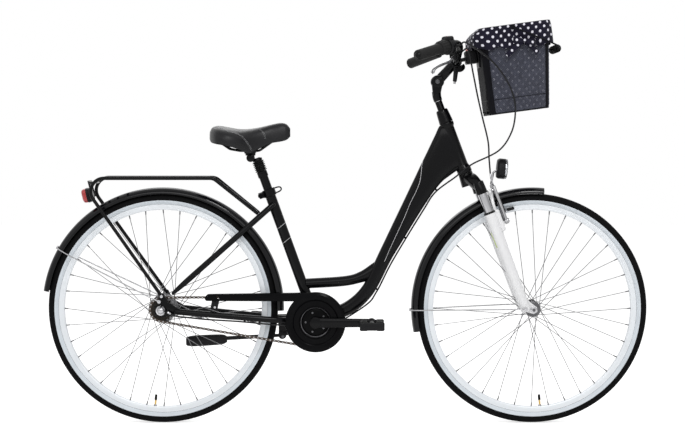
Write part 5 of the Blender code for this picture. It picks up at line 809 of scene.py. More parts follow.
def tyre(name, centre):
    """Tyre with a pale band on each sidewall and grooves across the shoulders of its tread."""
    section = [(side * half, radius) for side, row in ((1, TYRE_SIDE), (-1, TYRE_SIDE[::-1])) for half,
        radius in row]
    rings = []
    for step in range(TREAD_BLOCKS * 4):
        angle = 2 * pi * step / (TREAD_BLOCKS * 4)
        ring = []
        for half, radius in section:
            groove = 0.0008 if step % 4 == 0 and radius > 0.3465 and abs(half) > 0.003 else 0.0
            groove += 0.0006 if abs(half) == 0.004 else 0.0
            reach = radius - groove
            ring.append(centre + Vector((cos(angle) * reach, half, sin(angle) * reach)))
        rings.append(ring)
    shape = grown(rings, closed=True)
    for face in shape.faces:
        middle = face.calc_center_median()
        radius = hypot(middle.x - centre.x, middle.z - centre.z)
        face.material_index = 1 if 0.3175 < radius < BAND_OUTER and abs(middle.y) > 0.0108 else 0
    return made(name, shape, [TYRE_RUBBER, PALE_BAND], crease=50)


def rim(name, centre, valve_angle):
    side = [(0.3185, 0.0122), (0.3187, 0.0112), (0.3178, 0.0104), (0.312, 0.01), (0.3106, 0.0086)]
    inside = [(0.3017, -0.0078), (0.3024, -0.0102), (0.305, -0.0116), (0.3076, -0.0119), (0.3082, -0.0116),
        (0.3088, -0.012), (0.316, -0.0122)]
    profile = side + [(radius, -half) for radius, half in reversed(side)]
    profile += [(radius, half) for radius, half in reversed(inside)] + [(radius, -half) for radius,
        half in inside]
    hoop = turned(name, profile, centre, RIM_METAL, steps=216, crease=30)
    reach = Vector((cos(valve_angle), 0, sin(valve_angle)))
    pieces = [hoop]
    for near, far, wide, end, look in ((0.303, 0.2975, 0.0048, 0.0046, SILVER),
            (0.302, 0.28, 0.003, 0.003, BRASS), (0.2835, 0.2668, 0.0042, 0.0036, GLOSS_PLASTIC)):
        pieces.append(rod(name, centre + reach * near, centre + reach * far, wide, look, end, 16, 0.0008))
    return joined(name, *pieces)


def spokes(name, centre, flange_radius, flange):
    """Crossed spokes from holes in both flanges to the rim, each with its nipple and its bent head."""
    shape = bmesh.new()

    def bar(start, end, radius, end_radius, look, sides=8):
        along = end - start
        place = (Matrix.Translation(centre + (start + end) / 2) @ turned_to(along))
        made_bar = bmesh.ops.create_cone(shape, cap_ends=True, segments=sides, radius1=radius,
            radius2=end_radius, depth=along.length, matrix=place)
        paint(made_bar, look)

    for side in (-1, 1):
        for index in range(SPOKES_PER_FLANGE):
            lead = 1 if index % 2 else -1
            outer = 2 * pi * (index + (0.5 if side > 0 else 0)) / SPOKES_PER_FLANGE
            inner = outer + lead * SPOKE_LEAD
            start = Vector((cos(inner) * flange_radius, side * flange + lead * side * 0.0018,
                sin(inner) * flange_radius))
            end = Vector((cos(outer) * (RIM_INNER + 0.001), side * 0.0025, sin(outer) * (RIM_INNER + 0.001)))
            way = (end - start).normalized()
            bar(start, end - way * 0.004, 0.00105, 0.00105, 0)
            bar(end - way * 0.0115, end, 0.0017, 0.002, 1)
            bar(start - LEFT * side * lead * 0.0042, start + LEFT * side * lead * 0.0006, 0.0019, 0.0011, 0)
    return made(name, shape, [SPOKE_STEEL, DARK_STEEL], crease=50)


def wheels():
    flange = 0.035
    side = [(0.0062, 0.0494), (0.0092, 0.0492), (0.0098, 0.047), (0.011, 0.04), (0.0118, 0.0382),
        (0.0215, 0.0374), (0.0235, 0.0366), (0.024, 0.035), (0.0235, 0.0335), (0.018, 0.0328),
        (0.014, 0.029), (0.0124, 0.02)]
    profile = side + [(0.0118, 0.0)] + [(radius, -along) for radius, along in reversed(side)]
    profile += [(0.0052, -0.049), (0.0052, 0.049)]
    hub = turned("front_hub_shell", profile, FRONT, DARK_STEEL, steps=72)
    whole = joined("front_hub_and_spokes", hub, spokes("front_spokes", FRONT, 0.0205, flange))
    fitted(whole, "front_wheel", "silver_alloy", "front_hub")
    fitted(rim("front_rim_hoop", FRONT, radians(-85)), "front_wheel", "silver_alloy", "front_rim")
    fitted(tyre("front_tyre_cover", FRONT), "front_wheel", "tyre_rubber", "front_tyre")
    profile = [(0.015, 0.056), (0.016, 0.0552), (0.016, 0.048), (0.018, 0.0474), (0.028, 0.0406),
        (0.0296, 0.039), (0.03, 0.033), (0.0408, 0.0322), (0.0418, 0.0312), (0.042, 0.03), (0.0416, 0.0288),
        (0.0405, 0.028), (0.0318, 0.0268), (0.03, 0.024), (0.0294, 0.012), (0.029, 0.0), (0.0294, -0.012),
        (0.03, -0.024), (0.0318, -0.0268), (0.0405, -0.028), (0.0416, -0.0288), (0.042, -0.03),
        (0.0418, -0.0312), (0.0408, -0.0322), (0.028, -0.0335), (0.0262, -0.0358), (0.0052, -0.036),
        (0.0052, 0.056)]
    hub = turned("rear_hub_shell", profile, REAR, SPOKE_STEEL, steps=96)
    whole = joined("rear_hub_and_spokes", hub, spokes("rear_spokes", REAR, 0.0378, 0.03))
    fitted(whole, "rear_wheel", "silver_alloy", "rear_hub")
    fitted(rim("rear_rim_hoop", REAR, radians(-95)), "rear_wheel", "silver_alloy", "rear_rim")
    fitted(tyre("rear_tyre_cover", REAR), "rear_wheel", "tyre_rubber", "rear_tyre")


# Drive

def chain_run():
    """Function of the place of a pin by its number, with its outward direction."""
    lean = asin((RING_RADIUS - COG_RADIUS) / STAY)
    back = (REAR - BRACKET).normalized()
    across = Vector((-back.z, 0, back.x))
    across = across if across.z > 0 else -across
    upper = back * sin(lean) + across * cos(lean)
    lower = back * sin(lean) - across * cos(lean)
    run = STAY * cos(lean) / CHAIN_PITCH
    cog_links = SPROCKET_TEETH * (0.5 - lean / pi)

    def place(number):
        number %= CHAIN_LINKS
        if number < run:
            return (BRACKET + upper * RING_RADIUS).lerp(REAR + upper * COG_RADIUS, number / run), upper
        if number < run + cog_links:
            turn = Quaternion(LEFT, -2 * pi * (number - run) / SPROCKET_TEETH)
            return REAR + turn @ upper * COG_RADIUS, turn @ upper
        if number < 2 * run + cog_links:
            share = (number - run - cog_links) / run
            return (REAR + lower * COG_RADIUS).lerp(BRACKET + lower * RING_RADIUS, share), lower
        turn = Quaternion(LEFT, -2 * pi * (number - 2 * run - cog_links) / CHAINRING_TEETH)
        return BRACKET + turn @ lower * RING_RADIUS, turn @ lower

    ring_phase = atan2(upper.z, upper.x)
    cog_phase = ring_phase + 2 * pi * (ceil(run) - run) / SPROCKET_TEETH
    return place, ring_phase, cog_phase


def chain():
    """Links of inner and outer plates in turn, with rollers and riveted pins between them."""
    place, _, _ = chain_run()
    shape = bmesh.new()
    spots = [place(number)[0] - LEFT * CHAIN_LINE for number in range(CHAIN_LINKS)]
    for number, (spot, following) in enumerate(zip(spots, spots[1:] + spots[:1])):
        way = (following - spot).normalized()
        turn = with_axes(way, LEFT, way.cross(LEFT))
        gap = 0.00185 if number % 2 else 0.0029
        for side in (-1, 1):
            for along in (0.0, 0.5, 1.0):
                wide = 0.0041 if along != 0.5 else 0.0031
                middle = spot.lerp(following, along) + LEFT * side * gap
                if along == 0.5:
                    bmesh.ops.create_cube(shape, size=1, matrix=Matrix.Translation(middle) @ turn
                        @ Matrix.Diagonal((0.0076, 0.0009, 2 * wide, 1)))
                else:
                    bmesh.ops.create_cone(shape, cap_ends=True, segments=10, radius1=wide, radius2=wide,
                        depth=0.0009, matrix=Matrix.Translation(middle) @ Matrix.Rotation(pi / 2, 4, "X"))
        for length, radius, look in ((0.0074, 0.0023, 1), (0.0034, 0.0037, 0)):
            pin = bmesh.ops.create_cone(shape, cap_ends=True, segments=8, radius1=radius, radius2=radius,
                depth=length, matrix=Matrix.Translation(spot) @ Matrix.Rotation(pi / 2, 4, "X"))
            paint(pin, look)
    fitted(made("chain_links", shape, [CHAIN_STEEL, SILVER], crease=40), "frame", "chain_steel", "chain")


def toothed(teeth, radius, phase):
    """Outline of a toothed wheel with round gaps, a gap centred on the phase angle."""
    points = []
    for index in range(teeth):
        for share, reach in ((-0.3, -0.0014), (-0.2, -0.0036), (0.0, -0.0047), (0.2, -0.0036),
                (0.3, -0.0014), (0.42, 0.0014), (0.5, 0.0018), (0.58, 0.0014)):
            angle = phase + 2 * pi * (index + share) / teeth
            points.append(((radius + reach) * cos(angle), (radius + reach) * sin(angle)))
    return points


def window(radius_in, radius_out, middle, half_angle):
    return (arc((0, 0), radius_out, middle - half_angle, middle + half_angle, 10)
        + arc((0, 0), radius_in, middle + half_angle * 0.8, middle - half_angle * 0.8, 8))


def drive():
    chain()
    _, ring_phase, cog_phase = chain_run()
    windows = [window(0.031, 0.0415, 2 * pi * index / 5, radians(23)) for index in range(5)]
    ring = plate("chainring_plate", [toothed(CHAINRING_TEETH, RING_RADIUS, ring_phase),
        arc((0, 0), 0.018, 0, 2 * pi * 35 / 36, 35), *windows], 0.0026, BRACKET - LEFT * CHAIN_LINE,
        DARK_STEEL, 0.0003)
    spider = turned("chainring_disc", [(0.018, -0.0454), (0.018, -0.0503), (0.025, -0.0503), (0.037, -0.049),
        (0.0422, -0.0474), (0.0432, -0.0454)], BRACKET, GLOSS_PLASTIC, steps=72)
    bolts = [rod("ring_bolt", BRACKET + Vector((cos(a) * 0.03, -0.049, sin(a) * 0.03)),
        BRACKET + Vector((cos(a) * 0.03, -0.0512, sin(a) * 0.03)), 0.0034, DARK_STEEL, 0.003, 18)
        for a in (2 * pi * (index + 0.5) / 5 for index in range(5))]
    fitted(joined("chainring_and_spider", ring, spider, *bolts), "crank", "frame_paint", "chainring")
    cog = plate("sprocket_plate", [toothed(SPROCKET_TEETH, COG_RADIUS, cog_phase),
        arc((0, 0), 0.0165, 0, 2 * pi * 35 / 36, 35)], 0.0024, REAR - LEFT * CHAIN_LINE, COG_STEEL, 0.0003)
    driver = turned("sprocket_driver", [(0.017, -0.0364), (0.017, -0.0498), (0.016, -0.05), (0.0052, -0.05),
        (0.0052, -0.0364)], REAR, DARK_STEEL, steps=48)
    fitted(joined("sprocket_and_driver", cog, driver), "sprocket", "chain_steel", "sprocket")
    for name, side in (("right", -1), ("left", 1)):
        crank_and_pedal(name, side)


def crank_and_pedal(name, side):
    """Tapered arm with its bolt cap and spindle, and a rubber block pedal."""
    direction = -side
    eye = BRACKET + FORWARD * direction * CRANK_LENGTH
    middle = CRANK_INNER + CRANK_THICKNESS / 2
    outer = CRANK_INNER + CRANK_THICKNESS
    rows = smooth_rows([(0.0, 0.0158, 0.0065), (0.12, 0.0148, 0.0065), (0.35, 0.014, 0.006),
        (0.65, 0.0134, 0.0056), (0.9, 0.013, 0.0056), (1.0, 0.0126, 0.0058)], 24)
    rings = [oval(BRACKET.lerp(eye, share) + LEFT * side * middle, UP * high, LEFT * wide, 20, 3.2)
        for share, high, wide in rows]
    pieces = [skin("arm", rings, FRAME_PAINT, crease=50)]
    inner = CRANK_INNER if side > 0 else CHAIN_LINE - 0.002
    for start, end, centre, radius, last, look in ((inner, outer + 0.002, BRACKET, 0.0185, 0.0172,
            FRAME_PAINT), (outer, outer + 0.0019, BRACKET, 0.0105, 0.0095, DARK_STEEL),
            (CRANK_INNER, outer, eye, 0.015, 0.014, FRAME_PAINT), (outer - 0.002,
            outer + PEDAL_LENGTH - 0.012, eye, 0.0054, 0.0054, DARK_STEEL), (outer, outer + 0.0045, eye,
            0.0085, 0.0085, DARK_STEEL)):
        pieces.append(rod("boss", centre + LEFT * side * start, centre + LEFT * side * end, radius, look,
            last, 40, 0.0012))
    if side > 0:
        pieces.append(rod("spindle", BRACKET - LEFT * 0.0376, BRACKET + LEFT * 0.064, 0.0085, DARK_STEEL))
    fitted(joined(f"crank_arm_{name}", *pieces), "crank", "frame_paint", f"crank_{name}")

    start = outer + 0.007
    centre = eye + LEFT * side * (start + PEDAL_LENGTH / 2)
    pieces = [rod("barrel", centre - LEFT * side * (PEDAL_LENGTH / 2 + 0.003),
        centre + LEFT * side * (PEDAL_LENGTH / 2 - 0.003), 0.0095, PLASTIC)]
    for along in (-1, 1):
        middle = centre + FORWARD * along * PEDAL_DEPTH * 0.335
        pieces.append(block("tread", middle, (PEDAL_DEPTH * 0.3, PEDAL_LENGTH * 0.9, PEDAL_HEIGHT * 0.84),
            GRIP_RUBBER, ease=0.0035))
        for row in range(9):
            spot = middle + LEFT * (row - 4) * PEDAL_LENGTH * 0.097
            pieces.append(block("rib", spot, (PEDAL_DEPTH * 0.27, PEDAL_LENGTH * 0.058, PEDAL_HEIGHT),
                GRIP_RUBBER, ease=0.0012, segments=2))
    for end in (-1, 1):
        pieces.append(block("pedal_end", centre + LEFT * end * PEDAL_LENGTH * 0.468,
            (PEDAL_DEPTH, PEDAL_LENGTH * 0.06, PEDAL_HEIGHT * 0.86), PLASTIC, ease=0.0029))
    fitted(joined(f"pedal_block_{name}", *pieces), f"pedal_{name}", "rubber", f"pedal_{name}")


def chain_case():
    """Glossy cover with a long tapered beam, a round window and a strap to the chainstay."""
    inner, outer = 0.0402, 0.0582
    beam_low, beam_high = REAR.z + 0.0262, REAR.z + 0.052
    back = REAR.x + 0.122
    radius = 0.092

    def shape(shrink):
        reach = radius - shrink
        join = pi - asin((beam_low + shrink - BRACKET.z) / reach) + 0.02
        points = arc((0, 0), reach, join, 2.5 * pi + 0.14, 84)
        high = Vector((back + 0.016 - BRACKET.x + shrink, 0, beam_high - BRACKET.z - shrink - 0.004))
        low = Vector((back - BRACKET.x + shrink, 0, beam_low - BRACKET.z + shrink))
        ends = [Vector((points[-1][0], 0, points[-1][1])), high, low, Vector((points[0][0], 0,
            points[0][1]))]
        bends = rounded(ends, [0.01, 0.008], radians(15))[1:-1]
        return points + [(spot.x, spot.z) for spot in bends]

    hole = arc((0, 0), 0.071, 0, 2 * pi * 71 / 72, 71)
    face = plate("case_face", [shape(0.0083), hole], 0.0018, BRACKET - LEFT * (outer - 0.0009),
        GLOSS_PLASTIC, 0.0005)
    rings = [[BRACKET + Vector((along, -depth, height)) for along, height in shape(shrink)] for shrink,
        depth in ((0.0004, inner), (0.0004, outer - 0.0056), (0.001, outer - 0.0042),
        (0.0078, outer - 0.0003), (0.0078, outer - 0.0022), (0.0024, outer - 0.0062), (0.0024, inner))]
    wall = skin("case_wall", rings, GLOSS_PLASTIC, closed=True, crease=28)
    lip = turned("case_dish", [(0.0716, outer - 0.0002), (0.0704, outer), (0.069, outer - 0.0008),
        (0.066, outer - 0.0034), (0.051, outer - 0.0034), (0.0492, outer - 0.0022), (0.048, outer),
        (0.0462, outer + 0.0005), (0.045, outer - 0.0002), (0.045, outer - 0.0052),
        (0.0716, outer - 0.0052)], BRACKET, GLOSS_PLASTIC, -LEFT, 96, crease=28)
    strut_top = Vector((REAR.x + 0.165, -inner - 0.0035, beam_low + 0.004))
    strut_end = Vector((REAR.x + 0.156, -inner - 0.0035, REAR.z - 0.001))
    strut = block("case_strut", (strut_top + strut_end) / 2, (0.022, 0.004, (strut_top - strut_end).length),
        PLASTIC, Matrix.Rotation(radians(12), 4, "Y"))
    screw = rod("case_screw", (strut_top + strut_end) / 2 - LEFT * 0.0015 - UP * 0.008,
        (strut_top + strut_end) / 2 - LEFT * 0.003 - UP * 0.008, 0.0035, CHROME, sides=20, ease=0.0004)
    fitted(joined("chain_case_cover", face, wall, lip, strut, screw), "frame", "black_plastic", "chain_case")


# Frame

def down_tube_path(count):
    """Rows of centre, axis towards the front, half depth and half width along the down tube.

    The tube flares at its head, and its back edge is straight. Each station gives a place along that edge,
    the place of the front edge opposite, and the distance between the edges.
    """
    back = BRACKET + Vector((0.1761, 0, 0.1736))
    lean = radians(25.5)
    along, ahead = Vector((sin(lean), 0, cos(lean))), Vector((cos(lean), 0, -sin(lean)))
    stations = [(0.031, 0.031, 0.0436), (0.088, 0.088, 0.0487), (0.1735, 0.1735, 0.0572),
        (0.24, 0.236, 0.0645), (0.3, 0.279, 0.071), (0.37, 0.318, 0.081), (0.43, 0.346, 0.095),
        (0.468, 0.366, 0.1066)]
    corner = BRACKET + Vector((0.1418, 0, 0.0523))
    bend = rounded([BRACKET, corner, back + along * stations[0][0] + ahead * stations[0][2] / 2], [0.19],
        radians(12))
    rows = []
    for index, point in enumerate(bend[:-1]):
        way = (bend[index + 1] - bend[max(index - 1, 0)]).normalized()
        rows.append((point, Vector((way.z, 0, -way.x)), 0.0415 / 2))
    for behind, before, depth in stations:
        rear, front = back + along * behind, back + along * before + ahead * depth
        rows.append(((rear + front) / 2, (front - rear).normalized(), (front - rear).length / 2))
    rows.append((rows[-1][0] + STEER_FORWARD * 0.017, rows[-1][1], rows[-1][2]))
    last = len(rows) - 1
    rows = [(spot.x, spot.z, across.x, across.z, deep, 0.021 - 0.004 * (index / last) ** 2) for index,
        (spot, across, deep) in enumerate(rows)]
    return [(Vector((x, 0, z)), Vector((ax, 0, az)).normalized(), deep, wide) for x, z, ax, az, deep,
        wide in smooth_rows(rows, count)]


def skin_point(row, angle, proud=0.0):
    """Point on the down tube's surface at an angle round it, 0 in front and a quarter turn on the left."""
    centre, across, deep, wide = row
    swell = 1 / (abs(cos(angle)) ** 3 + abs(sin(angle)) ** 3) ** (1 / 3)
    return centre + across * (deep + proud) * swell * cos(angle) + LEFT * (wide + proud) * swell * sin(angle)


def laid_line(name, tree, route, wide, side, look):
    """Thin painted line laid on a surface along a route seen from the side."""
    points = smooth([Vector((along, 0, height)) for along, height in route], 90)
    rings = []
    for point, (way, _, _) in zip(points, frames_along(points)):
        ring = []
        for shift, proud in ((-0.5, 0.00015), (0.5, 0.00015), (0.5, -0.0003), (-0.5, -0.0003)):
            start = point + Vector((-way.z, 0, way.x)) * wide * shift + LEFT * side * 0.3
            spot, normal, _, _ = tree.ray_cast(start, LEFT * -side)
            if spot:
                ring.append(spot + normal * proud)
        if len(ring) == 4:
            rings.append(ring)
    return skin(name, rings, look)


def slanted_band(name, centre, radius, axis, height, rise, look, facing=radians(-90)):
    """Painted band that climbs as it goes round a tube."""
    turn = turned_to(axis)
    rings = []
    for grow, low in ((0.00012, -0.5), (0.00012, 0.5), (-0.0004, 0.5), (-0.0004, -0.5)):
        ring = []
        for step in range(48):
            angle = 2 * pi * step / 48
            level = low * height + rise * cos(angle - facing + pi / 2)
            ring.append(centre + turn @ Vector(((radius + grow) * cos(angle), (radius + grow) * sin(angle),
                level)))
        rings.append(ring)
    return skin(name, rings, look, closed=True)


def frame_tubes():
    low, high = FORK_LENGTH, FORK_LENGTH + HEAD_TUBE_LENGTH
    profile = [(0.0146, high - 0.0002), (0.0208, high - 0.0002), (0.0214, high - 0.0012),
        (0.0214, high - 0.0085), (0.0205, high - 0.011), (0.0182, high - 0.015), (0.018, high - 0.0165),
        (0.018, low + 0.0265), (0.0186, low + 0.0245), (0.0216, low + 0.016), (0.0224, low + 0.014),
        (0.0225, low + 0.0016), (0.0218, low + 0.0004), (0.0146, low + 0.0004)]
    head = turned("head_tube_skin", profile, STEER_FOOT, FRAME_PAINT, STEER_UP, 72)
    fitted(head, "frame", "frame_paint", "head_tube")

    rows = down_tube_path(64)
    shape = grown([[skin_point(row, 2 * pi * step / 48) for step in range(48)] for row in rows])
    tree = BVHTree.FromBMesh(shape)
    body = made("down_tube_skin", shape, FRAME_PAINT)
    route = [(0.2384, 0.8067), (0.2335, 0.789), (0.2313, 0.7658), (0.2268, 0.7386), (0.2149, 0.7075),
        (0.1993, 0.6764), (0.1798, 0.6293), (0.1605, 0.5866), (0.137, 0.5359), (0.1196, 0.495)]
    lines = [laid_line("line", tree, route, 0.0013, side, SILVER_LINE) for side in (-1, 1)]
    clips = []
    for along, height in ((0.2771, 0.7112), (0.1818, 0.5613), (0.1015, 0.4124)):
        row = min(rows, key=lambda row: (skin_point(row, 0.0) - Vector((along, 0, height))).length)
        spot = skin_point(row, 0.0, 0.0022) - LEFT * 0.005
        turn = with_axes(row[1], LEFT, row[1].cross(LEFT))
        clips.append(block("clip", spot, (0.0085, 0.0095, 0.006), PLASTIC, turn, 0.0018))
    fitted(joined("down_tube_and_lines", body, *lines, *clips), "frame", "frame_paint", "down_tube")

    profile = [(0.014, SEAT_TUBE_LENGTH), (SEAT_TUBE_RADIUS, SEAT_TUBE_LENGTH), (SEAT_TUBE_RADIUS, 0.004),
        (0.014, 0.004)]
    post = turned("seat_tube_skin", profile, BRACKET, FRAME_PAINT, SEAT_UP, 64)
    bands = [slanted_band("seat_band", on_seat(height), SEAT_TUBE_RADIUS, SEAT_UP, 0.0015, -0.0055,
        SILVER_LINE) for height in (0.309, 0.262)]
    fitted(joined("seat_tube_and_bands", post, *bands), "frame", "frame_paint", "seat_tube")

    path = smooth([BRACKET + Vector((-0.03, 0, 0.114)), BRACKET + Vector((0.085, 0, 0.1215)),
        BRACKET + Vector((0.14, 0, 0.1345)), BRACKET + Vector((0.19, 0, 0.1585))], 32)
    rings = []
    for index, (point, (way, _, _)) in enumerate(zip(path, frames_along(path))):
        share = index / (len(path) - 1)
        tall = 0.0155 + 0.009 * max(0, (share - 0.5) / 0.5) ** 1.6
        rings.append(oval(point, Vector((-way.z, 0, way.x)) * tall, LEFT * 0.0143, 32))
    fitted(skin("cross_tube_skin", rings, FRAME_PAINT), "frame", "frame_paint", "cross_tube")

    half = 0.034
    profile = [(0.009, half), (0.016, half + 0.0012), (0.0165, half), (0.0198, half), (0.0205, half - 0.001),
        (0.0205, 0.001 - half), (0.0198, -half), (0.0165, -half), (0.016, -half - 0.0012), (0.009, -half)]
    shell = turned("bracket_shell", profile, BRACKET, [FRAME_PAINT, DARK_STEEL], steps=64,
        pick=lambda radius, along: int(radius < 0.017))
    fitted(shell, "frame", "frame_paint", "bottom_bracket")


def dropout(name, side):
    slot = 0.0054
    outer = ([(-0.02, -slot), (-0.02, -0.016), (0.006, -0.021), (0.052, -0.011), (0.056, 0.004),
        (0.022, 0.024)] + arc((0.002, 0.043), 0.0095, radians(10), radians(185), 20)
        + [(-0.01, 0.02), (-0.02, 0.012), (-0.02, slot)] + arc((0, 0), slot, radians(90), radians(-90), 20))
    middle = DROPOUT_INNER + DROPOUT_THICKNESS / 2
    return plate(name, [outer], DROPOUT_THICKNESS, REAR + LEFT * side * middle, FRAME_PAINT, 0.001)


def seatstay_path(side, count=9):
    top = on_seat(SEAT_TUBE_LENGTH - 0.046, -0.002, side * 0.0165)
    foot = REAR + Vector((0.015, side * (DROPOUT_INNER + DROPOUT_THICKNESS / 2 - 0.0015), 0.033))
    run = foot - top
    points = [top, top + run * 0.1 + LEFT * side * 0.01, top + run * 0.24 + LEFT * side * 0.014,
        top + run * 0.6 + LEFT * side * 0.008, foot]
    return smooth(points, count)


def point_along(path, distance):
    for near, far in zip(path, path[1:]):
        step = (far - near).length
        if distance <= step:
            return near.lerp(far, distance / step)
        distance -= step
    return path[-1]


def stays():
    middle = DROPOUT_INNER + DROPOUT_THICKNESS / 2
    for name, side in (("right", -1), ("left", 1)):
        points = [BRACKET + Vector((-0.008, side * 0.0215, 0)), BRACKET + Vector((-0.085, side * 0.027,
            0.0035)), BRACKET + Vector((-0.13, side * 0.0395, 0.0065)), BRACKET
            + Vector((-0.23, side * 0.0525, 0.016)), REAR + Vector((0.046, side * (middle - 0.0012),
            -0.0045))]
        pieces = [tube("stay", smooth(points, 48), CHAINSTAY_RADIUS, FRAME_PAINT, 24),
            dropout("dropout", side)]
        if side > 0:
            axis = kickstand_axis()
            pieces.append(block("stand_plate", BRACKET + Vector((-0.1, 0.0375, -0.023)),
                (0.03, 0.006, 0.052), FRAME_PAINT))
            pieces.append(rod("stand_pin", KNUCKLE - axis * 0.012, KNUCKLE + axis * 0.0075, 0.0045,
                DARK_STEEL))
        else:
            for share in (0.42, 0.74):
                spot = smooth(points, 48)[int(share * 47)] - UP * CHAINSTAY_RADIUS
                pieces.append(block("clip", spot, (0.007, 0.0075, 0.0075), PLASTIC, ease=0.0018))
        fitted(joined(f"chainstay_{name}_skin", *pieces), "frame", "frame_paint", f"chainstay_{name}")

        path = seatstay_path(side, 49)
        last = max(index for index, spot in enumerate(path) if spot.z > REAR.z + 0.05)
        pieces = [tube("stay", path[:last + 1], SEATSTAY_RADIUS, FRAME_PAINT, 24,
            [1.0] * (last - 3) + [0.96, 0.88, 0.76, 0.62])]
        if side > 0:
            spot = bridge_place()
            pieces.append(rod("bridge", mirrored(spot), spot, 0.005, FRAME_PAINT))
        fitted(joined(f"seatstay_{name}_skin", *pieces), "frame", "frame_paint", f"seatstay_{name}")


def bridge_place():
    """Place on the left seatstay where the rod over the mudguard's back meets it."""
    path = seatstay_path(1, 360)
    return min(path, key=lambda spot: abs(hypot(spot.x - REAR.x, spot.z - REAR.z) - GUARD_RADIUS - 0.0056))


def seat_clamp():
    low, high = SEAT_TUBE_LENGTH - 0.019, SEAT_TUBE_LENGTH + 0.004
    middle = (low + high) / 2
    profile = [(0.014, high), (0.0188, high), (0.02, high - 0.0012), (0.02, low + 0.0012), (0.0188, low),
        (0.0162, low), (0.0162, SEAT_TUBE_LENGTH), (0.014, SEAT_TUBE_LENGTH)]
    pieces = [turned("collar", profile, BRACKET, FRAME_PAINT, SEAT_UP, 64)]
    for side in (-1, 1):
        pieces.append(block("ear", on_seat(middle, -0.0245, side * 0.0062), (0.017, 0.0095,
            high - low - 0.004), FRAME_PAINT, SEAT_TURN, 0.002))
    place = on_seat(middle, -0.027)
    pieces.append(rod("skewer", place - LEFT * 0.02, place + LEFT * 0.0165, 0.003, CHROME))
    pieces.append(rod("nut", place - LEFT * 0.024, place - LEFT * 0.013, 0.008, GLOSS_PLASTIC, 0.0086, 28,
        0.0015))
    fitted(joined("seat_clamp_collar", *pieces), "frame", "frame_paint", "seat_clamp")
    cam = on_seat(SEAT_TUBE_LENGTH - 0.0075, -0.027, 0.0235)
    head = rod("head", cam - SEAT_UP * 0.006, cam + SEAT_UP * 0.006, 0.0065, GLOSS_PLASTIC, ease=0.001)
    out = LEFT * 0.004
    reach = SEAT_FORWARD * 0.0255 + LEFT * 0.0045
    loop = [cam + out + SEAT_UP * 0.0025, cam + out + reach + SEAT_UP * 0.006,
        cam + out + reach * 2 + SEAT_UP * 0.0075, cam + out + reach * 2.45 + SEAT_UP * 0.004,
        cam + out + reach * 2.45 - SEAT_UP * 0.004, cam + out + reach * 2 - SEAT_UP * 0.0075,
        cam + out + reach - SEAT_UP * 0.006, cam + out - SEAT_UP * 0.0025]
    fitted(joined("seat_lever_loop", head, tube("loop", smooth(loop, 40), 0.0022, GLOSS_PLASTIC, 14)),
        "seat_lever", "frame_paint", "seat_lever")


# Mudguards, rack and light

def guard(name, centre, front, back):
    """Round-backed guard with rolled edges."""
    edge = GUARD_EDGE - 0.0035
    rise = GUARD_RADIUS - edge
    outer = [(edge + (rise + 0.0005) * sin(pi * step / 20) ** 0.8, (GUARD_HALF + 0.0004)
        * cos(pi * step / 20)) for step in range(21)]
    inner = [(edge + (rise - 0.0007) * sin(pi * step / 20) ** 0.8, (GUARD_HALF - 0.0007)
        * cos(pi * step / 20)) for step in range(20, -1, -1)]
    shell = turned(name, outer + inner, centre, GUARD_PAINT, steps=120, start=-back, sweep=back - front)
    count = 90
    beads = []
    for side in (-1, 1):
        points = [guard_point(centre, front + (back - front) * step / count, edge + 0.0004,
            side * (GUARD_HALF - 0.0002)) for step in range(count + 1)]
        beads.append(tube("bead", points, 0.0009, GUARD_PAINT, 8))
    return joined(name, shell, *beads)


def guard_point(centre, angle, radius, side):
    return centre + Vector((cos(angle) * radius, side, sin(angle) * radius))


def guard_stays(name, centre, angle, start, body, node):
    edge = GUARD_EDGE + 0.004
    half = GUARD_HALF + 0.0045
    outer = guard_point(centre, angle, edge - 0.03, half + 0.004)
    clear = start.lerp(Vector((outer.x, start.y, outer.z)), 0.12)
    back = GUARD_RADIUS + 0.0025
    route = [start, clear, outer, guard_point(centre, angle, edge, half), guard_point(centre, angle,
        edge + 0.0135, half * 0.78), guard_point(centre, angle, back, half * 0.35)]
    route += [mirrored(point) for point in reversed(route)]
    bent = rounded(route, [0.01, 0.04, 0.01, 0.006, 0.006, 0.006, 0.006, 0.01, 0.04, 0.01], radians(12))
    wire = tube("wire", bent, 0.002, SILVER, 12)
    ends = []
    for side in (-1, 1):
        spot = Vector((start.x, side * start.y, start.z))
        ends.append(turned("eyelet", band_profile(0.0022, 0.0052, 0.0056, 0.0014, 0.0008), spot, CHROME,
            steps=28))
        ends.append(rod("screw", spot - LEFT * side * 0.0016, spot + LEFT * side * 0.0034, 0.0034, CHROME,
            sides=24))
    clip = block("clip", guard_point(centre, angle, back + 0.0012, 0), (0.005, 0.018, 0.01), CHROME,
        Matrix.Rotation(-angle, 4, "Y"), 0.0015)
    fitted(joined(name, wire, clip, *ends), body, "stay_wire", node)


def mudguards():
    rear = guard("rear_guard_shell", REAR, *REAR_GUARD)
    bracket = bridge_place()
    tab = block("tab", Vector((bracket.x, 0, bracket.z)) - (bracket - REAR).normalized() * 0.0008,
        (0.018, 0.016, 0.003), CHROME, Matrix.Rotation(radians(60), 4, "Y"), 0.001)
    fitted(joined("rear_guard", rear, tab), "frame", "guard_gloss", "rear_mudguard")
    fitted(guard("front_guard", FRONT, *FRONT_GUARD), "fork_lowers", "guard_gloss", "front_mudguard")
    outer = DROPOUT_INNER + DROPOUT_THICKNESS
    guard_stays("rear_guard_wire", REAR, radians(150), REAR + Vector((-0.006, outer + 0.0021, 0.026)),
        "frame", "rear_mudguard_stays")
    guard_stays("front_guard_wire", FRONT, radians(180.7), on_steering(0.014, LEG_OFFSET,
        LEG_SPACING + 0.0158 + 0.0024), "fork_lowers", "front_mudguard_stays")


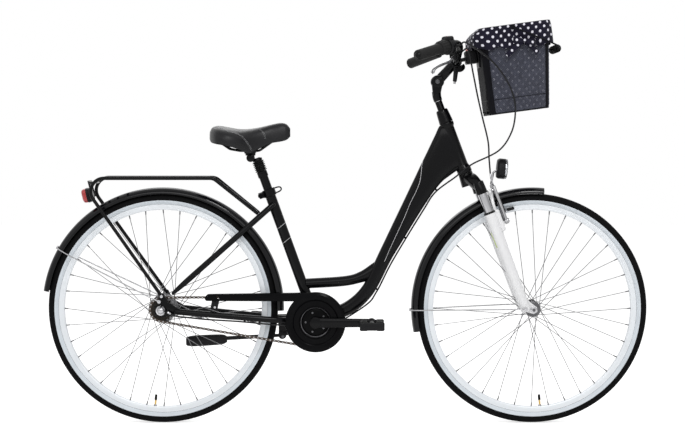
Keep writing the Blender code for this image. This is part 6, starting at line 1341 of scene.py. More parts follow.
def rack():
    back, front = REAR.x + RACK_BACK, REAR.x + RACK_FRONT
    foot_side = DROPOUT_INNER + DROPOUT_THICKNESS + 0.0003
    pieces = []
    for side in (-1, 1):
        foot = REAR + Vector((0.002, side * (foot_side + 0.0058), 0.043))
        stay = seatstay_path(side, 33)
        along = (stay[8] - stay[0]).normalized()
        nose = point_along(stay, RACK_HOLD) + Vector((along.z, 0, -along.x)) * (SEATSTAY_RADIUS
            + RACK_TUBE_RADIUS)
        corners = [foot, Vector((foot.x - 0.012, foot.y, foot.z + 0.018)), Vector((back - 0.046,
            side * RACK_HALF, RACK_HEIGHT)), Vector((front, side * (RACK_HALF - 0.006), RACK_HEIGHT)), nose]
        run = rounded(corners, [0.012, 0.04, 0.03])
        pieces.append(tube("rail", run, RACK_TUBE_RADIUS, FRAME_PAINT, 20))
        pieces.append(rod("foot", foot - LEFT * side * 0.0058, foot + LEFT * side * 0.0035, 0.0085,
            FRAME_PAINT))
        pieces.append(rod("bolt", foot + LEFT * side * 0.003, foot + LEFT * side * 0.0062, 0.005, CHROME,
            sides=6))
        pieces.append(block("strap", nose, (0.02, 0.004, 0.01), CHROME, Matrix.Rotation(radians(50), 4,
            "Y")))
    bend = min(run, key=lambda spot: abs(spot.x - back) + abs(spot.z - RACK_HEIGHT))
    for along, height in ((bend.x, bend.z), (back + 0.034, RACK_HEIGHT - 0.0015),
            (back + 0.076, RACK_HEIGHT - 0.0015), (front - 0.008, RACK_HEIGHT - 0.0015)):
        half = LEFT * (RACK_HALF - 0.001)
        pieces.append(rod("bar", Vector((along, 0, height)) - half, Vector((along, 0, height)) + half,
            0.0042, FRAME_PAINT, sides=20))
    pieces.append(block("light_plate", on_light(0, 0), (0.003, 0.078, 0.052), FRAME_PAINT, LIGHT_TURN,
        0.0012))
    for side in (-1, 1):
        link = Vector((bend.x, side * 0.025, bend.z))
        pieces.append(rod("link", link, on_light(0, 0.018) + LEFT * side * 0.025, 0.0035, FRAME_PAINT,
            sides=16))
        pieces.append(rod("bolt", on_light(-0.0014, 0.016) + LEFT * side * 0.025,
            on_light(-0.004, 0.016) + LEFT * side * 0.025, 0.004, CHROME, sides=6, ease=0.0003))
    fitted(joined("rack_tubes", *pieces), "frame", "frame_paint", "rear_rack")


LIGHT_TURN = Matrix.Rotation(radians(-14), 4, "Y")


def on_light(behind, height):
    """Point behind the tail light's plate, along its slant."""
    return Vector((REAR.x + RACK_BACK - 0.0145, 0, RACK_HEIGHT - 0.033)) + LIGHT_TURN @ Vector((-behind, 0,
        height))


def tail_light():
    middle = on_light(0.0168, -0.017)

    def ring(depth, grow):
        return oval(middle + LIGHT_TURN @ Vector((depth, 0, 0)), LIGHT_TURN @ Vector((0, 0.042 * grow, 0)),
            LIGHT_TURN @ Vector((0, 0, 0.0225 * grow)), 40, 4)

    case = skin("case", [ring(0.015, 0.9), ring(0.0146, 0.92), ring(0.004, 1.0), ring(0.0015, 1.0),
        ring(0.001, 0.98)], PLASTIC)
    lens = skin("lens", [ring(0.0016, 0.975), ring(-0.003, 0.975), ring(-0.0075, 0.955),
        ring(-0.0105, 0.905), ring(-0.0125, 0.8), ring(-0.0133, 0.6), ring(-0.0135, 0.3)], RED_PLASTIC)
    ribs = [tube("rib", [middle + LIGHT_TURN @ Vector((-0.0131, 0.03 * step / 8, height))
        for step in range(-8, 9)], 0.0006, RED_PLASTIC, 8) for height in (-0.009, -0.0045, 0.0, 0.0045,
        0.009)]
    fitted(joined("tail_light_lens", case, lens, *ribs), "frame", "tail_lens", "tail_light")


# Rear axle and kickstand

def kickstand_axis():
    return Vector((-0.161, 0.944, 0.283)).normalized()


def axle():
    outer = DROPOUT_INNER + DROPOUT_THICKNESS
    pieces = [rod("axle", REAR - LEFT * (outer + 0.01), REAR + LEFT * (outer + 0.014), 0.0048, DARK_STEEL)]
    for side in (-1, 1):
        cone = 0.051 if side < 0 else 0.062
        pieces.append(rod("nut", REAR + LEFT * side * (outer + 0.0002), REAR + LEFT * side * (outer + 0.008),
            0.0105, CHROME, 0.01, 6, 0.0007))
        pieces.append(rod("cone", REAR + LEFT * side * cone, REAR + LEFT * side * (DROPOUT_INNER - 0.0002),
            0.01, DARK_STEEL))
    cover = [(0.0, 0.006), (0.015, 0.006), (0.0153, 0.0085), (0.015, 0.013), (0.0138, 0.016), (0.0112, 0.02),
        (0.0098, 0.0225), (0.008, 0.0245), (0.004, 0.0257), (0.0, 0.026)]
    pieces.append(turned("cover", [(radius, -(outer + depth)) for radius, depth in cover], REAR, CHROME,
        steps=56, closed=False))
    start = REAR + LEFT * 0.0612
    run = smooth([start, start + Vector((0.03, -0.001, -0.012)), REAR + Vector((0.118, 0.048, -0.0335))], 20)
    pieces.append(skin("arm", [oval(spot, UP * 0.0058, LEFT * 0.0017, 16, 3) for spot in run], DARK_STEEL))
    pieces.append(rod("disc", REAR + LEFT * 0.0565, REAR + LEFT * 0.0635, 0.015, DARK_STEEL, ease=0.001))
    pieces.append(rod("arm_bolt", run[-1] - LEFT * 0.004, run[-1] + LEFT * 0.0045, 0.0045, CHROME, sides=6))
    fitted(joined("axle_and_covers", *pieces), "frame", "axle_steel", "rear_axle")


def kickstand():
    axis = kickstand_axis()
    back = Vector((-0.985, 0.055, -0.06)).normalized()
    start = KNUCKLE + LEFT * 0.0004
    eye = turned("eye", [(0.0048, -0.0042), (0.011, -0.0042), (0.012, -0.0032), (0.012, 0.0042),
        (0.011, 0.0052), (0.0048, 0.0052)], KNUCKLE, PLASTIC, axis, 40)
    leg = tube("leg", [start + back * 0.01, start + back * 0.05, start + back * 0.1, start + back * 0.2,
        start + back * 0.25], 0.0046, PLASTIC, 20, [1.1, 1.2, 1.35, 1.32, 1.3])
    rows = smooth_rows([(0.0, 0.0095, 0.0088), (0.12, 0.0155, 0.0108), (0.45, 0.0172, 0.012),
        (0.8, 0.0172, 0.0118), (0.96, 0.0145, 0.01), (1.0, 0.011, 0.0078)], 28)
    rings = [oval(start + back * (0.172 + 0.128 * share) - UP * 0.003, UP * tall, LEFT * wide, 28, 2.4)
        for share, tall, wide in rows]
    fitted(joined("kickstand_leg", eye, leg, skin("foot", rings, PLASTIC)), "kickstand", "black_plastic",
        "kickstand")


# Seatpost and saddle

def seatpost():
    bore = 0.0111
    profile = [(bore, POST_TOP), (0.0148, POST_TOP), (0.0158, POST_TOP - 0.001), (0.0158, POST_TOP - 0.0055),
        (0.0154, POST_TOP - 0.006), (0.0158, POST_TOP - 0.0065), (0.0158, POST_TOP - 0.017),
        (0.015, POST_TOP - 0.018), (POST_RADIUS, POST_TOP - 0.018), (POST_RADIUS, POST_BOTTOM),
        (bore, POST_BOTTOM)]
    post = turned("seatpost_skin", profile, BRACKET, FRAME_PAINT, SEAT_UP, 56)
    fitted(post, "seatpost", "frame_paint", "seatpost")
    low, high = POST_TOP + 0.0003, BELLOWS_TOP - 0.0003
    outer = []
    for step in range(73):
        share = step / 72
        outer.append((0.0166 + 0.0024 * cos(2 * pi * 6 * share + pi), high + (low - high) * share))
    boot = turned("bellows_ribs", outer + [(0.0116, low), (0.0116, high)], BRACKET, BELLOWS_RUBBER, SEAT_UP,
        56, crease=80)
    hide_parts("seatpost_bellows")
    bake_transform(boot, "seatpost", "piston", start=tuple(BRACKET + SEAT_UP * low),
        end=tuple(BRACKET + SEAT_UP * high))
    profile = [(0, BELLOWS_TOP + 0.01), (0.009, BELLOWS_TOP + 0.01), (0.01, BELLOWS_TOP + 0.0095),
        (0.0146, BELLOWS_TOP + 0.0072), (0.015, BELLOWS_TOP + 0.0064), (0.015, BELLOWS_TOP + 0.0004),
        (0.0144, BELLOWS_TOP), (0.0108, BELLOWS_TOP), (0.0108, POST_BOTTOM + 0.115),
        (0, POST_BOTTOM + 0.115)]
    body = turned("piston", profile, BRACKET, FRAME_PAINT, SEAT_UP, 56, closed=False)
    barrel = rod("barrel", SADDLE_PIVOT - LEFT * 0.019, SADDLE_PIVOT + LEFT * 0.019, 0.0125, FRAME_PAINT,
        ease=0.001)
    fitted(joined("piston_and_barrel", body, barrel), "piston", "frame_paint", "seatpost_piston")


STATIONS = [(-0.123, 0.3, 0.0815, 0.056, 0.064), (-0.1155, 0.62, 0.0925, 0.047, 0.06),
    (-0.0975, 0.92, 0.098, 0.042, 0.054), (-0.0675, 1.0, 0.0935, 0.037, 0.05),
    (-0.0335, 0.88, 0.088, 0.027, 0.048), (-0.0035, 0.6, 0.0885, 0.0155, 0.047),
    (0.0295, 0.38, 0.0935, 0.03, 0.049), (0.0605, 0.27, 0.101, 0.044, 0.054),
    (0.0905, 0.225, 0.1065, 0.0495, 0.059), (0.1085, 0.19, 0.103, 0.0545, 0.064),
    (0.1205, 0.11, 0.09, 0.065, 0.07)]


def saddle_base(along):
    rows = [(station[0], station[4]) for station in STATIONS]
    for (near, low), (far, high) in zip(rows, rows[1:]):
        if along <= far:
            return low + (high - low) * (along - near) / (far - near)
    return rows[-1][1]


def saddle():
    """Padded cover, its stitching, the bent rails and the clamp."""
    rings = []
    for along, wide, top, skirt, base in smooth_rows(STATIONS, 72):
        half = 0.1 * wide
        drop = top - skirt
        side = [(0.0, top), (0.22 * half, top - 0.012 * drop), (0.42 * half, top - 0.05 * drop),
            (0.62 * half, top - 0.11 * drop), (0.78 * half, top - 0.2 * drop),
            (0.9 * half, top - 0.33 * drop), (0.97 * half, top - 0.48 * drop), (half, top - 0.64 * drop),
            (half, top - 0.8 * drop), (0.985 * half, skirt + 0.003), (0.965 * half, skirt),
            (0.9 * half, skirt + 0.0005), (0.86 * half, skirt + 0.004), (0.8 * half, base)]
        profile = side + [(-across, height) for across, height in reversed(side[1:])]
        rings.append([SADDLE_PIVOT + Vector((along, across, height)) for across, height in profile])
    shape = grown(rings)
    tree = BVHTree.FromBMesh(shape)
    cover = made("saddle_cover", shape, VINYL, crease=60)
    fitted(cover, "saddle", "saddle_cover", "saddle")
    fitted(stitches(tree), "saddle", "saddle_cover")

    level, half = 0.0215, 0.021
    right = [SADDLE_PIVOT + Vector(spot) for spot in ((-0.098, 0.04, saddle_base(-0.098) - 0.002),
        (-0.062, 0.027, 0.027), (-0.032, half, level), (0.026, half, level), (0.052, 0.013, 0.04),
        (0.072, 0.0075, saddle_base(0.072) - 0.002))]
    run = rounded(right, [0.015, 0.015, 0.018, 0.012])
    pieces = [tube("rail", run, 0.0035, FRAME_PAINT, 16), tube("rail", [mirrored(point) for point in run],
        0.0035, FRAME_PAINT, 16), tube("nose", [run[-1], mirrored(run[-1])], 0.0035, FRAME_PAINT, 16)]
    pieces.append(block("yoke", SADDLE_PIVOT + Vector((-0.001, 0, level - 0.0005)), (0.035, 0.056, 0.016),
        FRAME_PAINT, ease=0.003))
    pieces.append(block("cradle", SADDLE_PIVOT + Vector((-0.0005, 0, 0.012)), (0.03, 0.03, 0.01),
        FRAME_PAINT, ease=0.002))
    for side in (-1, 1):
        pieces.append(rod("bolt", SADDLE_PIVOT + Vector((0, side * 0.0275, level)),
            SADDLE_PIVOT + Vector((0, side * 0.031, level)), 0.006, CHROME, sides=6))
    fitted(joined("rails_and_clamp", *pieces), "saddle", "frame_paint", "saddle_rails")


def stitches(tree):
    """Rows of thread laid on the cover by dropping rays onto it."""
    lines = []
    for offset in (0.0, 0.0035):
        for side in (-1, 1):
            points = [(-0.118 + offset, 0.0), (-0.106 + offset, side * 0.046),
                (-0.078 + offset, side * 0.07), (-0.052, side * (0.076 - offset)),
                (-0.03, side * (0.0745 - offset))]
            lines.append(smooth([Vector((along, left, 0)) for along, left in points], 240))
        for side in (-1, 1):
            lines.append(smooth([Vector((-0.036 + offset, 0, 0)), Vector((-0.034 + offset, side * 0.03, 0)),
                Vector((-0.029 + offset, side * 0.062, 0))], 160))
    casts = [(line, UP) for line in lines]
    rear_seam = [(-0.3936, 0.9036), (-0.3536, 0.8915), (-0.3164, 0.8791), (-0.2915, 0.8482),
        (-0.2855, 0.8342)]
    front_seam = [(-0.2636, 0.9006), (-0.2482, 0.8851), (-0.2437, 0.8667)]
    for seam in (rear_seam, front_seam):
        for offset in (0.0, 0.0034):
            run = smooth([Vector((along + offset, 0, height)) - SADDLE_PIVOT for along, height in seam], 240)
            casts += [(run, LEFT * side) for side in (-1, 1)]
    shape = bmesh.new()
    for line, toward in casts:
        walked, last = 0.0, None
        for point in line:
            start = SADDLE_PIVOT + point + toward * 0.2
            hit, normal, _, _ = tree.ray_cast(start, -toward)
            if hit is None:
                continue
            if last is not None:
                walked += (hit - last).length
                if walked > 0.0042:
                    way = (hit - last).normalized()
                    walked = 0.0
                    turn = with_axes(way, normal.cross(way), normal)
                    bmesh.ops.create_uvsphere(shape, u_segments=6, v_segments=4, radius=1,
                        matrix=Matrix.Translation(hit + normal * 0.0001) @ turn
                        @ Matrix.Diagonal((0.0016, 0.0005, 0.00045, 1)))
            last = hit
    return made("saddle_stitches", shape, THREAD, crease=80)


# Fork

def fork():
    top = FORK_LENGTH + HEAD_TUBE_LENGTH + 0.006
    pieces = [rod("steerer", on_steering(CROWN_THROAT), on_steering(top), 0.0143, DARK_STEEL),
        rod("race", on_steering(CROWN_THROAT), on_steering(FORK_LENGTH - 0.0002), 0.025, FRAME_PAINT, 0.0215,
        48, 0.001)]
    rows = []
    for left, ahead, low, high, half in ((LEG_SPACING, LEG_OFFSET, CROWN_BOTTOM + 0.008, CROWN_TOP - 0.002,
            0.014), (0.034, 0.012, CROWN_THROAT - 0.003, FORK_LENGTH - 0.0122, 0.018),
            (0.0, 0.004, CROWN_THROAT, FORK_LENGTH - 0.0042, 0.0205)):
        rows.append((left, ahead, (low + high) / 2, (high - low) / 2, half))
    rows += [(-left, *rest) for left, *rest in reversed(rows[:-1])]
    rings = [oval(on_steering(middle, ahead, left), STEER_UP * tall, STEER_FORWARD * deep, 32, 3.4) for left,
        ahead, middle, tall, deep in smooth_rows(rows, 49)]
    pieces.append(skin("crown", rings, FRAME_PAINT, crease=50))
    for side in (-1, 1):
        place = on_steering(0, LEG_OFFSET, side * LEG_SPACING)
        boss = [(0.0138, CROWN_BOTTOM), (0.0165, CROWN_BOTTOM), (0.0172, CROWN_BOTTOM + 0.001),
            (0.0156, CROWN_TOP - 0.003), (0.014, CROWN_TOP), (0.0, CROWN_TOP)]
        pieces.append(turned("boss", boss, place, FRAME_PAINT, STEER_UP, 56, closed=False))
        pieces.append(rod("cap", place + STEER_UP * (CROWN_TOP - 0.002), place + STEER_UP
            * (CROWN_TOP - 0.0002), 0.0085, CHROME, 0.008, 40, 0.0008))
        pieces.append(rod("stanchion", place + STEER_UP * 0.185, place + STEER_UP * (CROWN_TOP - 0.004),
            0.0138, CHROME, sides=56))
    fitted(joined("fork_crown_skin", *pieces), "steering", "frame_paint", "fork_crown")

    pieces = []
    for side in (-1, 1):
        place = on_steering(0, LEG_OFFSET, side * LEG_SPACING)
        profile = [(0.0141, LEG_TOP + 0.0055), (0.0165, LEG_TOP + 0.0053), (0.0172, LEG_TOP + 0.0045),
            (0.0175, LEG_TOP - 0.0008), (0.0178, LEG_TOP - 0.001), (0.0182, LEG_TOP - 0.003),
            (0.0182, LEG_TOP - 0.05), (0.0172, 0.14), (0.0158, 0.014), (0.0148, 0.0075), (0.012, 0.004),
            (0.0141, 0.138), (0.0141, LEG_TOP)]
        leg = turned("leg", profile[:-2] + [(0.0, 0.004), (0.0, 0.138), *profile[-2:]], place,
            [WHITE_PAINT, GRIP_RUBBER], STEER_UP, 64, pick=lambda radius, along: int(along > LEG_TOP
            - 0.0009), closed=False)
        pieces.append(leg)
        rings = []
        for share in [step / 12 for step in range(13)]:
            centre = place + STEER_UP * (LEG_TOP - 0.055 - 0.05 * share)
            reach = 0.01832 - 0.0001 * share
            lean = radians(-72 + 8 * share)
            rings.append([centre + (STEER_FORWARD * sin(lean + turn) + LEFT * side * cos(lean + turn))
                * (reach + grow) for turn, grow in ((-0.13, 0), (0, 0.0001), (0.13, 0), (0.13, -0.0006),
                (-0.13, -0.0006))])
        pieces.append(skin("stripe", rings, LIME_PAINT))
        outline = ((LEG_OFFSET - 0.004, 0.04), (LEG_OFFSET - 0.006, 0.006), (FORK_OFFSET - 0.004, -0.0125),
            (FORK_OFFSET + 0.009, -0.0095), (FORK_OFFSET + 0.0125, 0.004), (FORK_OFFSET - 0.002, 0.026),
            (LEG_OFFSET + 0.013, 0.052))
        rings = [[on_steering(low, ahead, side * (HUB_HALF + 0.0003 + thick)) for ahead, low in outline]
            for thick in (0.0, 0.0085)]
        pieces.append(skin("tab", rings, WHITE_PAINT, ease=0.0022))
        end = on_steering(BOSS_HEIGHT, 0.056, side * BOSS_SPACING)
        pieces.append(block("lug", on_steering(BOSS_HEIGHT, 0.0385, side * 0.042), (0.025, 0.017, 0.019),
            WHITE_PAINT, STEER_TURN, 0.005))
        pieces.append(rod("boss", end - STEER_FORWARD * 0.016, end, 0.0085, WHITE_PAINT, ease=0.0012))
        pieces.append(rod("stud", end - STEER_FORWARD * 0.004, end + STEER_FORWARD * 0.0165, 0.004, CHROME))
        pieces.append(block("cheek", on_steering(LEG_TOP - 0.03, LEG_OFFSET + 0.0221,
            side * (LEG_SPACING - 0.001)), (0.015, 0.019, 0.07), WHITE_PAINT, STEER_TURN, 0.006, 4))
        pieces.append(rod("nut", FRONT + LEFT * side * (HUB_HALF + 0.0085), FRONT + LEFT * side
            * (HUB_HALF + 0.0155), 0.0095, CHROME, 0.009, 6, 0.0007))
        pieces.append(rod("washer", FRONT + LEFT * side * (HUB_HALF + 0.008),
            FRONT + LEFT * side * (HUB_HALF + 0.0094), 0.0105, CHROME))
    back, ahead = LEG_OFFSET + 0.0195, LEG_OFFSET + 0.0335
    crest = GUARD_RADIUS + 0.0012
    rings = []
    for index in range(49):
        angle = pi * index / 48
        left = (LEG_SPACING - 0.004) * cos(angle)
        low = LEG_TOP - 0.02 + (crest - LEG_TOP + 0.02) * sin(angle) ** 0.55
        high = LEG_TOP - 0.004 + (crest + 0.016 - LEG_TOP + 0.004) * sin(angle) ** 0.62
        inset = 0.01 * abs(cos(angle)) ** 3
        centre = on_steering((low + high) / 2, (back + ahead - inset * 1.4) / 2, left)
        rings.append(oval(centre, STEER_UP * (high - low) / 2, STEER_FORWARD * (ahead - back - inset * 0.6)
            / 2, 24, 4))
    pieces.append(skin("arch", rings, WHITE_PAINT, crease=50))
    pieces.append(rod("axle", FRONT - LEFT * (HUB_HALF + 0.0183), FRONT + LEFT * (HUB_HALF + 0.0183), 0.0048,
        DARK_STEEL))
    fitted(joined("fork_legs", *pieces), "fork_lowers", "fork_white", "fork_lowers")
    for name, side in (("right", -1), ("left", 1)):
        brake_arm(name, side)


def brake_arm(name, side):
    pivot = on_steering(BOSS_HEIGHT, 0, side * BOSS_SPACING)
    near, far = 0.0585, 0.07
    middle = (near + far) / 2
    pieces = [rod("eye", pivot + STEER_FORWARD * near, pivot + STEER_FORWARD * far, 0.009, SILVER,
        ease=0.001), rod("bolt", pivot + STEER_FORWARD * far, pivot + STEER_FORWARD * (far + 0.0035), 0.0055,
        CHROME)]
    rows = smooth_rows([(0.0, 0.0, 0.0085), (0.032, 0.003, 0.007), (0.085, 0.006, 0.0055),
        (0.114, 0.004, 0.0045)], 24)
    rings = [oval(pivot + STEER_UP * height + STEER_FORWARD * middle + LEFT * side * left, LEFT * tall,
        STEER_FORWARD * 0.005, 20, 4) for height, left, tall in rows]
    pieces.append(skin("arm", rings, SILVER, crease=50))
    pad_radius = (RIM_INNER + 0.005 + BAND_INNER) / 2
    ahead = 0.08
    height = sqrt(pad_radius ** 2 - (ahead - FORK_OFFSET) ** 2)
    turn = STEER_TURN @ Matrix.Rotation(atan2(ahead - FORK_OFFSET, height), 4, "Y")
    side_of_rim = RIM_HALF_WIDTH + 0.0022
    pieces.append(block("shoe", on_steering(height, ahead, side * (side_of_rim + 0.0055)),
        (0.042, 0.011, 0.009), GRIP_RUBBER, turn, 0.002))
    pieces.append(rod("post", on_steering(height, ahead, side * (side_of_rim + 0.004)),
        on_steering(height, middle + 0.002, side * (BOSS_SPACING + 0.003)), 0.0042, CHROME, sides=20))
    spring = [pivot + STEER_UP * height + STEER_FORWARD * (near - 0.0016) + LEFT * side * left for height,
        left in ((0.006, 0.009), (0.03, 0.0125), (0.062, 0.012))]
    pieces.append(tube("spring", smooth(spring, 16), 0.0019, DARK_STEEL, 10))
    pieces.append(block("spring_cover", pivot + STEER_UP * 0.048 + STEER_FORWARD * (far + 0.0004) + LEFT
        * side * 0.0045, (0.0026, 0.0085, 0.044), PLASTIC, STEER_TURN, 0.001))
    if side < 0:
        top = pivot + STEER_UP * 0.113 + STEER_FORWARD * middle - LEFT * 0.0035
        bend = [top + Vector((0, 0.006, 0.0)), top + Vector((-0.004, -0.004, 0.01)),
            top + Vector((-0.008, -0.006, 0.024)), top + Vector((-0.01, -0.004, 0.036))]
        pieces.append(tube("noodle", smooth(bend, 24), 0.0026, CHROME, 12))
    fitted(joined(f"brake_arm_{name}_skin", *pieces), f"brake_arm_{name}", "silver_alloy",
        f"brake_arm_{name}")


def headlight():
    """Round lamp with a chrome bowl behind a ribbed lens, on a bent strap."""
    lamp = on_steering(0.433, 0.1075)
    aim = Vector((cos(radians(5)), 0, -sin(radians(5))))
    shell = [(0.0, -0.0145), (0.018, -0.0144), (0.0265, -0.014), (0.029, -0.0115), (0.0308, -0.0078),
        (0.031, -0.006), (0.031, 0.0105), (0.0306, 0.0112), (0.029, 0.0112), (0.028, 0.009), (0.02, -0.004),
        (0.008, -0.01), (0.0, -0.0105)]
    body = turned("bowl", shell, lamp, [PLASTIC, CHROME], aim, 64, closed=False, pick=lambda radius,
        along: int(radius < 0.0285 and -0.011 < along < 0.01 and radius * 0.9 > along))
    rings = []
    for grow, depth in ((0.0306, 0.0113), (0.0308, 0.015), (0.029, 0.0172), (0.024, 0.0184), (0.016, 0.0192),
            (0.008, 0.0196), (0.0015, 0.0197)):
        turn = FORWARD.rotation_difference(aim)
        ring = []
        for step in range(96):
            angle = 2 * pi * step / 96
            ripple = 0.00035 * cos(24 * angle) if 0.004 < grow < 0.03 else 0.0
            ring.append(lamp + turn @ Vector((depth + ripple, grow * cos(angle), grow * sin(angle))))
        rings.append(ring)
    lens = skin("lens", rings, LENS, crease=70)
    ribs = [turned("rib", [(radius - 0.0005, 0.01), (radius + 0.0005, 0.01), (radius + 0.0005, depth),
        (radius - 0.0005, depth)], lamp, CHROME, aim, 56) for radius, depth in ((0.029, 0.0165),
        (0.0235, 0.0176), (0.0175, 0.0184), (0.011, 0.0188))]
    foot_at = on_steering(GUARD_RADIUS + 0.011, LEG_OFFSET + 0.0338)
    foot = rod("foot", foot_at, foot_at + STEER_FORWARD * 0.006, 0.007, CHROME, 0.0062, 24)
    strap_foot = foot_at + STEER_FORWARD * 0.006
    strap = [strap_foot - STEER_UP * 0.004, strap_foot + STEER_UP * 0.02, lamp - aim * 0.024 - UP * 0.012,
        lamp - aim * 0.012 - UP * 0.006]
    wire = tube("strap", rounded(strap, [0.006, 0.006]), 0.0034, CHROME, 16)
    bulb = rod("bulb", lamp - aim * 0.0098, lamp - aim * 0.0005, 0.0036, LENS, 0.0022, 20, 0.001)
    fitted(joined("headlight_bowl", body, lens, foot, wire, bulb, *ribs), "fork_lowers", "black_plastic",
        "headlight")


# Stem, handlebar and its controls

def stem():
    low = FORK_LENGTH + HEAD_TUBE_LENGTH
    pieces = [rod("quill", on_steering(low - 0.07), on_steering(STEM_HEIGHT - 0.04), 0.0111, FRAME_PAINT,
        sides=48)]
    cover = [(0.0, low + 0.043), (0.0118, low + 0.043), (0.016, low + 0.0422), (0.0182, low + 0.0385),
        (0.0192, low + 0.03), (0.0205, low + 0.015), (0.0212, low + 0.006), (0.0215, low + 0.004),
        (0.0215, low + 0.001), (0.0208, low + 0.0004), (0.0152, low + 0.0004), (0.0152, low + 0.0065),
        (0.0, low + 0.0065)]
    pieces.append(turned("cover", cover, STEER_FOOT, FRAME_PAINT, STEER_UP, 64, closed=False))
    top = STEM_HEIGHT - 0.0548
    pieces.append(turned("collar", [(0.0108, top - 0.0018), (0.0124, top - 0.0018), (0.0126, top - 0.001),
        (0.0124, top), (0.0108, top)], STEER_FOOT, SILVER, STEER_UP, 56))
    rows = smooth_rows([(STEM_HEIGHT - 0.055, 0.0, 0.013, 0.013), (STEM_HEIGHT - 0.042, 0.001, 0.0138,
        0.0145), (STEM_HEIGHT - 0.024, 0.006, 0.015, 0.0172)], 16)
    rings = [oval(on_steering(height, ahead), STEER_FORWARD * half, LEFT * wide, 36, 2.3) for height, ahead,
        half, wide in rows]
    pieces.append(skin("neck", rings, FRAME_PAINT, crease=60))
    for side in (-1, 1):
        pieces.append(rod("ear", STEM_PIVOT + LEFT * side * 0.0119, STEM_PIVOT + LEFT * side * 0.02, 0.0198,
            FRAME_PAINT, ease=0.0026, sides=56))
        rings = [oval(on_steering(height, ahead, side * 0.01595), STEER_FORWARD * half, LEFT * 0.004, 24, 5)
            for height, ahead, half in smooth_rows([(STEM_HEIGHT - 0.034, 0.004, 0.012),
            (STEM_HEIGHT - 0.02, 0.01, 0.015), (STEM_HEIGHT - 0.004, STEM_OFFSET - 0.001, 0.0178)], 10)]
        pieces.append(skin("web", rings, FRAME_PAINT, crease=60))
        pieces.append(rod("bolt_head", STEM_PIVOT + LEFT * side * 0.0195, STEM_PIVOT + LEFT * side * 0.0213,
            0.0074, DARK_STEEL, 0.0066, 32))
        pieces.append(rod("socket", STEM_PIVOT + LEFT * side * 0.0205, STEM_PIVOT + LEFT * side * 0.0214,
            0.0036, DARK_STEEL, sides=6, ease=0.0002))
    fitted(joined("stem_quill_skin", *pieces), "steering", "frame_paint", "stem_quill")

    along = (BAR_CENTRE - STEM_PIVOT).normalized()
    across = Vector((-along.z, 0, along.x))
    pieces = [rod("tongue", STEM_PIVOT - LEFT * 0.0115, STEM_PIVOT + LEFT * 0.0115, 0.0178, FRAME_PAINT,
        ease=0.0015, sides=56)]
    rows = smooth_rows([(0.006, 0.015, 0.011), (0.024, 0.0148, 0.0112), (0.036, 0.0146, 0.0145),
        (0.046, 0.0146, 0.0172), (STEM_LENGTH - 0.004, 0.015, 0.02)], 24)
    rings = [oval(STEM_PIVOT + along * place, across * tall, LEFT * wide, 36, 2.6) for place, tall,
        wide in rows]
    pieces.append(skin("arm", rings, FRAME_PAINT, crease=60))
    pieces.append(turned("clamp", band_profile(CLAMP_BORE, 0.018, 0.019, 0.022, 0.021), BAR_CENTRE,
        FRAME_PAINT, steps=64))
    for side in (-1, 1):
        bolt = BAR_CENTRE + along * 0.016 + LEFT * side * 0.013 - across * 0.004
        pieces.append(rod("bolt", bolt, bolt + along * 0.0042, 0.0042, CHROME, sides=24))
    fitted(joined("stem_arm_skin", *pieces), "handlebar", "frame_paint", "stem_arm")


def handlebar():
    right = [Vector((BAR_END.x, -BAR_END.y, BAR_END.z)), Vector((BAR_SHOULDER.x, -BAR_SHOULDER.y,
        BAR_SHOULDER.z)), Vector((0, -0.066, 0)), Vector((0, -0.0204, 0))]
    run = rounded(right, [0.055, 0.04], radians(4))
    run = run[:-1] + [Vector((0, -0.049, 0)), Vector((0, -0.0455, 0)), run[-1]]
    route = [BAR_CENTRE + point for point in run] + [BAR_CENTRE + mirrored(point) for point in reversed(run)]
    thick = 0.0127 / BAR_RADIUS
    widths = [1.0] * (len(run) - 2) + [thick] * 4 + [1.0] * (len(run) - 2)
    fitted(tube("handlebar_skin", route, BAR_RADIUS, FRAME_PAINT, 32, widths), "handlebar", "frame_paint",
        "handlebar")
    for name, side, length in (("right", -1, GRIP_LENGTH), ("left", 1, LEFT_GRIP_LENGTH)):
        along, _, _ = grip_axes(side)
        outer = [(0.0, 0.0042), (0.01, 0.0042), (0.0135, 0.0037), (0.0158, 0.0022), (GRIP_RADIUS, 0.0002)]
        count = int(length / 0.003)
        for step in range(1, count):
            outer.append((GRIP_RADIUS - (0.0007 if step % 2 else 0.0), -length * step / count))
        outer += [(GRIP_RADIUS, -length + 0.001), (GRIP_RADIUS - 0.001, -length), (0.0112, -length),
            (0.0112, -0.004), (0.0, -0.004)]
        sleeve = turned("sleeve", outer, on_grip(side, 0), GRIP_RUBBER, along, 56, closed=False, crease=70)
        fitted(joined(f"grip_{name}_rubber", sleeve), "handlebar", "rubber", f"grip_{name}")
    twist_and_shifter()
    levers()
    bell()


def shifter_outlet():
    """Ends of the short spout through which the gear cable leaves the shifter."""
    start = GRIP_LENGTH + TWIST_LENGTH + 0.0006
    return (on_grip(-1, start + SHIFTER_LENGTH / 2, 0.004, 0.02), on_grip(-1, start + SHIFTER_LENGTH * 0.62,
        -0.001, 0.043))


